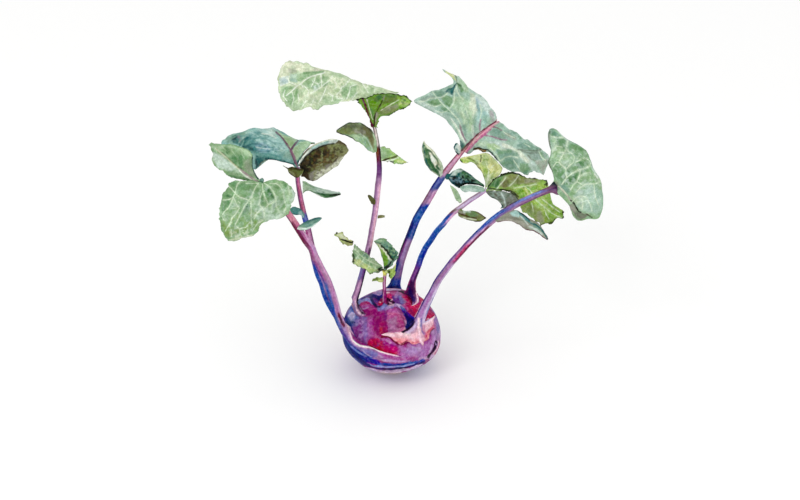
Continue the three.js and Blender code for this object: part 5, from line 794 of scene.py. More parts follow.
STALK_WASHES = {
    "left_front_stalk": [
        ("A", "slate", "336,320 346,326 354,340 368,350 380,354.6 376,358 366,356 352,349 342,338", 2, 0.7),
        ("A", "lilac", "340,318 344,318 350,332 355,341 361,346 356,347 348,338 342,328", 1.4, 0.75), ("L", "pinklilac", "344,322 348,331 352.6,338.6", 0.6, 1.2, 0.7),
        ("L", "violet", "341,330 350,343.6 362,352.6 372,356.4", 0.7, 1.2, 0.8),
        ("L", "cobalt", "340,336 348,346.6 358,354.4 370,358.6", 1.8, 1.8, 0.9), ("L", "cobaltdeep", "344,340 352,348.6 360,353 368,356.6", 0.8, 1.4, 0.85), ("N", "cobalt", "348,342 358,348 370,351 380,355 374,358 360,355.6 350,350", 1.5, 0.6, 2.4, 1.0), ("N", "ultra", "350,345 360,350 372,353 378,356 366,356 354,352", 1.5, 0.4, 1.8, 1.0),
        ("L", "peri", "351,346.6 358,352 366,356.4", 0.35, 0.8, 0.6), ("L", "lilacpale", "362,350 366,353.6 371,356.6", 0.3, 0.8, 0.5),
        ("A", "slate", "364,348.4 374,351 380,354 376,357 368,353", 1.4, 0.7),
        ("A", "orchid", "378,352.4 386,354 394,356 400,357.6 394,360 384,359 378,356", 1.4, 0.9), ("L", "magenta", "385,355.4 392,357.4", 0.7, 1.2, 0.7), ("L", "lilacpale", "379,355 382,357.4", 0.5, 1.0, 0.6),
        ("L", "maroon", "338.6,314 341,319.6 343.6,326", 0.9, 1.0, 0.9), ("L", "night", "339.6,317 342,323", 0.4, 0.8, 0.7),
        ("L", "pinklilac", "343.4,313 346.6,323.6 349,332 351.4,339.6 355,344 360,346.4 366,347.6", 0.7, 0.8, 0.8),
        # crimson along the lip: partly the skin's own colour, partly painted shade above the lip
        ("A", "purple", "350,331 353,334 358,338 364,341 372,344.6 380,348.4 386,351.4 386,352.8 380,351 374,348.6 368,346.8 361,345.6 356,343 352.6,339", 0.7, 0.95), ("A", "crimson", "367,343 373,345 381,348.4 388,352 398,356 388,353.8 378,350.4 369,347", 0.7, 0.85), ("L", "berry", "354,337.6 360,342.6 367,345.4", 0.7, 1.2, 0.6),
        # the petal and white lines are a painted highlight along the lip of the foot
        ("L", "petal", "345,313 347.5,324 349.5,332 352,339.4 355.5,343.4 360,345.8 365,346.9 370,347.4 375.6,349.2 380.7,351.4 385.7,353.2 392,354.6 398.4,355.8", 0.55, 0.6, 1.0), ("L", "white", "353,340.6 356.4,343.8 361,345.9 366,346.9 371,347.6 377,349.7 383,352.2", 0.3, 0.5, 0.9), ("L", "seadeep", "260,180 264,181", 2.6, 0.8, 1.0), ("L", "forest", "260,181.6 264,182.4", 0.4, 0.6, 0.8)],
    "centre_left_stalk": [
        ("A", "slate", "352,302 355,301 357,312 362,316 356,315", 1.2, 0.6),
        # painted highlight along the hooked foot
        ("L", "pinklilac", "355.2,296 355.4,303 356.4,309 359,313.4 363,315", 0.55, 0.7, 1.0), ("L", "petal", "355.4,299 355.6,305 357,310.6 360,314.2", 0.2, 0.5, 0.8),
        ("L", "night", "358.2,297 357.8,303 358.6,308 360.6,311.8 364,313.8", 0.5, 0.7, 0.95),
        ("L", "plum", "352.4,304 353.6,309 355.4,313.4 359,316 364,316.2", 0.4, 0.8, 0.7)],
    "right_mid_stalk": [
        ("A", "aubergine", "402,291 408,285 415,288 416.4,296 415,304 411,300 406,295", 0.8, 0.97), ("L", "navy", "409,288 411,294 414,300", 1.0, 1.4, 0.7),
        ("L", "magenta", "404.6,291.6 407.6,289", 0.6, 1.2, 0.7), ("L", "magenta", "407,296 411,299.6", 0.5, 1.0, 0.5),
        # the pinkm and petal lines are a painted highlight along the right edge of the foot
        ("L", "pinkm", "416,284 416.4,290 417.6,296", 0.5, 0.9, 0.85), ("L", "petal", "416.4,293 418,298.6 417.8,302 414.6,304.8 411.6,306.4", 0.5, 0.6, 1.0), ("L", "rasp", "420,297 423,300", 0.8, 1.2, 0.7)],
    "right_front_stalk": [
        ("A", "blush", "378,333 396,333 408,326 418,322 426,324 436,314 440,330 430,340 424,348 408,346 392,343 380,338", 1.6, 0.95),
        ("A", "salmon", "388,336.6 396,338.2 408,338.6 420,340 420,345 404,346 392,342", 2.0, 0.75), ("L", "rasp", "398,341.6 404,343 408,340", 0.4, 1.2, 0.5), ("L", "rasp", "412,342.6 418,342", 0.4, 1.2, 0.45),
        ("A", "salmon", "424,334 431,327 436,319 438,328 430,336 426,342", 1.8, 0.85), ("L", "rasp", "427,335 430,330.6 434,326", 0.7, 1.4, 0.6), ("L", "pinkm", "434.6,319 434.4,324", 0.7, 1.2, 0.6),
        # painted shade on the foot where the stalk comes down
        ("A", "greymauve", "404,331 412,324 419,318 419,328 414,333 406,334", 1.8, 0.55), ("A", "lilac", "404,330 412,322 420,318 420,326 414,331 406,332.6", 2.0, 0.7),
        ("L", "lilacpale", "408,333 413,329 417,322", 0.6, 1.4, 0.7), ("L", "bone", "404.6,334 410,334.4", 0.6, 1.4, 0.6),
        # slate line: painted shade right of the stalk
        ("L", "slate", "421.6,319 421.4,326 422.2,331 424,334", 0.7, 1.0, 0.85), ("L", "pinkm", "423.6,326 424.6,333 426,337", 0.8, 1.4, 0.6),
        # painted highlight line down the web beside the stalk
        ("L", "petal", "418.6,319 418.4,328 419.8,336 421.8,344", 0.6, 0.8, 1.0), ("L", "white", "419.8,319 419.6,327", 0.25, 0.6, 0.7),
        # painted highlight along the upper edge of the left arm
        ("L", "petal", "381,334.2 387,334.4 394,335.4", 0.7, 1.0, 0.95), ("L", "petal", "396,332.4 401,333.6", 0.7, 1.2, 0.6),
        # painted highlight along the rim of the right arm
        ("L", "petal", "424.8,323.8 430,321.4 434,317", 0.45, 0.7, 1.0),
        ("L", "petal", "410,337 414,341", 0.5, 1.6, 0.5),
        # maroon lines: painted shadow under the toothed edge of the foot
        ("L", "maroon", "382,337.2 388,336.8 392,339.6", 0.3, 0.6, 0.9),
        ("L", "maroon", "394.6,341.4 398,343.4", 0.4, 0.7, 0.9), ("L", "maroon", "400.6,344.4 406,341.6", 0.4, 0.7, 0.9),
        ("L", "maroon", "434.2,328.4 431.4,330.8 429.6,335.4", 0.4, 0.7, 0.9),
        ("L", "crimson", "425.6,336 428,340 425,342", 0.5, 1.4, 0.6),
        ("A", "pinkm", "387,332.6 393,330.6 399,328 404,325.4 404.6,331.4 399,331.6 395,332.6", 0.8, 0.95), ("A", "greymauve", "388,332 392,329 400,327 402,330 394,332", 1.4, 0.5),
        # painted shade in the cleft above the foot
        ("A", "navy", "404,325 412,319 415,319 413.6,325 409.6,329.4 403.4,332 402.6,331 405,329", 0.5, 1.0), ("L", "night", "402.6,331.8 407.6,329.8 412,326 414.4,321.6", 0.7, 0.6, 1.0)],
}

# ------------------------------------------------------------------ leaves
# For each blade: colours of the upper and under side, traced veins
# (points, width), washes, and the crinkled margin it is trimmed to.
VEIN = "vein"
LEAVES = {
    "left_front_blade_tip": dict(scallop=1.5, top=("mid", "deep"), under=("grey", "taupe"), side_veins=4, auto=0.3, midrib=False,
        rim=["212,149 210,146 210,143 214,144 217,143.4 222,144.6 228,144 235,145.6 241,147.6 246,149 251,151.4 253.4,155 252.6,160 252.4,166 254.4,172.4 258,178 262,182",
             "262,183 250,181 240,179.4 230,178 227,175 224,171.4 220,169.6 215,166.4 212.4,162.6 211.8,158 213.6,155.4 213,152 211,149"],
        wash=[("A", "light", "211,146 222,145 236,146.6 248,150.6 252,156 246,156 238,150.6 224,149 216,152", 2, 0.85),
              ("A", "deep", "224,147 238,149 248,156 250,164 240,166 230,157 222,150", 3, 0.6),
              ("L", "dark", "226,147.6 228,151.6", 1.2, 2.4, 0.75),
              ("A", "dark", "233,155 241,156 244,163 240,167 236,163 231,158", 3, 0.95),
              ("L", "forest", "222,153 230,160.4 236,165.6 241,168.4", 0.6, 1.2, 0.8),
              ("A", "grey", "243,160 251,159 252,170 255,177 250,175 244,168", 3, 0.7),
              ("A", "mist", "213,152 222,155 232,163.6 240,171 238,174 228,171 217,167 212,160", 3, 0.75),
              ("A", "light", "236,168 246,176 256,180 240,178 230,174", 3, 0.7),
              ("A", "deep", "224,171 234,170.6 240,174 250,178 238,178 228,177", 2.4, 0.75),
              ("L", "dark", "228,176 238,177.6 248,179.4", 0.6, 1.4, 0.7),
              ("L", "olive", "216,149 222,153.6 232,162.6 240,169.4", 0.4, 0.9, 0.9),
              ("L", "cream", "215.4,148.6 221,153 230.6,162 238,168.8 246,175.6 255,180", 0.25, 0.8, 0.6),
              ("L", "mauve", "240.6,169.6 247,174.6 252,178 258,181.6", 0.35, 0.9, 0.85),
              ("L", "white", "239.6,171 246,176.4 251,179.4", 0.3, 0.8, 0.85),
              ("L", "mist", "254.4,155.6 253.8,162 254.2,168 256.2,174 260,179.6", 0.6, 0.7, 0.95),
              # painted shade on the curled-up margin
              ("L", "tealink", "253,154 252.4,160 252.4,166 254.2,172.6 258,178.6", 0.35, 0.6, 0.95)],
        veins=[("216,149 223,154 232,162.6 240,169.4 248,175.4 258,181.4", 1.2), ("232,151 235,155 238,158", 0.5), ("241,151 243,156 246,162", 0.5),
               ("222,146.6 226,150.6", 0.45), ("228,168 234,170", 0.4), ("219,160 226,163", 0.4)], vein_tone=0.25),
    "left_front_blade_lobe": dict(scallop=1.8, top=("mid", "deep"), under=("grey", "taupe"), side_veins=0, auto=0, midrib=False,
        rim=["258,181.6 250,180.6 242,180.8 236,180.4 231,181.4 228.6,185 227.4,189 224,191.6 222.6,195.6 221.2,200 220.6,205 219.4,210 218.8,216 220,222 221,227 223,232.4 226,237.6 229,240.6 232,239.6 235.6,241.2 239,239 243,237.8 247,236.4 251,236 254,233.8 256.4,233 259,228.4 261.6,224 264,221.6 267,222 270,219.6 275,219 279,220 282,223.4 284,220.6 285.4,216.6 288,213 290.6,208 291.6,203 293.4,199 296,194.6 293.4,189 290,185 286,182 281,180.6 275,179.4 270,180.2 266,181.4"],
        wash=[("A", "deep", "238,183 252,181 257,184 254,190 249,197 238,194 236,188", 2.5, 0.55),
              ("L", "deep", "252,184 250,189", 1.6, 2.4, 0.6),
              ("A", "dark", "229,182 236,182 236,187 231,186", 1.4, 0.85),
              ("A", "deep", "227,189 233,189 234,193 231,198 225,198", 1.6, 0.85), ("L", "forest", "227.6,196 231,196.8", 0.8, 1.2, 0.75),
              ("A", "dark", "222,201 229,200 231,204 228,208 222,211", 1.6, 0.75),
              ("A", "dark", "247.4,203 249.6,204 249,208 245.6,213 242,219 239,224 238.6,220 242,213", 1.2, 1.0),
              ("A", "forest", "247,204 249,206 245,212.6 242.6,214", 0.8, 0.8),
              ("A", "light", "251,198 258,197 260,205 254,207 251,204", 2.4, 0.85), ("A", "mist", "258,206 264,209 262,213 255,211", 2, 0.6),
              ("A", "dark", "264.6,189 269.6,188 272,192 275,198 271,200.6 268,203 265.6,197", 1.6, 0.95), ("L", "forest", "269,191 273,198", 0.9, 1.2, 0.8),
              ("L", "dark", "261.8,193 262.2,203", 0.9, 1.4, 0.75), ("L", "dark", "255,193 258,190", 1.5, 2.4, 0.5),
              ("A", "forest", "272,205 275.4,203 275.4,208 273.6,209", 0.9, 0.8), ("A", "deep", "268,207 274,209 273,214 267,212", 2, 0.6),
              ("A", "deep", "273,184.6 279,186 282,190.6 277,191 273,188", 1.4, 0.9), ("L", "dark", "283.6,183 286,186", 0.7, 1.2, 0.8),
              ("A", "deep", "278,198 284,197 286,206 281,211 277,206", 2.6, 0.7),
              ("A", "light", "283,188 290,188 292,196 288,205 284,199", 3, 0.75), ("A", "light", "265,210 280,213 281,219 266,218", 3, 0.55),
              ("A", "light", "232,200 238,201 240,207 236,212 230,208", 2.4, 0.5), ("A", "deep", "225,211 230,210 231,217 226,219", 1.8, 0.45),
              ("A", "deep", "260,210 264,213 264,219 259,217", 1.6, 0.7), ("L", "deep", "252,212 253,222", 1.8, 2.4, 0.5),
              ("A", "leafgreen", "225,230 230,227 232,234 229,238 225,234", 1.6, 0.75), ("A", "leafgreen", "232.6,231 238.6,229 238,235 233,236", 1.4, 0.75),
              ("A", "leafgreen", "241,230 246.6,228.6 246,233.6 242,234.4", 1.4, 0.85), ("L", "grass", "243.6,231 245,233", 0.5, 1.4, 0.4),
              ("L", "deep", "233,214 236,218 234,222", 0.9, 1.6, 0.6), ("L", "leafgreen", "256,228 261,222.6", 1.4, 2, 0.5), ("L", "leafgreen", "222,222 225,228", 1.2, 2, 0.5),
              ("L", "cream", "230,240 240,238.4 252,235.6", 0.5, 1.4, 0.6), ("L", "mist", "292,190 294.6,195 291,201", 0.6, 1.4, 0.6), ("N", "mist", "224,200 240,190 262,186 290,188 292,204 284,220 262,222 246,234 230,238 222,226", 3.0, 0.34, 3.6, 1.0), ("A", "mist", "262,206 272,212 282,214 280,220 264,220 252,216", 4.0, 0.45), ("A", "light", "224,214 240,212 250,220 244,232 230,234", 4.0, 0.4), ("N", "deep", "222,186 250,182 286,184 290,206 270,220 250,230 230,238 220,220", 3.0, 0.5, 2.2, 1.0), ("N", "leafgreen", "222,224 236,214 262,212 256,230 238,239 226,238", 3.0, 0.55, 2.4, 1.0), ("N", "cream", "228,232 250,226 262,220 250,236 232,240", 2.0, 0.5, 1.8, 1.0)],
        veins=[("258.6,183 255.6,187 253.6,191.4 252,196 249,200", 1.1), ("249,200.6 244.6,206 242.4,211 239.8,215 237.6,220 235,225", 1.5),
               ("249,200.4 244,198.4 239.6,197 235.6,193.6 231.4,188.6 228,185.6", 1.3), ("235.4,193.4 236,188.6 237.4,184.4 240,181.6", 1.1),
               ("235,194 232.6,197.6 229,199.6 223.4,200", 1.0), ("233,198 230.6,204 228.4,208 224,212 221.8,215.6 223.6,219.6", 1.1),
               ("233.4,197 236,203 239,208.6", 0.8), ("239.4,208 236,213.6 232.4,217.4 230.8,221.6 227.6,227 225.4,231", 1.0),
               ("231,208.4 236,208.6", 0.7), ("262.6,184 262.8,190 264.6,196 267.4,202.6 268.6,204.6 265,208.4", 1.1),
               ("268.6,204.6 272,203 276,200 275,195.6 272.6,190.6 269.6,186.6 264.6,183.4", 1.3), ("276,200.6 276.4,207 279,211.4 281,216.6 281.6,222", 1.1),
               ("270,183.4 276.4,183.6 280.6,187 283,193 284,199 286,205.6 284.6,212", 1.1), ("263,190 260.2,197.6 259,204.6 262.6,208 257.8,212.4 254.6,215.6", 1.0),
               ("262.8,208 264.4,213.6 264,219", 0.9), ("250.4,201 251.2,208 251,215.6 251.6,225", 0.8), ("235.4,225.4 239.6,229 240.2,234.6 236.6,237.6", 0.9),
               ("239.6,228.6 246,227.4 249.6,222", 0.9), ("247.4,228 247,235", 0.7), ("253.4,229.6 257.6,223 263,220.6", 1.0), ("254,219 257,215 256,210", 0.7),
               ("231.4,230 231.4,236.6", 0.8), ("232,222 228.8,226", 0.6), ("238,201 240,203", 0.5), ("258.6,183.4 246,183.6", 0.5), ("288,186 290.4,194", 0.5)], vein_tone=0.8),
    "left_back_blade": dict(top=("teal", "seamid"), under=("grey", "olive"), side_veins=0, auto=0, midrib=False,
        rim=["224,140.6 228,136 234,133.6 240,132.6 246,130.6 251,129 256,127.8 261,129.4 267,130 270,127.8 273.6,127.4 277,129.6 282,131.4 289,136 296,140 300,141 304,140.6 308,141 314,143.6",
             "303,154 299,161 297,165 290,163.4 284,162 275,159.8 267,159.2 261,161.6 257.6,166 256,169.4 255,160 253,153 243,148 232,144 224,141"],
        wash=[("A", "teallight", "246,132 258,129 270,129 276,132 283,141 288,150 290,158 282,152 270,146 256,142 246,138", 4, 0.85),
              ("A", "mist", "266,129 273,127.6 279,131 276,136 268,133", 3, 0.6),
              ("A", "bluegrey", "252,142 264,142 272,150 266,155 256,152", 4, 0.75), ("A", "seamid", "280,146 289,152 295,162 284,158 276,152", 4, 0.6),
              ("A", "seadeep", "225,139 234,134 244,132.6 246,136 240,142 230,143", 3, 0.75),
              ("A", "tealdark", "230,139.6 236,133.8 240,136 239,142 238,145 234,143.4", 1.2, 0.95), ("L", "tealink", "231.6,140 236,137.6", 0.5, 1.2, 0.7),
              ("L", "mauve", "239,136 240,140", 0.6, 1.6, 0.6), ("L", "sea", "242,142 246,134", 1.2, 1.8, 0.5),
              ("A", "tealmid", "242,147.6 245,139 250,136.6 256,137.6 256,142 260,146 258,151.6 249,150", 2.4, 0.85), ("L", "tealdark", "243,146 246,140 250,138", 0.8, 1.6, 0.75), ("L", "tealdark", "250,149 255,151", 0.8, 1.4, 0.7), ("L", "tealink", "244,147.6 248,146 252,149", 0.6, 1.4, 0.6),
              ("L", "tealmid", "246,138.6 252,134.6 260,133 268,136", 0.5, 1.6, 0.8),
              # painted shade along the lower edge, where the blade curves down
              ("A", "tealdark", "255,153 259,157 265,156 274,157.6 284,160.6 294,163.4 294,166 283,163 274,161 266,160.6 261,163 257,168.6 255.6,166", 1.6, 0.95),
              ("A", "tealink", "254.6,156 256.6,160 258,166 256,169.6 255,163", 0.9, 0.95), ("L", "tealink", "266,158.8 276,160.6 288,163.4", 0.4, 1.2, 0.8),
              ("L", "tealmid", "258,154 268,155 280,157.6", 0.8, 2.4, 0.6), ("L", "tealmid", "258,148 266,150.6 276,152", 0.3, 1.4, 0.5), ("L", "bluegrey", "256,145 266,146.6 278,150", 0.4, 1.4, 0.6),
              ("L", "teallight", "268,140 278,144 286,151", 0.4, 1.2, 0.6),
                  ("N", "tealmid", "226,140 240,133 258,131 274,137 286,150 280,158 262,156 250,150 238,144", 4, 0.6, 3.4, 2.2), ("N", "teallight", "250,133 268,130 282,140 288,152 276,154 258,146", 4, 0.6, 3.0, 2.4),
                  ("L", "tealmid", "252,139 260,137.6 268,139.6 275,144", 0.3, 0.9, 0.7), ("L", "tealdark", "247,146 253,143.6 259,144 266,147", 0.35, 0.9, 0.65), ("L", "tealmid", "250,152 258,153.4 267,153.6 276,155.6", 0.3, 0.9, 0.7), ("L", "tealdark", "256,150 262,151.6 269,151.4", 0.3, 0.9, 0.55),
                  ("L", "seadeep", "228,141.4 233,137.6 238,134.6 244,133", 0.4, 1.0, 0.8), ("L", "tealdark", "240,144.6 243,140 247,137.6", 0.6, 1.2, 0.8), ("L", "white", "262,133.6 270,134.6 276,138", 0.3, 0.9, 0.5), ("L", "mist", "256,147 263,148.6 270,148.8", 0.25, 0.8, 0.6),
              ("A", "light", "276.6,130.6 283,133.6 296.4,140 293,145 290.6,149.4 284,141", 1.0, 0.95), ("L", "leafgreen", "286,138 291,143", 1.4, 3, 0.4),
              ("A", "light", "291.4,151.6 299,142.4 306,141 314,143.4 306,149 303,155 299,161 296,160", 1.0, 0.95), ("L", "mid", "300,146 296,154", 1.4, 3, 0.4),
              # painted shadow along the right of the blade
              ("L", "tealdark", "297,163.6 301,157 305,151.4 311,146", 0.5, 0.9, 0.85),
              ("L", "plum", "276,132 280.6,136 285,141.4 289,147.4 291,150.4", 0.5, 0.8, 0.95), ("L", "mauve", "291,150.6 293.4,156 295.6,162 297,166", 0.9, 0.8, 1.0),
              ("L", "plum", "290.6,151.4 292.6,157 295,163.4", 0.25, 0.6, 0.7), ("L", "plum", "291,150 294,145.4 298,140.6", 0.5, 0.7, 0.95)],
        veins=[("297,166 294,158.6 291,151 285,141.4 276,132", 1.6), ("291,150 294,145.4 298,140.6", 1.1)], vein_tone=0.0),
    "left_back_side_lobe": dict(top=("umber", "bark"), under=("umber", "olive"), open_base=True, mid=0.35, side_veins=0, auto=0, midrib=False,
        rim=["300,163 303,158 307,153.4 312,149 318,145.6 325,142 332,139.6 338,140 343,143 347,147 349,150 347,153 344,155 343,158 340,161 338.6,165 335,167.6 331,170 327,173 322,176 318,179 313,181 308,180 304,177 300.6,176"],
        wash=[("A", "bark", "300,163 306,156 313,151 320,148 324,150 320,158 312,164 310,172 308,180 301,176 304,171 305,168", 4, 0.85),
              ("L", "bark", "314,160 322,155 330,152", 2.0, 3, 0.6), ("L", "ink", "300,166.6 305,168.8 302,173", 0.8, 1.2, 0.8),
              ("A", "olive", "326,144.6 334,142 343,145 350,150 344,156 336,156 330,151", 2.4, 0.9), ("L", "moss", "332,146 343,147", 0.9, 1.6, 0.7), ("L", "bark", "333,153 336,149", 0.9, 1.6, 0.6),
              ("A", "umber", "318,160 330,153 338,156 334,162 324,168 316,172", 4, 0.8), ("L", "bark", "333,159 336,163", 0.6, 1.6, 0.6),
              ("A", "taupe", "308,174 318,169 328,165 336,161 336,167 326,173 318,179 310,181", 2.6, 0.75),
              ("A", "cream", "322,172 332,165 339,158 344,156 340,164 332,170 322,177 314,180", 2.0, 0.75), ("L", "olive", "316,171 314,179", 0.5, 1.4, 0.7), ("L", "olive", "324,168 322.6,176", 0.4, 1.2, 0.7), ("L", "olive", "331,164 332,170", 0.4, 1.2, 0.6),
              ("L", "olive", "340,156 346,152", 0.9, 1.6, 0.6),
              ("N", "moss", "304,160 312,152 324,147 334,148 340,154 330,162 318,168 310,174 304,172", 2.5, 0.6, 2.6, 1.0), ("N", "ochre", "306,160 314,153 326,148 338,152 328,162 314,168", 2.5, 0.22, 1.8, 1.0), ("N", "ink", "300,163 308,155 318,149 328,150 322,160 312,168 306,176 301,172", 2.5, 0.8, 2.4, 1.0),
              ("N", "olive", "322,146 338,143 348,149 342,157 332,164 320,172 312,176 316,164", 3, 0.7, 2.8, 1.0), ("N", "bark", "328,148 342,146 344,154 334,160", 2, 0.7, 2.0, 1.0), ("N", "cream", "316,172 330,166 340,160 336,168 324,176 314,180", 2, 0.7, 2.2, 1.6),
              ("A", "mist", "299,163 303,155.6 309,149.6 316,145 324,141 332,138.6 340,139.4 334,143.4 324,145 314,149.6 306,156 301,163.4", 0.9, 0.95),
              ("L", "teal", "312,148 320,144.4 328,142", 0.5, 1.0, 0.7), ("L", "white", "300.6,161.6 304,156 309,151", 0.3, 0.7, 0.9),
              ("L", "cream", "310,147.4 318,142.6 326,139.8 336,139", 0.5, 0.8, 0.7),
              # painted shadow under the turned-over margin
              ("L", "ink", "301,163.6 306,156 313,150.6 320,146.8 328,144.2 334,143.6", 0.4, 0.7, 0.95)], vein_tone=0.0),
    "left_back_base_lobe": dict(top=("moss", "umber"), under=("moss", "umber"), side_veins=0, auto=0, midrib=False,
        rim=["281,164.6 285,167 288,169 289.6,173.6 293,176 297,178 300,176.6 304,172 306,169.6 300,168.6 292,166.6"],
        wash=[("A", "bark", "284,166 296,167 306,169.4 302,171 292,170", 1.4, 0.9), ("A", "umber", "289,170 296,171 296,177 291,175", 2, 0.7), ("L", "olive", "290,172 294,175", 0.6, 1.2, 0.7),
              ("A", "moss", "298,171 304,170.4 300,175.6 297,176", 1.2, 0.85), ("L", "bark", "289,173 294,177 297,178", 0.4, 0.9, 0.9), ("L", "cream", "306,169.8 303,173.4 300,177", 0.35, 0.6, 0.9)], vein_tone=0.0),
    "left_back_leaflet": dict(edge=[("dark", 0.5, 0.5, None)], top=("sea", "light"), under=("seagrey", "mid"), side_veins=3, auto=0.3,
        rim=["303,180 308,183 313,186 319,188 326,189.4 333,191 340,192", "303,193 306,191 310,190.6 315,193 320,196.4 326,198 331,197.6 337,196 340.4,195"],
        wash=[("A", "light", "302,180 310,185 308,190 303,193", 2, 0.6), ("A", "dark", "312,192 322,193.4 331,193.8 340,194.4 336,196.6 326,198 318,195.6", 1.0, 0.85),
              ("A", "forest", "322,195 332,194.6 336,196 328,198", 0.9, 0.85), ("L", "forest", "303,193.4 306,190.8 310,190.8 315,192.6 322,194.4 331,195 340,195", 0.35, 0.7, 0.95),
              ("L", "mist", "318,190.4 328,191.6 338,192", 0.5, 1.2, 0.6), ("L", "white", "307,192.4 313,193.6 320,196", 0.35, 0.7, 0.9), ("L", "ink", "330,195.4 336,194.4 341,194.4", 0.5, 0.7, 0.95), ("L", "ink", "338,196 341,195", 0.6, 0.6, 0.9), ("N", "forest", "316,191 326,193 334,194 330,197 320,196", 1.0, 0.8, 2.0, 1.0), ("L", "deep", "303,182 308,185 314,187.6", 0.3, 0.8, 0.6)], vein_tone=0.4),
    "left_back_bud_leaflet": dict(top=("tealmid", "seadeep"), under=("tealmid", "seadeep"), side_veins=0, auto=0,
        wash=[("A", "tealmid", "290,208 296,207 300,212 303,219 300,218 296,214 291,213", 1.6, 0.9), ("L", "tealdark", "291,213.6 297,215 301,219", 0.5, 1.0, 0.8), ("L", "teallight", "300,213 303,217", 0.8, 1.4, 0.7)], vein_tone=0.2),
    "left_front_leaflet": dict(top=("seadeep", "tealmid"), under=("mist", "sea"), side_veins=2, auto=0.2,
        wash=[("L", "tealdark", "303,223 312,219.4 320,217.4", 0.6, 1.6, 0.6), ("L", "mist", "298,228.6 306,229 314,226.6 320,221.4", 0.7, 0.9, 0.95), ("L", "white", "297,227 300,229.4", 0.5, 0.9, 0.6)], vein_tone=0.2),
    "centre_left_blade": dict(scallop=1.7, top=("pale", "light"), under=("light", "sea"), side_veins=0, auto=0, midrib=False,
        rim=["284,102 281,99 279.6,94 277.4,88 278,83 280,79 277.4,78 279.6,73 280,68.6 283,65 285.6,61.6 290,60.8 293,62.4 297,61.2 303,63 308,63.6 312,66.6 318,68 322,70 328,71.8 334,73.2 339,73.4 345,75.8 350,78.4 357,80.6 364,83 372,86 380,87.8 388,89.6 396,93",
             "357,100.4 350,100.6 345,102 340,101.6 335,104.4 330,104.6 325,104.8 321,107.4 317,109.6 313,109 309,106 305,107.4 301,110 295,111 290,109.6 287,106.4 284,102"],
        wash=[("A", "cream", "281,68 286,62 296,62 312,67 322,70.6 312,72.4 300,72 292,69 288,76 280,78", 2, 0.9),
              ("A", "pale", "304,66 311,67 310,71 304,70", 1.2, 0.7), ("A", "taupe", "288,68.6 296,68 297,72.6 290,74", 1.6, 0.6), ("A", "taupe", "314,68 322,70 321,71.6 314,71", 0.8, 0.5),
              ("A", "mist", "279,78 288,76 288.6,83 280,86", 1.2, 0.95), ("L", "bluegrey", "283,81 286,82", 1.0, 2.4, 0.35),
              ("A", "sea", "290,75 297,73 298,80 296,83 290,81", 1.4, 0.75), ("L", "seamid", "291,80 296,81", 0.9, 1.6, 0.7),
              ("A", "mid", "297,73.6 310,72 322,71.6 318,75 308,78 300,81.6 297,80", 1.6, 0.85), ("L", "deep", "304,73.2 314,72.2 323,71.6", 0.5, 1.3, 0.85), ("L", "deep", "305,76 311,74.4", 0.7, 1.4, 0.5),
              ("A", "mid", "304,80.6 314,77 320,75 321,84 316,90 308,88 302,86", 2.4, 0.75), ("L", "deep", "306,84 313,83", 0.9, 2.0, 0.45),
              ("A", "mid", "281,87 290,86 295,88 288,90 282,91", 1.4, 0.75), ("A", "light", "282,94 292,92 297,97 294,106 286,103", 3, 0.85), ("L", "mid", "297.6,91 297,98", 0.8, 1.8, 0.8), ("L", "deep", "283,92.6 288,90", 0.4, 1.2, 0.4),
              ("A", "mist", "312,86 320,85 319,89 314,90", 1.4, 0.8), ("A", "mid", "322,76 330,76 328,83 323,87 322,82", 1.6, 0.65), ("L", "dark", "324,85.6 327,83.4", 0.5, 1.2, 0.7),
              ("A", "cream", "300,92 312,94 322,97 326,104 314,106 304,104", 4, 0.6), ("A", "cream", "330,76 344,78 348,84 338,88 330,84", 4, 0.5),
              ("A", "mid", "342,88 349,86.6 348,93 346,99 343,98 341,93", 1.6, 0.7), ("A", "mid", "351,87 357,85 356,90 353,96 350,98 350,92", 1.6, 0.8), ("L", "deep", "351.6,86.6 356,85", 0.5, 1.2, 0.6),
              ("L", "mid", "360,82 364,90", 0.9, 2.2, 0.4), ("A", "cream", "336,94 342,93 342,99 336,98", 1.6, 0.7), ("L", "light", "332,100 344,99", 0.5, 1.4, 0.6), ("L", "deep", "370,87 373,84.6", 0.2, 0.8, 0.6), ("N", "mid", "300,78 330,76 350,86 344,100 320,104 300,102", 3.0, 0.4, 1.8, 1.0), ("A", "mid", "284,88 294,87 299,92 297,100 290,105 284,99", 2.0, 0.7), ("N", "deep", "282,86 298,84 302,96 294,106 284,102", 3.0, 0.45, 2.6, 1.0), ("N", "deep", "296,74 322,71 330,78 322,90 306,92 298,84", 2.0, 0.4, 2.2, 1.0), ("N", "mid", "320,82 342,80 360,84 362,94 344,101 326,103 306,104", 3.0, 0.5, 2.8, 1.0), ("N", "deep", "340,86 358,85 356,96 346,100 339,96", 2.0, 0.45, 2.0, 1.0), ("N", "mid", "362,83 380,88 390,92 372,93", 2.0, 0.4, 2.4, 1.0)],
        veins=[("325,72.6 318,74.6 310,77 304.6,80.4 301,83.6 296.4,86.4 291.4,91.6 286.4,95.6", 1.3), ("296.4,85.4 292.4,83.4 289.2,82 288.2,78.6 289.6,75.6", 1.0),
               ("289.2,82.6 284.6,84.6 280,86", 0.8), ("315.6,76 314.4,81 311,87", 0.9), ("321,73.4 321.2,79 321.8,86", 1.1), ("332.6,76 329.4,80.6 324.6,84 320,88 314.6,91.4 310,93.4", 1.0),
               ("327,86 323.6,94 321.4,99 319,102", 0.9), ("350.4,86 349.2,93 346.4,99.4", 1.1), ("346,84.6 341.4,87.6 340,91.4 336.6,95 338,98.6 342.6,98.6", 0.9),
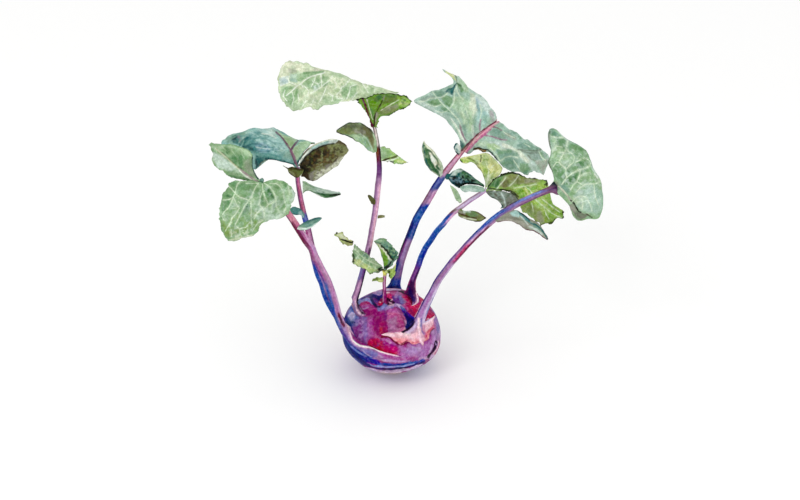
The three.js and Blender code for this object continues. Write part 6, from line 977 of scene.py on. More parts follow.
               ("349.6,79.6 345.6,84.4", 0.8), ("361,81 364.6,86.6 368,92.4", 0.8), ("357,92.4 352,99.6", 0.8), ("301,83.6 303,87.6", 0.7), ("340,102 344,99.6", 0.5), ("306,101 302,107", 0.4), ("314,99 311,106", 0.4),
               ("298,94 299,102", 0.4), ("350,86.6 356.6,84.4", 0.7), ("334,80 337,84 335,89", 0.5), ("328,93 333,96 332,101", 0.5), ("312,81 318,84 322,82", 0.4), ("285,90 283,96 287,101", 0.5), ("292,92 294,98 292,105", 0.5), ("304,86 309,91 307,97", 0.5), ("368,84.6 366,89", 0.5), ("376,88 374,91.6", 0.4)], vein_pig="white", vein_tone=0.9, ruffle=0.9),
    "centre_left_side_lobe": dict(edge=[("ink", 1.0, 0.95, "357,100 366,98 375,93 390,92 399,94.6"), ("ink", 0.8, 0.9, "405,95.4 412.6,99.6 411,105 400,110.4 390,114.6")], scallop=2.8, top=("grass", "leafgreen"), under=("leafgreen", "moss"), side_veins=0, auto=0, midrib=False,
        rim=["357,100.4 359.6,98.4 363,97.6 366.4,98.2 369.4,96.2 372,95.4 375,93 378.6,93.6 382,93 385.6,93.6 389,91.6 392,92.8 394.6,94 398,94.2 401,95 404.6,95 407,96 409,98 412.6,99.4 411.4,102 411,104.6 409,106.4 406,107.6 403,108.4 400,110 396,111.4 392,113.4 387.6,115.6 382,116.4 380,118 378,122 376,127",
             "371,127 369,119 367,113 363,108 360,104 357,100.6"],
        wash=[("A", "grass", "369,97 382,94.6 383,100 380,106 375,113 373,118 370,108", 3, 0.75), ("L", "forest", "377,99 380,97.4", 1.4, 2.4, 0.8), ("L", "dark", "371,110 373,117", 0.8, 1.6, 0.6),
              ("A", "moss", "384,96 396,95.6 398,99 390,103 383,105", 2.4, 0.8), ("L", "forest", "386,95.4 396,96.4", 0.7, 1.6, 0.5),
              ("A", "olive", "380,110 390,105.6 398,102 399,108 390,113 381,115.6", 2.4, 0.8), ("A", "taupe", "384,109 396,104 398,106 388,111", 2, 0.6),
              ("A", "lime", "398,97 406,97 411,101 410,105 404,107 398,106", 2.2, 0.95), ("L", "yellow", "401,103 408,104", 0.7, 1.6, 0.6), ("L", "dark", "403,99 405,100.6", 0.5, 0.8, 0.9), ("L", "dark", "402,102 403.6,103", 0.4, 0.7, 0.8),
              ("A", "grass", "358,100.6 362,99.6 365,106 367,112 362,107", 1.2, 0.9), ("A", "olive", "376,113 380,112 378,119 376,126 374.4,124", 1.4, 0.85),
              ("L", "cream", "366.8,99.6 368.6,106 370.6,113 372.6,119.6", 0.12, 0.7, 0.8), ("L", "wine", "362.6,98.6 364.8,103 366.4,108 368,114 370,120 372.4,126", 0.75, 0.6, 1.0), ("L", "plum", "361.6,98.4 364,103", 0.4, 0.7, 0.8),
              ("L", "bark", "383.4,97.6 381.4,103 378.4,108.4 376,112.6 374.4,118.6 374,126", 0.4, 0.6, 0.95), ("L", "taupe", "384.6,95.6 383.2,99.6", 0.3, 0.8, 0.7), ("L", "taupe", "376.8,113 375.6,121", 0.35, 0.7, 0.8),
              ("L", "cream", "398.4,100.2 392,103.8 386,107.2 381,110.4", 0.1, 0.6, 0.8), ("N", "moss", "366,98 384,94 404,97 408,104 392,112 378,116 370,108", 2.0, 0.45, 2.4, 1.0),
              ("L", "ink", "357,100.4 360,98.4 366,98.4 370,96 375,93 382,93.2 389,92 394,94 399,94.8", 0.45, 0.6, 0.95), ("L", "ink", "405,95.4 408.6,98 412.6,99.6 411,104.4", 0.4, 0.6, 0.9), ("L", "ink", "394,112.6 400,110 404.4,108", 0.45, 0.6, 0.85),
              ("L", "dark", "386,116 394,112.6", 0.3, 0.8, 0.6), ("L", "bone", "366,114 368.6,119", 0.3, 0.8, 0.6)], vein_tone=0.0, net=0.5),
    "centre_left_lobe_a": dict(edge=[("ink", 0.6, 0.85, "352,139 345,135.6 336,132 343,126 350,122.6 362,123.4 371,129")], top=("mid", "light"), under=("olive", "umber"), side_veins=0, auto=0, midrib=False,
        rim=["335.8,131 339,128.4 343,126 346,124 350,122.2 353,123.4 356,122.6 360,122.4 364,124.6 368,127 371,129",
             "336,132.4 340,134 344,135.4 348,136.8 352,138.6 355.4,141.6 358,142 361.6,144 365,147.4 368,150.4 372,152 375,155"],
        wash=[("A", "olive", "336,131 345,125 352,122.8 362,123.6 370,128.6 374,137 374,150 370,146 366,139 360,134 350,134.6 340,134", 1.6, 0.9),
              ("A", "umber", "360,125 369,128 373,136 373,146 369,141 365,133", 2.4, 0.7), ("L", "greydark", "346,126.6 354,125.6 362,127.4", 0.9, 2.0, 0.6), ("L", "taupe", "356,131 364,132.6", 0.9, 1.8, 0.8), ("L", "moss", "342,131 350,129.6", 1.2, 2.2, 0.6),
              ("A", "light", "352,135 359,133.6 367,137.6 371,146 375,154 368,150 360,143 355,140", 1.4, 0.95), ("L", "deep", "366,139 370,147", 0.9, 1.8, 0.8), ("L", "mid", "360,140 366,147", 0.9, 1.8, 0.6),
              ("L", "mist", "361,134 367,139 372,148", 0.12, 0.8, 0.5), ("N", "seamid", "352,136 364,136 372,148 372,154 360,143", 1.5, 0.6, 1.8, 1.0), ("N", "greydark", "337,131 350,124 364,126 372,136 366,138 352,134", 1.5, 0.5, 2.0, 1.0),
              ("L", "ink", "336,131.8 341,134.2 347,136 352,138.4 356.4,142", 0.5, 0.7, 0.95), ("L", "ink", "337,130 343,126 349,123 358,122.6", 0.3, 0.7, 0.8), ("L", "bark", "362,124 369,128 372.4,133", 0.4, 0.9, 0.7)], vein_tone=0.0, net=0.5),
    "centre_left_lobe_b": dict(edge=[("moss", 0.5, 0.6, None)], scallop=2.0, top=("light", "lime"), under=("light", "olive"), side_veins=0, auto=0, midrib=False,
        rim=["379,146 382,146.6 384.6,145.6 386.4,148 388.4,149.4 390,148.6 392,151 395,153 397.4,155 400,157.4 402.4,159.6 407,162 405,163 400,164 397,163.2 394.4,164.6 391.6,162.4"],
        wash=[("A", "mid", "380,148 388,150 392,155 386,158 381,158", 2.4, 0.7), ("A", "lime", "392,157 399,157.6 406,162 398,163.6 392,161", 1.6, 0.7), ("L", "yellow", "398,161 405,162.4", 0.5, 1.2, 0.7),
              ("L", "moss", "381.4,162 385,159.4 390,158 394,158.2 397,156", 0.35, 0.6, 0.95), ("L", "white", "384,163 388,161 393,161.4", 0.4, 0.7, 0.85), ("L", "bark", "382.6,163.6 386,161.6 390,160", 0.25, 0.6, 0.8),
              ("L", "ink", "383.4,167 386,164.4 390,162.6 393,162.4", 0.45, 0.7, 0.85), ("L", "white", "383,162.8 388,160.4 393,159.6 398,157.8", 0.3, 0.6, 0.85), ("L", "bark", "381,161.8 386,159.4 391,157.8 397.4,155.6", 0.4, 0.6, 0.95), ("L", "ink", "381.6,164.6 385,162.6 389,161.6 394,161.4", 0.4, 0.6, 0.9)], vein_tone=0.0),
    "centre_left_bract_a": dict(top=("moss", "umber"), under=("moss", "umber"), side_veins=0, auto=0, wash=[("L", "bark", "374,200 372,208", 0.4, 1.0, 0.5)], vein_tone=0.0),
    "centre_left_bract_b": dict(top=("olive", "umber"), under=("olive", "umber"), side_veins=0, auto=0, wash=[], vein_tone=0.0),
    "young_leaf_left": dict(edge=[("moss", 0.5, 0.55, None)], scallop=4.0, top=("mid", "light"), under=("olive", "mid"), side_veins=0, auto=0, midrib=False,
        rim=["354.6,245 358,247 361,249.4 365,252 369,255 373,257.4 376,261 379,263.6 384,266.4",
             "381,271 378,272.6 374,272 371,274 369,272.4 366,269.4 362,267.6 360,268 357,266 353,264.6 351.6,262.6 353.2,259.6 352.6,256.6 353.6,253.6 352,250.6 353.4,248.4 354.4,245"],
        wash=[("A", "deep", "360,250 370,256 376,262 372,266 364,260 358,254", 3, 0.7), ("L", "seadeep", "364,254 372,259", 0.9, 2.2, 0.7), ("A", "yellow", "353,259 360,260 370,266 378,270 370,272 360,267 353,263", 2.6, 0.6),
              ("A", "light", "354,247 360,252 358,258 353,254", 2, 0.5), ("L", "dark", "354.6,253 356,259", 0.7, 1.6, 0.5), ("L", "lime", "364,266 372,271", 1.0, 2.2, 0.6),
              ("L", "ink", "353.4,255 353.8,257.4", 0.6, 0.6, 0.95), ("L", "ink", "353.8,259 353.4,261.6", 0.7, 0.6, 0.95), ("L", "bark", "352.4,263.4 355,265.4 357.4,266.6", 0.4, 0.6, 0.9),
              ("L", "bark", "370,273.6 374,272.6 378,272.6 382,270.6", 0.3, 0.6, 0.8), ("L", "ink", "377.4,270.4 380,268.6 382.4,266.6 385,266.8", 0.7, 0.6, 1.0), ("L", "ink", "380,271 384,268.8", 0.5, 0.5, 0.95), ("N", "pale", "354,247 364,251 374,258 382,266 376,271 362,266 354,260", 2.5, 0.55, 2.2, 1.0), ("N", "deep", "354,247 364,251 374,258 382,266 376,271 362,266 354,260", 2.5, 0.5, 1.7, 1.0), ("N", "yellow", "353,258 362,261 372,267 378,271 368,270 356,265", 1.5, 0.6, 1.8, 1.0)],
        veins=[("383,267 372,262.6 362,257 355,249", 0.9), ("376,264 375,269", 0.5), ("370,261.6 368,268", 0.5), ("364,258 361,264", 0.5), ("359.6,254.4 355.6,259", 0.5), ("368,260 370,256.6", 0.4), ("362,256.6 364,253", 0.4)], vein_tone=0.7),
    "young_leaf_tip": dict(edge=[("moss", 0.5, 0.55, None)], scallop=3.4, top=("yellow", "lime"), under=("yellow", "lime"), side_veins=0, auto=0, midrib=False,
        rim=["336,232 338,234.6 341,231.6 343,233.6 344.4,236 347,238 349,239.6 352,240 354.6,241.6 355,244.4 352,245.6 349,245.4 347,247 345,245.6 342.4,243.6 341,241 339.6,238.6 337,237 335.4,236"],
        wash=[("L", "cream", "338,234 344,238", 0.9, 1.6, 0.7), ("L", "olive", "342,243 348,244.6 352,245", 0.8, 1.2, 0.7),
              ("L", "ink", "340.6,239.4 345,240.4 349.6,242 351.4,242.4", 0.6, 0.6, 1.0), ("L", "ink", "353,241.4 354,243.4", 1.0, 0.7, 1.0), ("L", "ink", "336,233", 0.9, 0.6, 1.0), ("L", "bark", "337.4,237 339,238", 0.4, 0.6, 0.9), ("L", "bark", "343,244 345,245.4", 0.4, 0.6, 0.6)], vein_tone=0.0),
    "young_leaf_right": dict(edge=[("forest", 0.5, 0.6, None)], scallop=4.2, top=("deep", "seadeep"), under=("leafgreen", "moss"), side_veins=0, auto=0, midrib=False,
        rim=["374,241 376.6,239.8 379,240.2 381,238.8 384,239 386.6,241 389.6,244 393,246.4 396,250 398,253.4 397.4,256.6 395.4,259.4 392.6,262", "384,267.6 383.4,263 383,257.6 381.4,253 379,248.6 376.4,244.4 374,242"],
        wash=[("A", "seadeep", "381,240 386,241 391,246 390,251 385,249", 2, 0.85), ("A", "forest", "389,247 395,249 397.6,254 393,261 390,256", 1.8, 0.95), ("L", "tealink", "392,249.4 394.6,253.6", 0.6, 1.6, 0.7),
              ("A", "light", "374.6,241 381,239.4 384,241.6 380,242.6", 0.9, 0.85),
              ("A", "leafgreen", "376,244 381,246 385,252 384,256 381,252", 1.4, 0.9), ("A", "grass", "383,256 387,254 389,259 387,266 384,266", 1.4, 1.0), ("L", "lime", "379,247 382.6,253.6 383.6,260", 0.35, 0.9, 0.8),
              ("L", "olive", "386,251 388,256", 0.9, 1.4, 0.7), ("L", "white", "386.6,255 389.6,258.6", 0.3, 0.7, 0.6),
              ("L", "bark", "375.4,243 378.6,244.4 381,243.6", 0.5, 0.6, 0.9), ("L", "ink", "382,245.6 384.4,248.6", 0.3, 0.6, 0.9), ("L", "ink", "386,249.4 388.6,250.6 388.8,255 391,257 391.4,259 393.4,260", 0.5, 0.6, 0.95),
              ("A", "lime", "376,244 380,246 384,250.6 386.6,255 384,259 381.6,253", 0.8, 0.75), ("A", "grass", "382.6,254.6 386.4,252.6 388,258 387.4,264 384,266 383,260", 1.0, 1.0), ("N", "tealdark", "382,241 390,244 397,251 396,257 390,258 385,249", 1.5, 0.7, 1.8, 1.0), ("N", "mid", "381,240 390,244 397,251 394,258 388,252", 1.5, 0.6, 1.5, 1.0), ("L", "cream", "376.6,243.6 379.6,245 380,248 383,248.6 384,251.4 386,252 386,254.6 388.4,256 388.6,258.4 391,260", 0.3, 0.6, 0.95), ("L", "ink", "381,245.6 381.6,247.2 384,247.6 385,250.2 387.2,251 387.6,253.6 389.8,255 390.4,257.4 393.6,259.4", 0.3, 0.5, 0.95), ("L", "ink", "384,268 387,266.4 389.4,264.8 391,262", 0.75, 0.6, 1.0), ("L", "ink", "386,268.6 388.6,267", 0.4, 0.5, 0.95)], vein_tone=0.0),
    "young_leaf_frill": dict(scallop=1.4, top=("yellow", "lime"), under=("yellow", "lime"), side_veins=0, auto=0, midrib=False,
        rim=["398,254 397.6,258 395,262 396,264 393.4,267 393.6,271 395,273.6 393,276.4 391,279.4 388.6,277.6 389.6,274 388.4,271"],
        wash=[("L", "cream", "397,256 394,264 390,268", 0.8, 1.4, 0.8), ("A", "lime", "389,270 393,271 394.6,274 391,278 389,275", 1.2, 0.95), ("L", "ink", "388.4,272.6 389.4,273", 0.6, 0.6, 0.95), ("L", "ink", "389.6,275.4", 0.6, 0.6, 0.9), ("L", "grass", "391,274 391.4,277", 0.4, 0.9, 0.7), ("N", "leafgreen", "388,268 396,262 397,270 392,280 387,277", 1.5, 0.7, 1.8, 1.0), ("L", "ink", "387.6,271 389,271.6", 0.7, 0.5, 0.9), ("L", "ink", "388,275 389.4,275.6", 0.6, 0.5, 0.9)], vein_tone=0.0),
    "young_leaf_low": dict(scallop=1.2, top=("olive", "lime"), under=("olive", "lime"), side_veins=0, auto=0, rim=["371.4,281.6 373.4,279 376,278.6 376.6,276.6 379,278.2 382,277.6 384,279", "384,281.6 381,282.8 378,281 375,280.6 372,282"],
        wash=[("L", "yellow", "379,281 383,281.6", 0.7, 1.0, 0.9), ("L", "moss", "373,280.4 377,279", 0.6, 1.0, 0.7)], vein_tone=0.0),
    "back_blade_left": dict(scallop=0.8, push=[(455, 68, 82, -7.6, 0.6)], widen=[(69.8, 74.8, 1.5, "443.6,69 444.6,70 446.8,72 450.8,75 454,80 456,84")], reach_min=2.6, top=("sea", "seamid"), under=("seamid", "light"), side_veins=0, auto=0, midrib=False,
        rim=["460,146 459.6,139 456.4,133 453,128.6 450,125 447,120.6 443,117.4 438,114.4 433,112 428,109.4 422,106.6 418,104.4 413.6,101.4",
             "413.6,101 419,99 423,96.4 427,94 431,91 435,90 440,89.8 444.6,91.4 448,88.6 452,86.6 455,83.4 455.6,80 453,77.4 449.6,75.6 446,73 443.8,69.4",
             "458.6,157 465,149.4 471,143.2 477.6,136.6 484,131.2 490,126.6 497.6,121.2",
             "444,69 447,68 450,69 453,69.6 456,73 459.6,77 463,80.6 466.6,85 470,90.4 475,92.4 480,95 485,99.4 488,103 489.6,107.6 493.6,110.6 496,114.6 497,120"],
        wash=[("A", "light", "453,98 462,96 470,100 474,112 474,124 468,134 464,124 458,112 452,108", 4, 0.8), ("A", "light", "458,76 466,84 470,92 464,92 457,84", 2.4, 0.75),
              ("A", "cream", "470,93 476,95 477,108 474,118 470,108", 3, 0.65), ("A", "mist", "475,92 486,100 492,112 496,118 488,118 482,106 476,99", 3, 0.85), ("A", "bluegrey", "476,98 482,104 480,112 476,108", 2.4, 0.55),
              ("A", "teallight", "478,110 488,112 490,120 482,126 476,124", 3, 0.8), ("L", "tealmid", "485,112 486,122", 0.6, 2, 0.4), ("L", "tealmid", "477,104 480,112", 0.5, 2, 0.35), ("L", "mauve", "491,112 492.6,120", 0.7, 2.4, 0.5),
              ("L", "seadeep", "466,112 468.6,118 469.6,124", 0.5, 2, 0.6), ("L", "seadeep", "464,126 466,136", 0.8, 2.4, 0.6), ("L", "seadeep", "474,116 474,130", 0.6, 2.2, 0.5), ("L", "light", "470,118 471,130", 0.6, 1.6, 0.7), ("L", "sea", "467,130 468,138", 0.5, 1.6, 0.6),
              ("L", "white", "472,126 473.6,138", 0.5, 1.6, 0.5), ("L", "mauve", "475,134 473,142", 0.2, 1.4, 0.5),
              ("A", "seagrey", "420,99 431,94.6 436,97 428,100 422,101.4", 1.4, 0.9), ("A", "seadeep", "434,91 444.6,91.6 446,94 440,96.6 434,95", 1.4, 0.85), ("A", "deep", "428,101.4 438,99.4 443,105.6 435,106 430,104.6", 1.4, 0.95), ("L", "dark", "430,102.4 440,104.6", 0.4, 1.2, 0.5),
              ("A", "deep", "441,98 447,95.4 453,97.6 453,103 450,107 445,104", 1.4, 0.9), ("L", "dark", "446,103.6 449,106", 0.5, 1.2, 0.6), ("A", "dark", "442,106 446,107.4 450,112 444,111 441,108.6", 1.2, 0.8),
              ("A", "mist", "414,101.4 422,101 432,108 444,114 452,118 456,126 450,122 440,114 426,108", 2, 0.75), ("A", "sea", "440,112 450,115 458,126 454,127 446,119", 2, 0.7), ("L", "seadeep", "448,114.6 456,118", 0.6, 1.4, 0.6),
              ("L", "mauve", "460,125 461,130 463,136 466,141", 0.35, 0.9, 0.85), ("L", "white", "451,118.6 456,125 459.6,132 462.6,139 465.4,143", 0.4, 0.9, 0.9),
              ("A", "tealdark", "460,140.6 464,143 465,146.6 461.6,149.6 459.8,146", 1.2, 0.95),
              ("A", "tealdark", "444,92.6 448.6,88.8 453,86.8 456.4,82.6 456,86 453.6,90 453,95.6 451,95 449,93", 0.8, 1.0), ("L", "tealmid", "450,91.4 453,88.6", 0.5, 1.0, 0.6), ("A", "dark", "457,83 460.6,84.4 463.6,90 461,93 458.4,88", 1.0, 0.9), ("L", "forest", "457,83.4 461,86", 0.5, 0.9, 0.8),
              ("A", "yellow", "444,69.6 448,69 453,73 455.6,80 450,76 446,73", 0.9, 0.85), ("L", "cream", "451,71 455,76", 0.4, 0.9, 0.7), ("L", "mist", "451,69.6 456,74 459,78", 0.5, 0.9, 0.7),
              ("L", "moss", "450,70 453.6,73.4 456.2,77 456.8,82", 0.3, 0.6, 0.95),
              ("L", "mauve", "480,131 479.6,126 480.6,120", 0.5, 1.0, 0.85), ("L", "rose", "459,156 465,149.4 471,143 477.6,136.4 484,131 490,126.4 497.6,120.6", 1.3, 0.6, 1.0),
              ("L", "wine", "459.6,152.6 466,145.8 472,139.8 478.6,133.4 486,128 497.6,120.4", 0.45, 0.6, 0.95)],
        veins=[("432.4,92 436.4,96.8 440.4,101.4 445,106.4 449,109.6 453.4,114.4 458.4,119.6 460.4,124", 1.3), ("436,98 430.4,98.2 425.4,101 419.4,101.6", 1.0), ("436.6,97.4 441.6,97.4 445,95.4 447.4,93", 1.0),
               ("426,103 431,106 436.4,106.4 441,104.6", 0.9), ("452,121.6 457,128.6 461,138", 0.9), ("456,86 457.2,91 460,96.4 463.4,99.6", 1.1), ("455,88 454.4,95.6 454.2,101 452.4,105 450,108", 0.8),
               ("472,99 474,108 473,116", 0.7), ("462,101 466,108 468,116", 0.5), ("480,120 481.4,112 480,104", 0.6), ("447,111 442,112.6 436,111", 0.6), ("462,112 465,118 464,124", 0.4)],
        ribs=[("459,156 465,149.4 471,143 477.6,136.4 484,131 490,126.4 497.6,120.6", 1.5)], vein_tone=0.8),
    "back_blade_right": dict(scallop=1.6, top=("sea", "seamid"), under=("seagrey", "light"), side_veins=0, auto=0, midrib=False,
        rim=["458.6,156 465,148.4 471,142.2 477.6,135.6 484,130.2 490,125.6 497.6,120.2",
             "497.6,120.6 501,123 504.6,125 507,129 511,129.6 515,131.4 519,134 521,137 523,139.8 528,140 532,143 536,146 540.6,148 543,150.6 546,152 549,155 549,160 547.6,165 545.6,170 543.4,175.6",
             "543.4,175.6 541.6,171 539,169.6 537,172 533.4,170.6 532,172.6 529.4,172 528,175.4 524,174 521,172 517,171.4 514,172.6 510,171 507,169 503.6,167.6 500,163.6 497,159.6 494,156.6 490.6,152.6 488,150.6 485,152.6 481,151.6 478,149.4 475,149.4 472,152.4 469,155 466.6,153 463,153.4"],
        wash=[("A", "sea", "470,146 484,139 500,141 520,148 530,156 514,152 498,150 484,149", 4, 0.5),
              ("A", "seadeep", "486,131 496,128 504,132 508,139 500,139 490,136", 2.4, 0.75), ("A", "seamid", "497,121 508,129 520,136 522,141 512,138 502,131", 3, 0.7), ("L", "seadeep", "512,131 520,137", 0.7, 1.6, 0.6), ("L", "taupe", "506,134 514,138", 0.7, 1.8, 0.6),
              ("A", "mist", "478,143 490,141 503,142 515,148 525,154 534,162 538,171 531,170 524,160 512,152 498,147 484,146", 2.4, 0.8), ("L", "cream", "504,145 518,152 528,161", 0.9, 2.4, 0.6),
              ("A", "light", "476,144 486,140 489,144 482,147", 2.4, 0.7), ("A", "lime", "487,144 498,144 500,148 494,151 488,148", 2.6, 0.55), ("A", "seagrey", "466,151 474,145 486,147 480,149 473,150 469,153.6", 1.6, 0.85),
              ("A", "seadeep", "497,150 508,149 518,152 519,156 508,158 500,160 497,156", 2.4, 0.85), ("L", "deep", "499,153 510,151", 0.8, 1.8, 0.5), ("A", "seadeep", "501,161 512,158 518,161 520,170 508,169 502,165", 2.4, 0.9), ("L", "dark", "503,163 512,162", 0.7, 1.8, 0.45),
              ("A", "deep", "520,164 528,164 531,170 526,174 520,171", 2, 0.75), ("L", "tealmid", "524,173.6 527.6,171", 0.6, 1.2, 0.5),
              ("A", "seadeep", "517,146 521,142.6 530,144 540,148.6 536,150.6 526,149.6", 1.6, 0.85), ("L", "greydark", "518,149.6 526,150.4 536,151 541,149.4", 0.3, 0.8, 0.7), ("A", "seagrey", "521,151 536,152.6 547,154.4 547,158 536,160 528,156", 1.8, 0.8),
              ("L", "greydark", "522,151.6 530,153 538,152.6", 0.3, 0.9, 0.55), ("L", "greydark", "528,155.4 531.4,159.4 536,160.8", 0.3, 0.9, 0.6), ("A", "taupe", "534,161 548,159 546.6,167 543.4,175 539,168", 2, 0.8), ("L", "deep", "541,153 544,158", 0.5, 1.2, 0.6),
              ("L", "mauve", "483.6,135.2 490,136 496,137.8 501.6,139.6 507,140", 0.35, 0.9, 0.95), ("L", "mauve", "492,126.4 497,127.6 501,130", 0.4, 0.8, 0.95), ("L", "wine", "493,126.6 499,128.6", 0.2, 0.6, 0.6),
              ("A", "ochre", "474,147.4 480,147.6 487,150 486,153.6 479,153.6 474.6,151.6", 0.7, 1.0), ("L", "bark", "476,150.4 480,150.6 485,152.6", 0.5, 0.8, 0.8), ("L", "ink", "473.6,149.2 478,147.8 484,149.4 488,149.8 492,153.6 497,159.6", 0.45, 0.6, 0.95), ("L", "tealink", "464,153.6 467,153.4 469.4,155 472.4,152.4 475,151.6", 0.5, 0.7, 0.9),
              ("L", "rose", "462,154 466.4,149.6 472,143.6 478.6,137.2 485,131.6 490.6,127 497.6,121.4", 1.1, 0.6, 1.0),
              ("L", "pinkm", "464.6,154.4 469,149.4 474,144 480.6,137.6 486,133.4 491,129", 0.5, 0.7, 0.9)],
        veins=[("500.6,161 505,157.4 511,156 517.6,157.6", 1.0), ("513.4,160 517,165 520,170", 1.0), ("490,148 495,153 500,160.6", 0.8), ("503,131.4 508,135 515,138", 0.7), ("539,152 542,157.6 545.4,160", 0.8), ("520,151 524,155 526,160", 0.5),
               ("506,150 500,149.6 494,146", 0.6), ("524,143.6 530,147", 0.5)],
        ribs=[("462,154 466.4,149.6 472,143.6 478.6,137.2 485,131.6 490.6,127 497.6,121.4", 1.4), ("483.6,135.2 490,136 496,137.8 501.6,139.6", 0.6), ("492,126.4 497,127.6 501,130", 0.5)], vein_tone=0.8),
    "back_leaflet_left": dict(edge=[("deep", 0.5, 0.5, None)], top=("cream", "mist"), under=("seadeep", "mist"), side_veins=0, auto=0, midrib=False,
        rim=["423.6,140.6 422.2,145 421.8,150 423,155.6 424.6,161 426.6,166 430,170 434,173 438,175.6 441,176.6 443,172 443,167 441,161.6 437.6,156.6 434,151.6 430,147.4 426.4,144.6 424,141"],
        wash=[("A", "deep", "423,142 427,147 429,156 433,167 438,174 432,171 426,165 423,156", 1.4, 0.85), ("A", "dark", "425,148 428,150 431,160 436,169 439,175 433,172 427,164", 1.2, 0.9), ("L", "forest", "427.6,150 430,159 434,168 439,175", 0.8, 1.0, 0.95), ("N", "forest", "423,144 428,148 431,160 437,172 432,171 426,164 423,155", 1.2, 0.85, 2.0, 0.6), ("N", "forest", "432,164 438,166 442,174 437,174", 1.0, 0.8, 1.6, 1.0), ("L", "tealdark", "422.4,142 423.4,148 424.6,156 427,164 431,170.6", 0.45, 0.8, 0.8),
              ("A", "white", "430,153 434,156.6 436.6,162 433,164 431,159", 0.9, 0.95), ("L", "forest", "428,149.6 431.6,152.6 434.4,156.4 437.4,159.6 438.4,163.4 436.6,166.4 440,170", 0.45, 0.7, 0.95), ("L", "light", "436,155 441,164 442,172", 0.8, 1.4, 0.6), ("L", "olive", "438,163 440.6,167", 0.5, 1, 0.5)], vein_tone=0.2),
    "back_leaflet_right": dict(top=("tealdark", "dark"), under=("deep", "dark"), side_veins=0, auto=0, midrib=False,
        rim=["448.6,178.6 450,174 453,171 457,169 461,168.8 464,170.4 468,172.4 472,175.6 475.6,178.6 479,182 483.4,186.6", "483.4,186.6 478,185 472,184.4 466,184 462,186 459.4,188.6 456,186.4 452,183.4 448.6,179"],
        # the first mist patch is a painted highlight on the upper left
        wash=[("A", "mist", "450,176 453,171.4 458,169.2 463,170.2 459,172.4 455,175.4", 1.2, 0.95), ("A", "seadeep", "468,174 474,178 481,184.6 474,183 468,180", 1.6, 0.9), ("A", "dark", "462,171 467,173 470,178 464,178 460,175", 1.6, 0.95), ("L", "forest", "464,172.4 469,178", 0.9, 1.6, 0.6),
              ("A", "tealink", "449,178 455,175.6 461,178 468,181 462,185 459,188 453,184", 1.6, 0.95), ("L", "ink", "458,187.6 463,184 470,183.2 478,184.4 483,186.4", 0.8, 0.8, 1.0), ("L", "bluegrey", "452,180 457,181", 0.7, 1.8, 0.5), ("L", "mist", "450,177.6 453,178.4", 0.3, 0.8, 0.4), ("N", "ink", "451,178 458,174 468,176 476,181 468,184 460,187 454,184", 1.6, 0.95, 2.0, 1.0), ("N", "seadeep", "456,172 466,173 474,178 468,181 458,177", 1.6, 0.7, 1.8, 1.0), ("N", "bluegrey", "452,178 460,177 466,181 458,184", 1.4, 0.6, 1.6, 1.0)], vein_tone=0.1),
    "back_leaflet_knob": dict(top=("mist", "teallight"), under=("mist", "teallight"), side_veins=0, auto=0, scallop=0.1,
        wash=[("L", "tealdark", "457,143.4 454.4,144.6 453.2,147.6 454,151 457,153.6", 0.9, 0.8, 1.0), ("L", "tealink", "455,152 459,154.6", 0.7, 0.8, 0.9), ("L", "white", "458.6,146 459.6,150", 0.6, 0.8, 0.9), ("L", "tealmid", "456.6,149 457.8,151", 0.5, 0.8, 0.8)], vein_tone=0.0),
    "right_mid_blade_up": dict(edge=[("moss", 0.5, 0.5, None)], top=("yellow", "light"), under=("lime", "leafgreen"), side_veins=0, auto=0, midrib=False,
        rim=["459.6,160 461,157.8 465,156.8 469,157 473,159 477,162 479.6,161.6 480,156 482,153.6 486,152.8 489,154 493,157.6 497,161.4 500.6,165 503,168 501.4,171.6 499.6,175 496.6,178", "460,161 463,163.4 467,163.6 471,162 474,163.4 477.4,167 481,171 483.4,176 485,181 485.6,187"],
        wash=[("A", "lime", "460,159 468,157.4 474,160 476,163 468,163 461,162", 1.4, 0.9), ("L", "yellow", "464,159 470,160", 0.5, 1.2, 0.5), ("L", "ink", "460.6,157.6 463.4,156.6", 0.6, 0.6, 0.95), ("L", "ink", "460,160 462,162", 0.6, 0.7, 0.9), ("L", "moss", "468,158 474,160.6 479,164.6", 0.4, 0.8, 0.7),
              ("A", "mid", "480.6,156 486,154.6 490,158 489,165 482,165.6", 2.4, 0.6), ("N", "leafgreen", "480,155 488,154 491,162 486,168 480,165", 2.0, 0.6, 2.0, 1.0), ("L", "ink", "480.9,155.4 481,158 480.4,161.4", 0.35, 0.7, 0.9), ("N", "leafgreen", "484,166 494,160 502,168 496,178 486,184", 3.0, 0.5, 2.6, 1.0), ("N", "cream", "488,164 498,162 501,170 492,178", 3.0, 0.4, 2.2, 1.0),
              ("A", "yellow", "490,157 497,162.6 502.6,168 499,174 494,178 490,170 488,163", 2.4, 0.8), ("A", "leafgreen", "483,169 489,168 491,175 487,181 484,176", 2, 0.75), ("L", "olive", "492,160 496,168", 0.7, 2.4, 0.4), ("L", "lime", "481,166 487,172", 0.8, 1.6, 0.5),
              ("L", "leafgreen", "494,172 491,178", 0.6, 1.6, 0.5), ("L", "moss", "476,164 480.6,169.6 484,177 485.6,186", 0.35, 0.7, 0.8), ("L", "cream", "489,172 487,182", 0.4, 1.0, 0.6)],
        veins=[("486,186 488,177 488.6,170 486,163", 0.8), ("488.6,170 494,165", 0.6), ("488,176 493,173", 0.5), ("487,181 492,179.6", 0.5)], vein_tone=0.6),
    "right_mid_blade": dict(edge=[("ink", 1.15, 0.97, "486,187 493,180 499,175.6 506,173.6 514,173 523,177 534,178 545,180.6 547,183.6 541,187"), ("bark", 0.7, 0.85, "563,210 562.6,218.6 554,220 551,223 541,225 534,220")], scallop=2.9, top=("leafgreen", "lime"), under=("olive", "moss"), side_veins=0, auto=0, midrib=False,
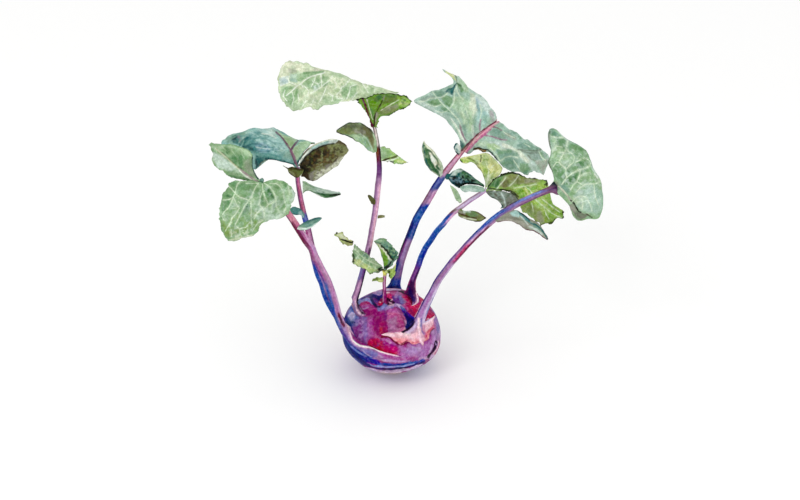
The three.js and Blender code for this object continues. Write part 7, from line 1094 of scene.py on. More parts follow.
        rim=["486.6,186.6 490,183.4 493,180 496.4,177 500,175.4 503,174.4 505.4,174 507.6,172.8 510,173.4 512,172.4 515,173.4 518,172.8 521,174.4 524,176.6 528,177.4 533,177.6 538,177.8 541,178.6 544,180 547,180.2 547.6,182.4 545.4,184.6 544,186 540,186.6 536,188.4 535,191",
             "540,198 546,199 550,202 554,204.6 558,207.6 562,209.4 565,210 563,212.4 562,214.4 564,216.6 563,219 560,217.6 557,217.8 554.6,219 553.6,222 550,222.6 547,222.4 544,224 541,224.8 538,222 534,219.6 530,217 526,213.6 520,209"],
        wash=[("A", "dark", "487,187 493,180.4 500,176 506,174.6 502,181 497,188", 1.6, 0.9), ("A", "forest", "492,185 499,179 501,181 497,188", 1.4, 0.75), ("L", "mid", "494,186.6 496,180", 0.3, 1.0, 0.5),
              ("A", "olive", "503,176 514,173.6 520,175 520,182 511,186 504,188 500,186", 2.0, 0.9), ("A", "umber", "500,183 507,180 509,185 503,188.6", 1.8, 0.7), ("L", "umber", "516,178 520,183", 1.0, 2.2, 0.5),
              ("A", "olive", "520,176 530,178 541,179.6 540,183 528,184 518,185", 1.6, 0.8), ("A", "taupe", "524,179 534,180 536,182 526,183", 1.6, 0.6),
              ("A", "lime", "513,187 522,184.4 534,184 545,182.6 541,187 536,189 535,194 528,199 522,197 514,190", 1.8, 0.95), ("A", "grass", "516,190 523,189 525,196 520,199.4 515,195", 1.8, 0.95), ("L", "grass", "528,187.6 536,189", 0.9, 1.6, 0.8), ("L", "yellow", "525,186.6 528,194", 0.4, 1.2, 0.55),
              ("L", "lime", "539,183 545,182", 0.9, 1.4, 0.7), ("L", "olive", "509,189 515,193.4 519,199", 0.7, 1.4, 0.7),
              ("A", "olive", "519,208 530,204 534,208 533,218 526,213", 2.4, 0.85), ("A", "olive", "534,207 543,211 545,223 538,222 533,216", 2.4, 0.75), ("L", "taupe", "539,213 541,222", 1.2, 2.2, 0.5), ("A", "grass", "541,200 549,203 560,210 562,214 552,211 544,206", 2.0, 0.9), ("A", "grass", "544,208 554,214 553,219 546,217", 2.2, 0.75), ("A", "lime", "534,200 540,199 548,206 556,213 563,218 554,217 544,209 534,204", 1.8, 0.7),
              ("L", "leafgreen", "548,206 555,211.4", 0.8, 1.8, 0.6),
              ("L", "ink", "487,187 493,180 499,176 505,174.2 512,173 519,174 526,177.2 534,178.2 541,178.8", 0.5, 0.6, 0.95), ("L", "ink", "545,180 547.4,182 545,184.8", 0.5, 0.6, 0.95), ("L", "ink", "487,188 494,188.8 502,189.8 509,190.8 514,193 518,197", 0.6, 0.7, 0.95),
              ("A", "grey", "486,189 494,190 503,191 510,192.6 516,197 512,197 500,194 488,192", 0.5, 0.97), ("N", "moss", "500,176 520,176 545,181 536,190 536,212 552,218 544,223 530,214 516,200 504,188", 3.0, 0.4, 2.2, 1.0), ("N", "yellow", "514,187 536,184 540,198 558,208 552,216 534,204 520,198", 2.0, 0.35, 1.8, 1.0), ("L", "ink", "565,210 563,212.6", 0.7, 0.6, 0.95), ("L", "ink", "564,216.6 562.6,218.8", 0.7, 0.6, 0.95), ("L", "ink", "554.6,219.6 553,222 549,222.8", 0.4, 0.6, 0.85), ("L", "moss", "545,224 541,224.6", 0.4, 0.8, 0.8)],
        veins=[("506,177.4 503,181.6 500,185 497,188.4", 0.9), ("518.6,175.4 516,179.4 513.4,182.4 509.6,186", 0.9), ("536,200 544,206.6 552,213.4 562,218.4", 1.1), ("542,199 550,205 560,212.4", 0.8), ("532,204 533.4,211", 0.7), ("544,207 546,214 549,219", 0.6), ("524,186 530,190 533,195", 0.6), ("514,188 524,186.6 536,184", 0.6)], vein_tone=0.75),
    "right_mid_side_lobe": dict(top=("sea", "seamid"), under=("sea", "seagrey"), side_veins=0, auto=0, rim=["460,187.6 463,186 467,185.2 472,185 477,185.6 482,187 488,188 494,189.4 499,190.4", "499,191.6 492,191.6 484,191.6 477,192 470,191.8 465,192.2 462,190.6 460,188.4"],
        wash=[("L", "seadeep", "464,187.6 472,187 480,188.4", 0.5, 1.4, 0.5), ("L", "mist", "464,190.4 474,190.6", 0.6, 1.2, 0.7), ("L", "seadeep", "484,190.6 492,190.6", 0.5, 1.2, 0.6)], vein_tone=0.5),
    "right_mid_leaflet_a": dict(top=("light", "pale"), under=("light", "pale"), side_veins=0, auto=0, rim=["450,184.6 452,188 454,190.6 456,194 457.6,197.6 458.4,203", "450,186 451.4,190 453,193.6 455,197.6 456.6,202"],
        wash=[("L", "mid", "452,187 455,192 457,198", 0.6, 1.4, 0.6)], vein_tone=0.4),
    "right_mid_leaflet_b": dict(top=("moss", "olive"), under=("moss", "olive"), side_veins=0, auto=0, midrib=False, rim=["456,211 460,210 465,211.6 470,210.4 475,210.8 479,212.4 482.4,215 486,218", "486,218.4 483,220.4 480,221.8 476,221.8 471,220.8 466,219.6 461,217.6 457,215"],
        wash=[("A", "deep", "466,212 474,211.4 480,215 474,217 468,215.6", 1.6, 0.7), ("L", "taupe", "458,211.6 464,213", 0.8, 1.4, 0.7), ("L", "mist", "464,211.6 470,211.6", 0.4, 1.0, 0.6), ("L", "brown", "456.6,212.6 462,214.4 468,216.6 476,218.4", 0.35, 0.7, 0.9), ("L", "cream", "460,217 468,218.6 476,219.8", 0.35, 0.8, 0.7),
              ("L", "bark", "460,217.8 468,220.2 476,221.6 481,221.2 486,218", 0.35, 0.6, 0.95), ("L", "brown", "478,212.4 486,218", 0.4, 0.7, 0.8), ("L", "greydark", "472,214 478,217", 0.6, 1.4, 0.5)], vein_tone=0.0),
    "right_front_blade": dict(edge=[("seadeep", 0.5, 0.45, None)], top=("mid", "seamid"), under=("grey", "taupe"), side_veins=0, auto=0, midrib=False,
        rim=["559,187 556,182 554,178.6 553.6,174 551.4,170 549,166 547.8,162.6 548.6,158.6 550.6,155 550.8,150 549.4,145 548.2,139.6 548,133.6 549.6,129.4 552,127.4 555.6,128.6 558.6,131.4 562,135 566,138.6 570,141 574,142.6 578,144.4 582,147.2 585.6,150 588.4,154 590,158.6 591.6,163 593,168 595.6,172.4 598.6,176.4 600.8,181 602.2,187 603,194 603.4,200 603.2,206 602,211 599,213.6 598.4,217 594.6,218.4 591,217.4 588,214.6 585,214.4 582.4,212.4 579,212.2"],
        wash=[("A", "light", "551,146 560,149 568,150 574,157 570,166 564,165 556,159 551,158", 4, 0.8), ("A", "sea", "575,190 590,187 600,190 602,206 597,216 586,213 577,207 574,198", 5, 0.9), ("A", "light", "552,138 556,139 558,146 553,150", 2, 0.75),
              ("A", "seamid", "596,188 602,190 603,204 598,206", 2.4, 0.6),
              ("A", "seadeep", "551.4,132.6 553.4,130.6 560,134.6 558,136.4 552,136.6", 1.0, 1.0), ("L", "dark", "552,135 554,132.6", 0.6, 1.2, 0.6),
              ("A", "dark", "556,139 563,138.8 567,142 565.6,149 560,146.6 557.6,143", 1.4, 0.75), ("L", "dark", "561,146 565,148.6", 0.5, 1.2, 0.6),
              ("A", "deep", "568.6,143 576,144.4 583.6,149 580,155 576,155.6 569,150", 1.6, 0.9), ("L", "dark", "574,147 581,150", 0.9, 2, 0.55), ("A", "deep", "583,151 588,156 589.6,165 584,162 580,157", 2, 0.8),
              ("A", "dark", "576.6,163 582,161 588,164.4 585,167.4 577,168", 1.6, 0.95), ("L", "forest", "578,164.6 584,164.6", 0.6, 1.4, 0.5),
              ("A", "dark", "568,177 574,173.4 578,173 577,179 573,184 567,185 564,184", 1.4, 0.95), ("L", "forest", "570,180 575,177", 0.8, 1.8, 0.6),
              ("A", "deep", "554,165 558,162 563,168 565,177 562,182 557,178 553,171", 1.8, 0.9), ("L", "forest", "563.6,173 565.6,178", 0.6, 1.2, 0.7), ("L", "dark", "555,172 560,178", 1.0, 2.0, 0.5), ("L", "forest", "567.4,169 568.6,173.6", 0.6, 1.2, 0.5),
              ("A", "deep", "570,167 576,165 578,169 572,172", 1.4, 0.7), ("L", "dark", "580,172.4 586,170", 0.7, 1.4, 0.75), ("L", "seadeep", "563,187 568,191", 1.2, 2.4, 0.8), ("A", "mid", "581,176 594,174 598,181 594,183 584,182 579,183", 2.6, 0.7), ("L", "deep", "590,182.6 596,180.6", 0.6, 1.6, 0.5),
              ("A", "pale", "572,198 580,194 588,200 582,208 576,205", 4, 0.35), ("L", "white", "594.6,174 597.6,177.6", 0.5, 0.7, 0.8), ("L", "mist", "590,161 593,170 598,177", 0.5, 0.9, 0.7), ("L", "mist", "558,131 568,141", 0.4, 0.9, 0.6),
              ("L", "greydark", "549.4,131 548.4,140 550.4,147 550.6,152.6 548.8,158 548.4,163 552,171", 0.5, 0.8, 0.8), ("L", "taupe", "549,134 549.4,144", 0.3, 0.7, 0.6),
              ("L", "taupe", "556,182 560,188 564,191.6 568,196.6 571,200.6", 0.5, 0.9, 0.75), ("L", "cream", "558.4,186 563.4,190.6 567.6,195.6", 0.3, 0.7, 0.7),
              ("A", "grey", "569,205 573,203.6 576.4,208 580,212.6 588,214.6 586,217.6 580.6,220 576,217.6 574.6,213 570,208.6", 1.2, 0.95), ("A", "greydark", "576,211 583,213.6 587,215.6 582,219 577,217", 1.4, 0.8), ("L", "taupe", "571,206 574,210", 0.9, 1.2, 0.7),
              ("L", "ink", "570.6,200.6 574.4,203.6 576,207 578.4,211.4 580.6,212.2", 0.55, 0.6, 1.0), ("L", "bark", "586,213.8 588.6,215.4 592,217.6", 0.4, 0.6, 0.9), ("L", "greydark", "575,213 576.4,218 581,220", 0.3, 0.7, 0.8), ("N", "mist", "551,132 566,140 584,150 592,170 602,186 600,208 584,206 566,186 552,166", 3.0, 0.4, 3.0, 1.0), ("N", "deep", "551,132 566,140 584,150 592,170 602,186 590,188 570,184 554,170", 3.0, 0.4, 2.2, 1.0)],
        veins=[("561.6,184.6 564.6,180.6 567,177.4 572,173.4 578,170.4 583,169.2 587.6,167 591,163.6", 1.5), ("566.6,177.6 565.6,172.4 566,168.8 561.6,165 559,162.4", 1.2), ("559,162 556,162.6 553.4,166.6", 0.9),
               ("566,169 569.4,165.6 573.4,162.6 574.6,157 572,153.6 568,151 566.2,148 567.2,143 568.4,140", 1.1), ("551.4,136.8 558,137.2 564.4,137.6", 1.1), ("559.6,161 562,156 565,151.6 566.4,148.4", 0.9),
               ("580.4,170.4 579.4,176 577,181.6 573,185.4 570.4,190", 1.1), ("580.6,176 585,173.4 590,172.4", 0.9), ("576.4,191.6 581,187 586,184.2 592,184 597,183.4 601.6,181", 1.1), ("572,202 576,197.4 581.4,196 586,197", 0.8),
               ("594,184.6 594.4,191 595.6,198 598.6,205", 0.8), ("577,181.6 582,184.6", 0.7), ("558,152 563,152.4", 0.5), ("553,151 556,146 562,147", 0.5), ("586,197 590,204 592,211", 0.6), ("581,196 583,203 582,210", 0.5), ("576,162 584,158 589,160", 0.6), ("580,155.6 577,159", 0.5)], vein_tone=0.9),
    "right_front_leaflet_up": dict(edge=[("ink", 0.6, 0.85, None)], top=("grey", "seagrey"), under=("grey", "greydark"), side_veins=0, auto=0, midrib=False,
        rim=["486,191.6 491,191.6 496,191 501,190.8 506,191.2 510,192.6 514,194.6 517,197.4 519.4,200.6 520.4,203.6", "486,192.4 489,195.4 491.6,197.4 495,198.6 498,201 500.6,203.4 502,206 502.6,210"],
        wash=[("A", "greydark", "487,192 498,192 502,196 503.6,203 498,200 491,196.4", 1.6, 0.6), ("L", "bark", "488,193 496,194.6 501,199", 0.5, 1.4, 0.5), ("A", "greydark", "503,191.6 512,194 518,200 512,200 506,196", 2, 0.4), ("N", "forest", "487,192 500,192 514,195 518,202 504,206 494,199", 1.5, 0.4, 1.8, 1.0), ("N", "seagrey", "487,192 500,192 514,195 518,202 504,206 494,199", 1.5, 0.6, 2.2, 1.0), ("A", "taupe", "510,198 518,201 514,205 508,208 507,202", 2, 0.45),
              ("A", "tealdark", "501.4,204 504,206 504.6,212 502,212 501,208", 0.9, 0.95), ("L", "mist", "501.4,193 504,198 505.2,204 505.2,210", 0.45, 0.6, 1.0), ("L", "greydark", "508,203 506.6,209", 0.4, 0.8, 0.7),
              ("L", "ink", "500,203 503,206", 0.35, 0.7, 0.7), ("L", "ink", "520,203.6 514,206 509,209.6", 0.6, 0.7, 0.95), ("L", "ink", "486,192.6 490,196.6 495,198.8", 0.3, 0.7, 0.7), ("L", "ink", "511,192.6 516,196 520,201.6", 0.35, 0.7, 0.7)], vein_tone=0.0),
    "right_front_leaflet_low": dict(edge=[("ink", 0.6, 0.8, "520,211 530,219.6 540,226.6 545,234 548.6,240"), ("wine", 0.6, 0.8, "494,223.6 506,221 517,223.6 529,231 537,232.4 546,239")], top=("grey", "taupe"), under=("grey", "seagrey"), side_veins=0, auto=0, midrib=False,
        rim=["512,210 517,210 521,212.4 525,215.4 529,218.4 533,220.4 537,222.8 540,226 543,229.6 544.6,233 547,236 548.4,239.6", "494,223.6 500,221.8 506,220.8 512,221.4 517,223.4 521,226.4 525,229.4 529,231 533,230.4 537,232.4 541,235.4 544,238.4 548,240"],
        wash=[("A", "teallight", "510,213 516,210.4 521,213.4 519,217 512,216", 1.2, 0.95), ("A", "tealmid", "519,211.6 524,214.6 530,220 532,224 526,221 520,216", 1.0, 0.95), ("L", "tealink", "520,212.4 525,216 529.6,220.4", 0.5, 0.8, 0.95),
              ("L", "mist", "520.6,216 525,221 528,224.4", 0.3, 0.7, 0.8), ("A", "taupe", "498,220 508,217.6 518,218.6 526,224 532,229 524,227 514,221.6 504,220.6", 2, 0.7), ("A", "greydark", "506,217 516,216.6 522,221 514,220", 1.6, 0.55),
              ("A", "seadeep", "530,221 537,224 544,231 547,237 540,232 533,226", 1.4, 0.85), ("L", "tealdark", "531,223.6 536,224.6 541,229 545,234.6 548,239.6", 0.4, 0.7, 0.9), ("L", "mist", "530,226.6 536,229.6 542,234", 0.5, 1.0, 0.7),
              ("L", "wine", "494,223.8 500,221.6 507,221 514,222.6 520,226 526,230.2 533,230.8 540,234.8 546,239.6", 0.35, 0.6, 0.9)], vein_tone=0.0),
}


def bulb():
    sides, rings = 372, 196
    # vertices lie closer together on the front half
    s = np.linspace(0, 1, 4001)
    dens = 1 + 1.5 * smooth(-0.35, 0.45, -np.sin(2 * math.pi * s))
    cum = np.concatenate([[0], np.cumsum((dens[1:] + dens[:-1]) / 2)])
    a = np.interp(np.arange(sides) / sides, cum / cum[-1], s) * 2 * math.pi
    out = []
    # flat cut with a woody, slightly dished face, and its rounded edge
    cut = [(0.0, 0.55), (3.5, 0.5), (7.0, 0.4), (10.0, 0.2), (11.6, 0.05), (12.6, 0.0), (CUT_RADIUS, 0.0),
           (CUT_RADIUS + 0.5, 0.25), (CUT_RADIUS + 0.9, 0.8), (CUT_RADIUS + 1.2, 1.5), (CUT_RADIUS + 1.6, 2.4)]
    for r, z in cut[1:]:
        R = r + (0.25 * np.sin(5 * a + 1) + 0.2 * np.sin(11 * a)) * (r > 9)
        out.append(np.stack([R * np.cos(a), R * np.sin(a), np.full(sides, z)], -1))
    ang = np.linspace(math.pi - 0.42, 0.012, rings)
    for psi in ang:
        d = np.stack([math.sin(psi) * np.cos(a), math.sin(psi) * np.sin(a), np.full(sides, math.cos(psi))], -1)
        out.append(on_skin(d))
    G = np.array(out)
    P = np.concatenate([G.reshape(-1, 3), [[0, 0, 0.55]], on_skin(np.array([[0, 0, 1.0]]))])
    n = len(G)
    faces = [ring_faces(n, sides), cap_faces(0, sides, n * sides, True), cap_faces((n - 1) * sides, sides, n * sides + 1, False)]
    d = norm(P - CENTRE)
    V = to_view(P)
    f = front_side(d)[:, None]
    z = P[:, 2]
    big, mid, small = fbm(P, 26, 31), fbm(P, 9, 32), fbm(P, 4, 33)
    T = np.zeros((len(P), 3)) + lin3("base")
    T = lay(T, smooth(-0.1, 0.5, big), "pinkm", 0.45)
    T = lay(T, smooth(0.05, 0.5, mid), "berry", 0.4)
    T = lay(T, smooth(0.0, 0.5, -mid), "greymauve", 0.45)
    # looser washes round the back and low down
    B = lay(T, smooth(0.05, 0.5, fbm(P, 30, 34)), "slate", 0.75)
    B = lay(B, smooth(0.0, 0.5, fbm(P, 24, 35)), "magenta", 0.7)
    B = lay(B, smooth(0.1, 0.5, fbm(P, 20, 36)), "orchid", 0.7)
    B = lay(B, smooth(0.15, 0.5, fbm(P, 26, 37)) * smooth(14, 40, z), "crimson", 0.65)
    B = lay(B, smooth(32, 12, z + 7 * fbm(P, 26, 38)), "ultra", 0.6)
    B = lay(B, smooth(0.1, 0.5, fbm(P, 16, 39)), "lilac", 0.5)
    F = washes(T, V, BULB_WASHES, 21)
    T = F * f + B * (1 - f)
    T = T * (1 + 0.16 * small + 0.12 * noise(P, 1.9, 40) + 0.10 * mid)[:, None]
    stub = smooth(3.4, 1.2, z)
    T = lay(T, stub, "wood", 1.0)
    return make_mesh("bulb_skin", P, faces, {"tint": T * SKIN_GAIN, "skin_c": np.stack([stub, smooth(12, 3, z), small], -1)})


# ------------------------------------------------------------------ stalks
def resample_closed(P, n):
    Q = np.vstack([P, P[:1]])
    L = np.concatenate([[0], np.cumsum(np.linalg.norm(np.diff(Q, axis=0), axis=1))])
    s = np.linspace(0, L[-1], n + 1)[:-1]
    # keep the sharp points of the outline
    for k in range(len(P)):
        i = np.argmin(np.abs(s - L[k]))
        s[i] = L[k]
    return np.stack([np.interp(s, L, Q[:, c]) for c in range(3)], -1)


def on_view(trace):
    """Points of the skin that lie under a trace in the main view."""
    V = pts_of(trace)
    D = norm(AXIS_F + (V[:, :1] - 400) / FOCAL * AXIS_R - (V[:, 1:] - 250) / FOCAL * AXIS_U)
    near = -(EYE - CENTRE) @ D.T
    s = near[:, None] + np.arange(-75, 12, 0.2)[None]
    X = EYE + D[:, None] * s[..., None]
    g = np.linalg.norm(X - CENTRE, axis=-1) - skin_fine(norm(X - CENTRE))
    hit = np.argmax(g < 0, axis=1)
    hit = np.where((g < 0).any(1), hit, np.argmin(g, axis=1))
    Q = X[np.arange(len(V)), hit]
    return on_skin(norm(Q - CENTRE))


STALK_SIDES = {"left_front_stalk": 84, "right_front_stalk": 116, "young_stalk": 40}
# a stalk end that widens into its blade: where it begins, by how much
FLARE = {"right_front_stalk": (0.93, 1.45), "left_back_stalk": (0.93, 0.25), "left_front_stalk": (0.988, 1.5), "young_stalk": (0.72, 0.75)}
STALK_STEP = {"left_front_stalk": 1.1, "right_front_stalk": 1.15, "young_stalk": 0.8}


def stalk(name):
    sides, step = STALK_SIDES.get(name, 48), STALK_STEP.get(name, 1.0)
    spec = STALKS[name]
    L = np.array(spec["line"])
    length = np.linalg.norm(np.diff(L[:, :3], axis=0), axis=1).sum()
    t = np.linspace(0, 1, max(24, int(length / step)))
    C = spline(L, t)
    if name in NUDGE:
        shift = np.array(NUDGE[name], float)
        C[:, :3] += np.interp(to_view(C[:, :3])[:, 1], shift[:, 0], shift[:, 1])[:, None] * AXIS_R
    if name in FLARE:
        t0, by = FLARE[name]
        C[:, 3] *= 1 + by * smooth(t0, 1.0, t)
    d = norm(C[:, :3] - CENTRE)
    clear = np.linalg.norm(C[:, :3] - CENTRE, axis=1) - skin(d) - 0.9 * C[:, 3]
    start = int(np.argmax((clear > 0) & (np.arange(len(C)) > 2)))
    C = C[start:]
    T = norm(np.gradient(C[:, :3], axis=0))
    outline = resample_closed(on_view(FOOT_TRACE[name]) if name in FOOT_TRACE else np.array(spec["foot"]), sides)
    side = outline[0] - C[0, :3]
    side = norm(side - (side @ T[0]) * T[0])
    up = np.cross(T[0], side)
    v = outline - C[0, :3]
    b = np.arctan2(v @ up, v @ side)
    ang = np.zeros(sides)
    last = 0.0
    for i in range(sides):
        x = b[i]
        while x < last - 0.6 and i > 0:
            x += 2 * math.pi
        last = min(max(x, last), 2 * math.pi)
        ang[i] = 0.35 * last + 0.65 * 2 * math.pi * i / sides
    rings = []
    N = side
    for k in range(len(C)):
        N = norm(N - (N @ T[k]) * T[k])
        B = np.cross(T[k], N)
        r = C[k, 3]
        th = ang[:, None]
        ringdir = np.cos(th) * N + np.sin(th) * B
        # shallow channel on the upper side, low ribs round the rest
        top = norm(np.array([0, 0, 1.0]) - (T[k] @ np.array([0, 0, 1.0])) * T[k])
        q = ringdir @ top
        rib = 1 - 0.10 * smooth(0.75, 1.0, q) + 0.018 * np.cos(9 * np.arctan2(ringdir @ np.cross(T[k], top), q))
        P = C[k, :3] + ringdir * (r * rib)[:, None]
        P = P + ringdir * (0.12 * fbm(P, 9, 41) + 0.05 * noise(P, 2.4, 42))[:, None] * min(1, r / 2.5)
        rings.append(P)
    rings = np.array(rings)
    # the foot: from the first ring down to its outline on the skin
    dring = norm(rings[0] - CENTRE)
    h0 = np.linalg.norm(rings[0] - CENTRE, axis=1) - skin_fine(dring)
    dout = norm(outline - CENTRE)
    reach = np.linalg.norm(rings[0] - outline, axis=1).max()
    foot = []
    tts = np.concatenate([np.linspace(0.04, 0.93, int(np.clip(reach / 0.75, 14, 44))), [0.955, 0.985, 1.0]])
    power = FOOT_POWER.get(name, 2.3)
    for tt in tts:
        dd = norm(dring * (1 - tt) + dout * tt)
        edge = 1.0 * (1 - smooth(0.86, 1.0, np.array([tt]))[0]) + 0.12
        h = edge + np.maximum(h0 - edge, 0) * (1 - tt) ** power
        h = h + 0.16 * fbm(CENTRE + dd * 45, 5, 43) * min(1, 4 * tt)
        foot.append(on_skin(dd, h))
    foot.append(on_skin(norm(dout * 0.99 + norm(dout.mean(0)) * 0.01), np.full(sides, -0.8)))
    foot = np.array(foot[::-1])
    G = np.concatenate([foot, rings])
    # lift any ring point that dips under the skin
    dG = norm(G - CENTRE)
    hG = np.linalg.norm(G - CENTRE, axis=-1) - skin_fine(dG)
    low = (hG < 0.5)
    low[:2] = False
    lift = np.where(low, 0.5 - hG, 0)
    near = np.linalg.norm(G - CENTRE, axis=-1) < 62
    G = G + dG * (lift * near)[..., None]
    # low ridges that run down the foot
    for pts, w, s, up_by in FOOT_RIDGES.get(name, []):
        m = line_mask(to_view(G), pts_of(pts), w, s, 0.3, 44) * (np.linalg.norm(G - CENTRE, axis=-1) < 60)
        m[:3] = 0
        G = G + norm(G - CENTRE) * (m * up_by)[..., None]
    # rounded tip
    tipc = C[-1, :3] + T[-1] * C[-1, 3] * 0.25
    tip = rings[-1] * 0.55 + C[-1, :3] * 0.45 + T[-1] * C[-1, 3] * 0.18
    G = np.concatenate([G, tip[None]])
    n = len(G)
    P = np.concatenate([G.reshape(-1, 3), [on_skin(norm(dout.mean(0))[None], np.array([-2.5]))[0]], [tipc]])
    faces = [ring_faces(n, sides), cap_faces(0, sides, n * sides, True), cap_faces((n - 1) * sides, sides, n * sides + 1, False)]
    V = to_view(P)
    # which side of the stalk a vertex lies on, seen from the front: -1 left, 1 right
    axis_pts = to_view(C[:, :3])[::3]
    near_j = np.concatenate([np.argmin(((V[i:i + 4000, None, :] - axis_pts[None]) ** 2).sum(-1), 1) for i in range(0, len(V), 4000)])
    a = axis_pts[near_j]
    tv = norm(axis_pts[np.minimum(near_j + 1, len(axis_pts) - 1)] - axis_pts[np.maximum(near_j - 1, 0)])
    right = (V[:, 0] - a[:, 0]) * (-tv[:, 1]) + (V[:, 1] - a[:, 1]) * tv[:, 0]
    wide = np.array([C[min(3 * q, len(C) - 1), 3] for q in near_j])
    across = np.clip(right / np.maximum(wide, 0.5), -1.6, 1.6)
    col = np.zeros((len(P), 3)) + lin3("stalkbase")
    col = lay(col, smooth(0.0, 0.5, fbm(P, 9, 50)), "greymauve", 0.5)
    wig = np.stack([V[:, 0] * 1.0, V[:, 1] * 0.35], -1)
    for q, (kind, y0, y1, soft, lo, hi, k) in enumerate(STALK_BANDS.get(name, [])):
        wob_y = 2.2 * noise(P, 6, 45 + q)
        along = smooth(y0 - soft, y0 + soft, V[:, 1] + wob_y) * (1 - smooth(y1 - soft, y1 + soft, V[:, 1] - wob_y))
        wx = across + 0.14 * noise(wig, 3.5, 47 + q)
        acr = smooth(lo - 0.17, lo + 0.17, wx) * (1 - smooth(hi - 0.17, hi + 0.17, wx))
        col = lay(col, along * acr, kind, k)
    col = washes(col, V, STALK_WASHES.get(name, []), 49)
    fine = fbm(P, 3.2, 51)
    col = col * (1 + 0.14 * fine + 0.10 * noise(P, 1.7, 52))[:, None]
    tip_w = smooth(0.82, 1.0, np.repeat(np.arange(n) / (n - 1), sides)) if n > 1 else 0
    tip_w = np.concatenate([tip_w, [0, 1]])
    return make_mesh(name + "_skin", P, faces, {"tint": col * SKIN_GAIN, "skin_c": np.stack([fine, tip_w, across], -1)})


# ------------------------------------------------------------------ blades
def nearest_on(V, pts):
    """Nearest point of a polyline for each vertex, and 0 where it is an end."""
    best = np.full(len(V), 1e9)
    Q = np.zeros_like(V)
    ok = np.zeros(len(V))
    m = len(pts) - 1
    for i in range(m):
        ab = pts[i + 1] - pts[i]
        t = ((V - pts[i]) @ ab) / max(ab @ ab, 1e-9)
        end = (t < -0.02) * (i == 0) + (t > 1.02) * (i == m - 1)
        tc = np.clip(t, 0, 1)
        q = pts[i] + tc[:, None] * ab
        d = np.linalg.norm(V - q, axis=1)
        hit = d < best
        best = np.where(hit, d, best)
        Q[hit] = q[hit]
        ok = np.where(hit, 1.0 - np.clip(end, 0, 1), ok)
    return best, Q, ok


def snap_row(S_edge, outward, lines, reach):
    """Move a margin, as seen in the main view, on to its traced outline."""
    V = to_view(S_edge)
    best = np.full(len(V), 1e9)
    D = np.zeros_like(V)
    for pts in lines:
        d, Q, ok = nearest_on(V, pts)
        d = np.where(ok > 0, d, 1e9)
        hit = d < best
        best = np.where(hit, d, best)
        D[hit] = (Q - V)[hit]
    w = 1 - smooth(0.6 * reach, reach, best)
    D = D * w[:, None]
    k = np.array([1, 3, 5, 3, 1.0])
    k = k / k.sum()
    pad = np.pad(D, ((2, 2), (0, 0)), mode="edge")
    D = np.stack([np.convolve(pad[:, c], k, "valid") for c in range(2)], -1)
    depth = (S_edge - EYE) @ AXIS_F / FOCAL
    return (D[:, :1] * AXIS_R - D[:, 1:] * AXIS_U) * depth[:, None]


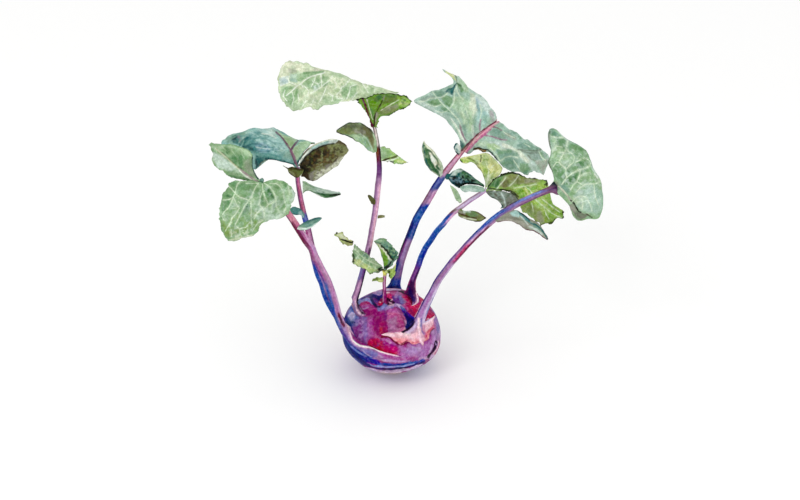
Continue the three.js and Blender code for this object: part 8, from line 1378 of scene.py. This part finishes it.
def blade(name):
    spec = BLADES[name]
    opt = LEAVES.get(name, {})
    rows = [np.array(r, float) for r in spec["rows"]]
    for r in rows:
        w = np.linalg.norm(r[0] - r[-1]) / 2
        if w < 0.7:
            m = (r[0] + r[-1]) / 2
            r[:] = m + (r - m) * (0.7 / max(w, 0.05))
    rows = np.array(rows)
    nR, nC = rows.shape[:2]
    wmax = max(np.linalg.norm(np.diff(r, axis=0), axis=1).sum() for r in rows)
    lmax = max(np.linalg.norm(np.diff(rows[:, c], axis=0), axis=1).sum() for c in range(nC))
    cell = opt.get("cell", CELL_BIG if wmax * lmax > 900 else CELL_SMALL)
    nu = int(np.clip(wmax / cell, 14, 170)) | 1
    nv = int(np.clip(lmax / cell, 14, 200))
    nu += 1
    u = np.linspace(0, 1, nu)
    v = np.linspace(0, 1, nv)
    fold = spec["fold"]
    across = np.array([spline(r, u) * (1 - fold) + linear(r, u) * fold for r in rows])   # nR, nu, 3
    S = spline(across, v)                                                                # nv, nu, 3
    # distances to the margins along the surface
    wrow = np.linalg.norm(np.diff(S, axis=1), axis=2).sum(1)
    lcol = np.linalg.norm(np.diff(S, axis=0), axis=2).sum(0)
    U, Vv = np.meshgrid(u, v)
    eL = U * wrow[:, None]
    eR = (1 - U) * wrow[:, None]
    eT = (1 - Vv) * lcol[None]
    eB = Vv * lcol[None]
    e = np.minimum(np.minimum(eL, eR), eT)
    seed = sum(ord(c) for c in name)
    nz = lambda s, k: noise(S, s, seed + k)
    for xc, y_top, y_low, dx, dy in opt.get("push", []):
        Vp = to_view(S)
        w = (np.clip((y_low - Vp[..., 1]) / (y_low - y_top), 0, 1.15) ** 1.05) * smooth(26, 12, np.abs(Vp[..., 0] - xc))
        dep = (S - EYE) @ AXIS_F / FOCAL
        S = S + (w * dep)[..., None] * (dx * AXIS_R - dy * AXIS_U)
    # the margin follows the traced outline; the shift dies away inwards
    lines = [pts_of(r) for r in opt.get("rim", [])]
    if lines:
        reach_row = np.clip(0.36 * wrow + 0.8, opt.get("reach_min", 1.0), opt.get("reach", 5.5))
        grow = smooth(0.0, 3.0, v * lcol.mean())[:, None]
        dL = snap_row(S[:, 0], None, lines, reach_row) * grow
        dR = snap_row(S[:, -1], None, lines, reach_row) * grow
        dT = snap_row(S[-1], None, lines, np.full(nu, min(opt.get("reach", 5.5), 0.36 * lcol.mean() + 0.8)))
        fadeL = np.clip(np.minimum(wrow, 18) / 4.5, 0.8, 4.0)[:, None]
        wL, wR = np.exp(-eL / fadeL), np.exp(-eR / fadeL)
        wT = np.exp(-eT / 4.0)
        tot = np.maximum(1.0, wL + wR + wT)
        edgeness = smooth(0, 2.0, np.minimum(eL, eR))
        S = S + (dL[:, None] * (wL / tot)[..., None] + dR[:, None] * (wR / tot)[..., None] + dT[None] * (wT / tot * edgeness)[..., None])
    for y_top, y_low, k, left in opt.get("widen", []):
        Vp = to_view(S)
        L = pts_of(left)
        f = k * np.clip((y_low - Vp[..., 1]) / (y_low - y_top), 0, 1.1)
        dep = (S - EYE) @ AXIS_F / FOCAL
        S = S + ((Vp[..., 0] - np.interp(Vp[..., 1], L[:, 1], L[:, 0])) * f * dep)[..., None] * AXIS_R
    du = np.gradient(S, axis=1)
    dv = np.gradient(S, axis=0)
    # fine teeth and a ruffle that dies away inwards
    amp = opt.get("scallop", 0.6)
    N0 = norm(np.cross(du, dv))
    outL, outR, outT = -norm(du), norm(du), norm(dv)
    root = smooth(1.5, 9, eB)
    jag = amp * (0.55 * nz(4.0, 1) + 0.45 * nz(1.7, 2))
    S = S + (outL * (np.exp(-eL / 1.1))[..., None] + outR * (np.exp(-eR / 1.1))[..., None]) * (jag * root)[..., None]
    S = S + outT * (np.exp(-eT / 1.1) * jag * 0.8)[..., None]
    ruf = opt.get("ruffle", 0.8)
    S = S + N0 * (ruf * (nz(9.0, 3) + 0.5 * nz(4.2, 4)) * np.exp(-e / 3.2) * root)[..., None]
    # veins in leaf coordinates: a midrib, and side veins that leave it and curve to the tip
    V2 = to_view(S)
    mid = opt.get("mid", 0.5)
    ub = (U - mid) * wrow[:, None]
    dm = np.abs(ub)
    vein = 0 * U
    ridge = 0 * U
    taper = 1 - 0.75 * Vv
    if opt.get("midrib", True):
        vein = np.maximum(vein, 0.8 * np.exp(-(dm / (0.35 * taper + 0.2)) ** 2))
        ridge = np.maximum(ridge, np.exp(-(dm / (0.7 * taper + 0.3)) ** 2))
    k_side = opt.get("side_veins", max(3, int(lmax / 8)))
    sd = np.full(U.shape, 1e9)
    if k_side:
        half = np.where(ub < 0, mid * wrow[:, None], (1 - mid) * wrow[:, None]) + 1e-6
        x = dm / half
        for sgn in (-1, 1):
            for q in range(k_side):
                v0 = (q + 0.35 + 0.25 * math.sin(seed + 3 * q + sgn)) / k_side * 0.86
                lean = opt.get("lean", 0.34) * (1 + 0.2 * math.sin(seed * 1.7 + 5 * q + sgn))
                curve = v0 + lean * x ** 0.85 + 0.02 * np.sin(6 * x + q)
                dd = np.abs(Vv - curve) * lcol[None] * 0.8
                dd = np.where((ub * sgn > 0), dd, 1e9)
                sd = np.minimum(sd, dd + 0.25 * x)
        fade = smooth(0.98, 0.7, dm / half)
        auto = np.exp(-(sd / 0.42) ** 2) * (0.35 + 0.65 * fade)
        vein = np.maximum(vein, auto * opt.get("auto", 0.75))
        ridge = np.maximum(ridge, auto * 0.7 * opt.get("auto", 0.75))
    # veins given in the main view
    drawn = [(pts_of(p), w) for p, w in opt.get("veins", [])]
    for pts, w in drawn:
        d = line_dist(V2, pts)
        d = d + 0.18 * noise(V2, 3.0, seed)
        ridge = np.maximum(ridge, 0.8 * (1 - smooth(0.3 * w, 0.3 * w + 0.9, d)))
        sd = np.minimum(sd, line_dist(V2, pts))
    keel = 0 * U
    for pts, w in [(pts_of(p), w) for p, w in opt.get("ribs", [])]:
        d = line_dist(V2, pts)
        keel = np.maximum(keel, w * (1 - smooth(0.2 * w, 1.6 * w, d)))
    puff = smooth(0.3, 3.4, np.minimum(sd, dm + 0.3)) * smooth(0, 3, e)
    hs = opt.get("relief", 1.0)
    N = norm(np.cross(np.gradient(S, axis=1), np.gradient(S, axis=0)))
    eye = norm(EYE - S)
    to_eye = (N * eye).sum(-1).mean()
    vis_top = spec.get("vis", "top") == "top"
    up_sign = (1.0 if to_eye > 0 else -1.0) * (1.0 if vis_top else -1.0)   # +1: N points out of the upper side
    face_sign = 1.0 if to_eye > 0 else -1.0
    blister = (0.42 * puff * (0.7 + 0.3 * nz(6, 6)) + 0.16 * nz(3.4, 5) * smooth(0, 2.5, e)) * hs
    S = S + N * (up_sign * (blister - 0.22 * ridge * hs) + face_sign * keel)[..., None]
    N = norm(np.cross(np.gradient(S, axis=1), np.gradient(S, axis=0)))
    half_t = 0.24 * (0.45 + 0.55 * smooth(0, 1.6, e))
    top_side = S + N * (up_sign * half_t)[..., None]
    rib = 0.6 * ridge * np.clip(1.2 - Vv, 0.2, 1) * opt.get("rib", 1.0)
    low_side = S - N * (up_sign * (half_t + rib * smooth(0, 1.2, e)))[..., None]
    A, Bm = (top_side, low_side) if up_sign > 0 else (low_side, top_side)
    # colours: the two sides take the same washes, weaker on the side turned away
    turned = (N * eye).sum(-1)
    blot, veil, fleck = fbm(S, 13, seed + 21), fbm(S, 5, seed + 22), noise(S, 2.2, seed + 23)
    vt = opt.get("vein_tone", 0.7)
    def tint(side, sgn):
        full = 0.4 + 0.6 * smooth(-0.16, 0.1, sgn * turned)
        V = to_view(side)
        pair = opt["top"] if sgn == face_sign else opt["under"]
        T = np.zeros(side.shape) + lin3(pair[0])
        T = lay(T, smooth(-0.25, 0.45, blot), pair[1], 0.75)
        T0 = T
        T = washes(T, V, opt.get("wash", []), seed + 9)
        m = vein * 0.8
        for pts, w in drawn:
            d = line_dist(V, pts) + 0.15 * noise(V, 3.0, seed)
            m = np.maximum(m, 1 - smooth(0.16 * w, 0.26 * w + 0.5, d))
        T = lay(T, m * vt, opt.get("vein_pig", "vein"), 0.92)
        if vt > 0.6:
            T = lay(T, np.exp(-(sd / 1.5) ** 2) * smooth(-0.5, 0.6, nz(3.2, 31)), "vein", 0.24)
            T = lay(T, smooth(0.9, 2.6, sd) * smooth(0.0, 0.7, nz(4.4, 33)) * smooth(0.5, 3, e), "deep", 0.26)
        for pig, wide, k, where in opt.get("edge", []):
            m = np.exp(-(e / wide) ** 2) * smooth(-0.9, -0.1, nz(3.0, 9)) * smooth(0.5, 3, eB)
            if where:
                m = m * line_mask(V, pts_of(where), 3.0, 2.0)
            T = lay(T, m, pig, k)
        T = T0 * (1 - full[..., None]) + T * full[..., None]
        # small tonal flecks, and pigment gathered along the margin
        T = T * (1 + 0.10 * veil + 0.09 * fleck + 0.07 * noise(S, 1.3, seed + 24))[..., None]
        pool = np.exp(-(e / 0.55) ** 2) * smooth(-0.5, 0.3, nz(5, 8)) * smooth(1, 6, eB)
        return T * (1 - opt.get("pool", 0.26) * pool)[..., None]
    ta, tb = tint(A, 1.0), tint(Bm, -1.0)
    P = np.concatenate([A.reshape(-1, 3), Bm.reshape(-1, 3)])
    n = nu * nv
    ii = (np.arange(nv - 1)[:, None] * nu + np.arange(nu - 1)[None]).ravel()
    fa = np.stack([ii, ii + 1, ii + nu + 1, ii + nu], -1)
    fb = fa[:, ::-1] + n
    loop = np.concatenate([np.arange(nu), nu * np.arange(2, nv + 1) - 1, nu * (nv - 1) + np.arange(nu - 1)[::-1], nu * np.arange(nv - 1)[::-1][:-1]])
    nxt = np.roll(loop, -1)
    rimf = np.stack([nxt, loop, loop + n, nxt + n], -1)
    leaf_c = lambda f: np.stack([np.full(U.shape, f), ridge, puff], -1).reshape(-1, 3)
    return make_mesh(name + "_leaf", P, [fa, fb, rimf], {
        "tint": np.concatenate([ta.reshape(-1, 3), tb.reshape(-1, 3)]) * GAIN,
        "leaf_c": np.concatenate([leaf_c(1.0 if up_sign > 0 else 0.0), leaf_c(0.0 if up_sign > 0 else 1.0)])})

# ------------------------------------------------------------------ materials
class Nodes:
    def __init__(self, name):
        self.mat = bpy.data.materials.new(name)
        self.mat.use_nodes = True
        self.nt = self.mat.node_tree
        self.nt.nodes.clear()
        self.out = self.nt.nodes.new("ShaderNodeOutputMaterial")
        self.bsdf = self.nt.nodes.new("ShaderNodeBsdfPrincipled")
        self.nt.links.new(self.bsdf.outputs[0], self.out.inputs[0])
        self.co = self.nt.nodes.new("ShaderNodeTexCoord").outputs["Object"]

    def link(self, a, b):
        self.nt.links.new(a, b)

    def _put(self, sock, val):
        if isinstance(val, bpy.types.NodeSocket):
            self.link(val, sock)
        else:
            sock.default_value = val

    def attr(self, name):
        a = self.nt.nodes.new("ShaderNodeAttribute")
        a.attribute_name = name
        s = self.nt.nodes.new("ShaderNodeSeparateXYZ")
        self.link(a.outputs["Vector"], s.inputs[0])
        return s.outputs[0], s.outputs[1], s.outputs[2]

    def tint(self):
        a = self.nt.nodes.new("ShaderNodeAttribute")
        a.attribute_name = "tint"
        return a.outputs["Color"]

    def noise(self, mm, detail=3.0, rough=0.55, distort=0.0, stretch=None):
        n = self.nt.nodes.new("ShaderNodeTexNoise")
        n.inputs["Scale"].default_value = 1000.0 / mm
        n.inputs["Detail"].default_value = detail
        n.inputs["Roughness"].default_value = rough
        n.inputs["Distortion"].default_value = distort
        co = self.co
        if stretch:
            m = self.nt.nodes.new("ShaderNodeMapping")
            m.inputs["Scale"].default_value = stretch
            self.link(co, m.inputs[0])
            co = m.outputs[0]
        self.link(co, n.inputs["Vector"])
        return n.outputs["Fac"]

    def cells(self, mm, feature="DISTANCE_TO_EDGE", warp=0.0):
        v = self.nt.nodes.new("ShaderNodeTexVoronoi")
        v.feature = feature
        v.inputs["Scale"].default_value = 1000.0 / mm
        co = self.co
        if warp:
            n = self.nt.nodes.new("ShaderNodeTexNoise")
            n.inputs["Scale"].default_value = 1000.0 / (mm * 1.2)
            n.inputs["Detail"].default_value = 2.0
            self.link(co, n.inputs["Vector"])
            ma = self.nt.nodes.new("ShaderNodeVectorMath")
            ma.operation = "MULTIPLY_ADD"
            self.link(n.outputs["Color"], ma.inputs[0])
            ma.inputs[1].default_value = (warp * mm / 1000,) * 3
            self.link(co, ma.inputs[2])
            co = ma.outputs[0]
        self.link(co, v.inputs["Vector"])
        return v.outputs["Distance"]

    def ramp(self, x, a, b, lo=0.0, hi=1.0):
        r = self.nt.nodes.new("ShaderNodeMapRange")
        r.interpolation_type = "SMOOTHSTEP"
        self.link(x, r.inputs["Value"])
        r.inputs["From Min"].default_value = a
        r.inputs["From Max"].default_value = b
        r.inputs["To Min"].default_value = lo
        r.inputs["To Max"].default_value = hi
        return r.outputs[0]

    def math(self, op, a, b=0.0):
        m = self.nt.nodes.new("ShaderNodeMath")
        m.operation = op
        self._put(m.inputs[0], a)
        self._put(m.inputs[1], b)
        return m.outputs[0]

    def mix(self, fac, a, b, mode="MIX"):
        m = self.nt.nodes.new("ShaderNodeMix")
        m.data_type = "RGBA"
        m.blend_type = mode
        m.clamp_factor = True
        self._put(m.inputs[0], fac)
        self._put(m.inputs[6], a)
        self._put(m.inputs[7], b)
        return m.outputs[2]

    def hsv(self, col, hue=None, sat=None, val=None):
        g = self.nt.nodes.new("ShaderNodeHueSaturation")
        self.link(col, g.inputs["Color"])
        for key, s in (("Hue", hue), ("Saturation", sat), ("Value", val)):
            if s is not None:
                self.link(s, g.inputs[key])
        return g.outputs[0]

    def bump(self, height, mm, strength=1.0):
        b = self.nt.nodes.new("ShaderNodeBump")
        b.inputs["Distance"].default_value = mm / 1000
        b.inputs["Strength"].default_value = strength
        self.link(height, b.inputs["Height"])
        self.link(b.outputs[0], self.bsdf.inputs["Normal"])


def lin(c):
    v = lin3(c)
    return (float(v[0]), float(v[1]), float(v[2]), 1.0)


def leaf_material(name, net_tone, net_mm, rough_lo, rough_hi, under_net):
    m = Nodes("leaf_" + name)
    side, ridge, puff = m.attr("leaf_c")
    grain = m.noise(1.2, 5, 0.7)
    veil = m.ramp(m.noise(3.4, 5, 0.7, 0.5), 0.34, 0.66)
    blotch = m.ramp(m.noise(11, 4, 0.6, 0.6), 0.34, 0.66)
    hue = m.ramp(m.noise(7.5, 3, 0.5, 0.4), 0.34, 0.66, 0.488, 0.508)
    net = m.ramp(m.cells(net_mm, warp=0.45), 0.015, 0.14, 1.0, 0.0)
    fine = m.ramp(m.cells(net_mm * 0.4, warp=0.4), 0.02, 0.17, 1.0, 0.0)
    val = m.math("MULTIPLY", m.ramp(blotch, 0, 1, 0.94, 1.05), m.ramp(veil, 0, 1, 0.88, 1.10))
    val = m.math("MULTIPLY", val, m.ramp(grain, 0.3, 0.7, 0.88, 1.10))
    col = m.hsv(m.tint(), hue, m.ramp(veil, 0, 1, 1.16, 0.94), val)
    # the fine net of veins: pale on the upper side, plainer below
    pale = m.hsv(col, None, m.ramp(net, 0, 1, 1.0, 0.72), m.ramp(net, 0, 1, 1.0, 1.24))
    amount = m.math("ADD", m.math("MULTIPLY", side, net_tone), m.math("MULTIPLY", m.math("SUBTRACT", 1.0, side), under_net))
    col = m.mix(m.math("MULTIPLY", m.math("MULTIPLY", net, amount), m.ramp(blotch, 0, 1, 0.45, 1.0)), col, pale)
    col = m.mix(m.math("MULTIPLY", fine, 0.16), col, m.hsv(col, None, None, m.ramp(fine, 0, 1, 1.0, 0.8)))
    m.link(col, m.bsdf.inputs["Base Color"])
    m.link(m.ramp(m.noise(3.0, 3), 0.3, 0.7, rough_lo, rough_hi), m.bsdf.inputs["Roughness"])
    m.bsdf.inputs["Specular IOR Level"].default_value = 0.035
    h = m.math("ADD", m.math("MULTIPLY", net, -0.6), m.math("ADD", m.math("MULTIPLY", fine, -0.25), m.math("MULTIPLY", grain, 0.5)))
    m.bump(h, 0.16, 0.6)
    return m.mat


def bulb_material():
    m = Nodes("kohlrabi_skin")
    stub, low, small = m.attr("skin_c")
    mid = m.ramp(m.noise(8.5, 4, 0.6, 0.8), 0.36, 0.64)
    wash = m.ramp(m.noise(3.2, 5, 0.62, 0.3), 0.34, 0.68)
    grain = m.noise(0.9, 5, 0.7)
    streak = m.ramp(m.noise(2.0, 3, 0.6, 0.0, (1.0, 1.0, 0.22)), 0.42, 0.66)
    pores = m.ramp(m.cells(2.6, "F1"), 0.04, 0.14, 1.0, 0.0)
    val = m.math("MULTIPLY", m.ramp(mid, 0, 1, 0.94, 1.06), m.ramp(wash, 0, 1, 0.86, 1.12))
    val = m.math("MULTIPLY", val, m.ramp(grain, 0.3, 0.7, 0.88, 1.10))
    val = m.math("MULTIPLY", val, m.math("MULTIPLY", m.ramp(streak, 0, 1, 0.98, 1.12), m.ramp(pores, 0, 1, 1.0, 1.25)))
    col = m.hsv(m.tint(), m.ramp(m.noise(12, 3, 0.5, 0.5), 0.34, 0.66, 0.488, 0.512), m.ramp(wash, 0, 1, 1.16, 0.94), val)
    wood = m.mix(m.ramp(m.noise(1.8, 4, 0.6, 0.5), 0.35, 0.65), lin((196, 178, 140)), lin((150, 126, 88)))
    col = m.mix(stub, col, wood)
    m.link(col, m.bsdf.inputs["Base Color"])
    m.link(m.math("ADD", m.ramp(mid, 0, 1, 0.4, 0.54), m.math("MULTIPLY", stub, 0.35)), m.bsdf.inputs["Roughness"])
    m.bsdf.inputs["Specular IOR Level"].default_value = 0.035
    m.bump(m.math("ADD", m.math("MULTIPLY", grain, 0.35), m.math("ADD", m.math("MULTIPLY", streak, 0.3), m.math("MULTIPLY", pores, 0.5))), 0.12, 0.6)
    return m.mat


def stalk_material():
    m = Nodes("stalk_skin")
    small, tip, across = m.attr("skin_c")
    mid = m.ramp(m.noise(9, 4, 0.6, 0.6), 0.36, 0.64)
    wash = m.ramp(m.noise(2.6, 5, 0.62, 0.3), 0.34, 0.68)
    grain = m.noise(0.8, 5, 0.7)
    streak = m.ramp(m.noise(1.4, 3, 0.6, 0.0, (1.0, 1.0, 0.12)), 0.4, 0.66)
    val = m.math("MULTIPLY", m.ramp(mid, 0, 1, 0.95, 1.05), m.ramp(wash, 0, 1, 0.87, 1.10))
    val = m.math("MULTIPLY", val, m.math("MULTIPLY", m.ramp(grain, 0.3, 0.7, 0.94, 1.06), m.ramp(streak, 0, 1, 0.96, 1.07)))
    col = m.hsv(m.tint(), m.ramp(m.noise(10, 3, 0.5, 0.5), 0.34, 0.66, 0.49, 0.51), m.ramp(wash, 0, 1, 1.14, 0.96), val)
    m.link(col, m.bsdf.inputs["Base Color"])
    m.link(m.ramp(mid, 0, 1, 0.42, 0.58), m.bsdf.inputs["Roughness"])
    m.bsdf.inputs["Specular IOR Level"].default_value = 0.035
    m.bump(m.math("ADD", m.math("MULTIPLY", grain, 0.3), m.math("MULTIPLY", streak, 0.5)), 0.1, 0.6)
    return m.mat


# ------------------------------------------------------------------ assembly
def place(ob, node, mat):
    ob.data.materials.append(mat)
    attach(ob, "root")
    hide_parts(node)
    return sum(len(p.vertices) - 2 for p in ob.data.polygons)


SLOTS = {s["node"]: s["material_slot"] for s in frame["record"]["subparts"]}
tris = {}
tris["bulb"] = place(bulb(), "bulb", bulb_material())
stalk_mat = stalk_material()
for name in STALKS:
    tris[name] = place(stalk(name), name, stalk_mat)
LOOKS = {"blade_green": (0.55, 3.1, 0.52, 0.7, 0.7), "blade_pale": (0.45, 3.6, 0.52, 0.7, 0.6),
         "blade_teal": (0.3, 3.4, 0.48, 0.66, 0.5), "blade_under": (0.35, 2.8, 0.56, 0.74, 0.6)}
leaf_mats = {}
for name in BLADES:
    look = SLOTS[name]
    if look not in leaf_mats:
        leaf_mats[look] = leaf_material(look, *LOOKS[look])
    tris[name] = place(blade(name), name, leaf_mats[look])
print("triangles", sum(tris.values()), sorted(tris.items(), key=lambda t: -t[1])[:6])

# ------------------------------------------------------------------ the stage
scene = bpy.context.scene
me = bpy.data.meshes.new("floor")
me.from_pydata([(-8, -8, 0), (8, -8, 0), (8, 8, 0), (-8, 8, 0)], [], [(0, 1, 2, 3)])
floor = bpy.data.objects.new("floor", me)
scene.collection.objects.link(floor)
fm = bpy.data.materials.new("pale_floor")
fm.use_nodes = True
fb = fm.node_tree.nodes["Principled BSDF"]
fb.inputs["Base Color"].default_value = (0.97, 0.97, 0.965, 1)
fb.inputs["Roughness"].default_value = 0.95
fb.inputs["Specular IOR Level"].default_value = 0.05
me.materials.append(fm)

world = bpy.data.worlds.new("studio")
scene.world = world
world.use_nodes = True
world.node_tree.nodes["Background"].inputs[0].default_value = (1.0, 1.0, 1.0, 1)
world.node_tree.nodes["Background"].inputs[1].default_value = 0.96


def lamp(name, where, size, power, colour=(1, 1, 1)):
    ld = bpy.data.lights.new(name, "AREA")
    ld.shape = "DISK"
    ld.size = size
    ld.energy = power
    ld.color = colour
    ob = bpy.data.objects.new(name, ld)
    scene.collection.objects.link(ob)
    ob.location = where
    aim = Vector((0.0, 0.0, 0.13)) - Vector(where)
    ob.rotation_mode = "QUATERNION"
    ob.rotation_quaternion = aim.to_track_quat("-Z", "Y")


lamp("key", (-0.9, -1.1, 1.5), 0.8, 6.5, (1.0, 0.99, 0.97))
lamp("fill", (1.3, -0.8, 0.9), 1.2, 2.0, (0.97, 0.985, 1.0))

cd = bpy.data.cameras.new("camera")
cd.lens, cd.sensor_width = 85.0, 36.0
cd.clip_start, cd.clip_end = 0.05, 30.0
cam = bpy.data.objects.new("camera", cd)
scene.collection.objects.link(cam)
cam.location = Vector(EYE * 0.001)
cam.rotation_mode = "QUATERNION"
cam.rotation_quaternion = Vector(AXIS_F).to_track_quat("-Z", "Y")
scene.camera = cam
scene.view_settings.view_transform = "Standard"
scene.view_settings.look = "None"
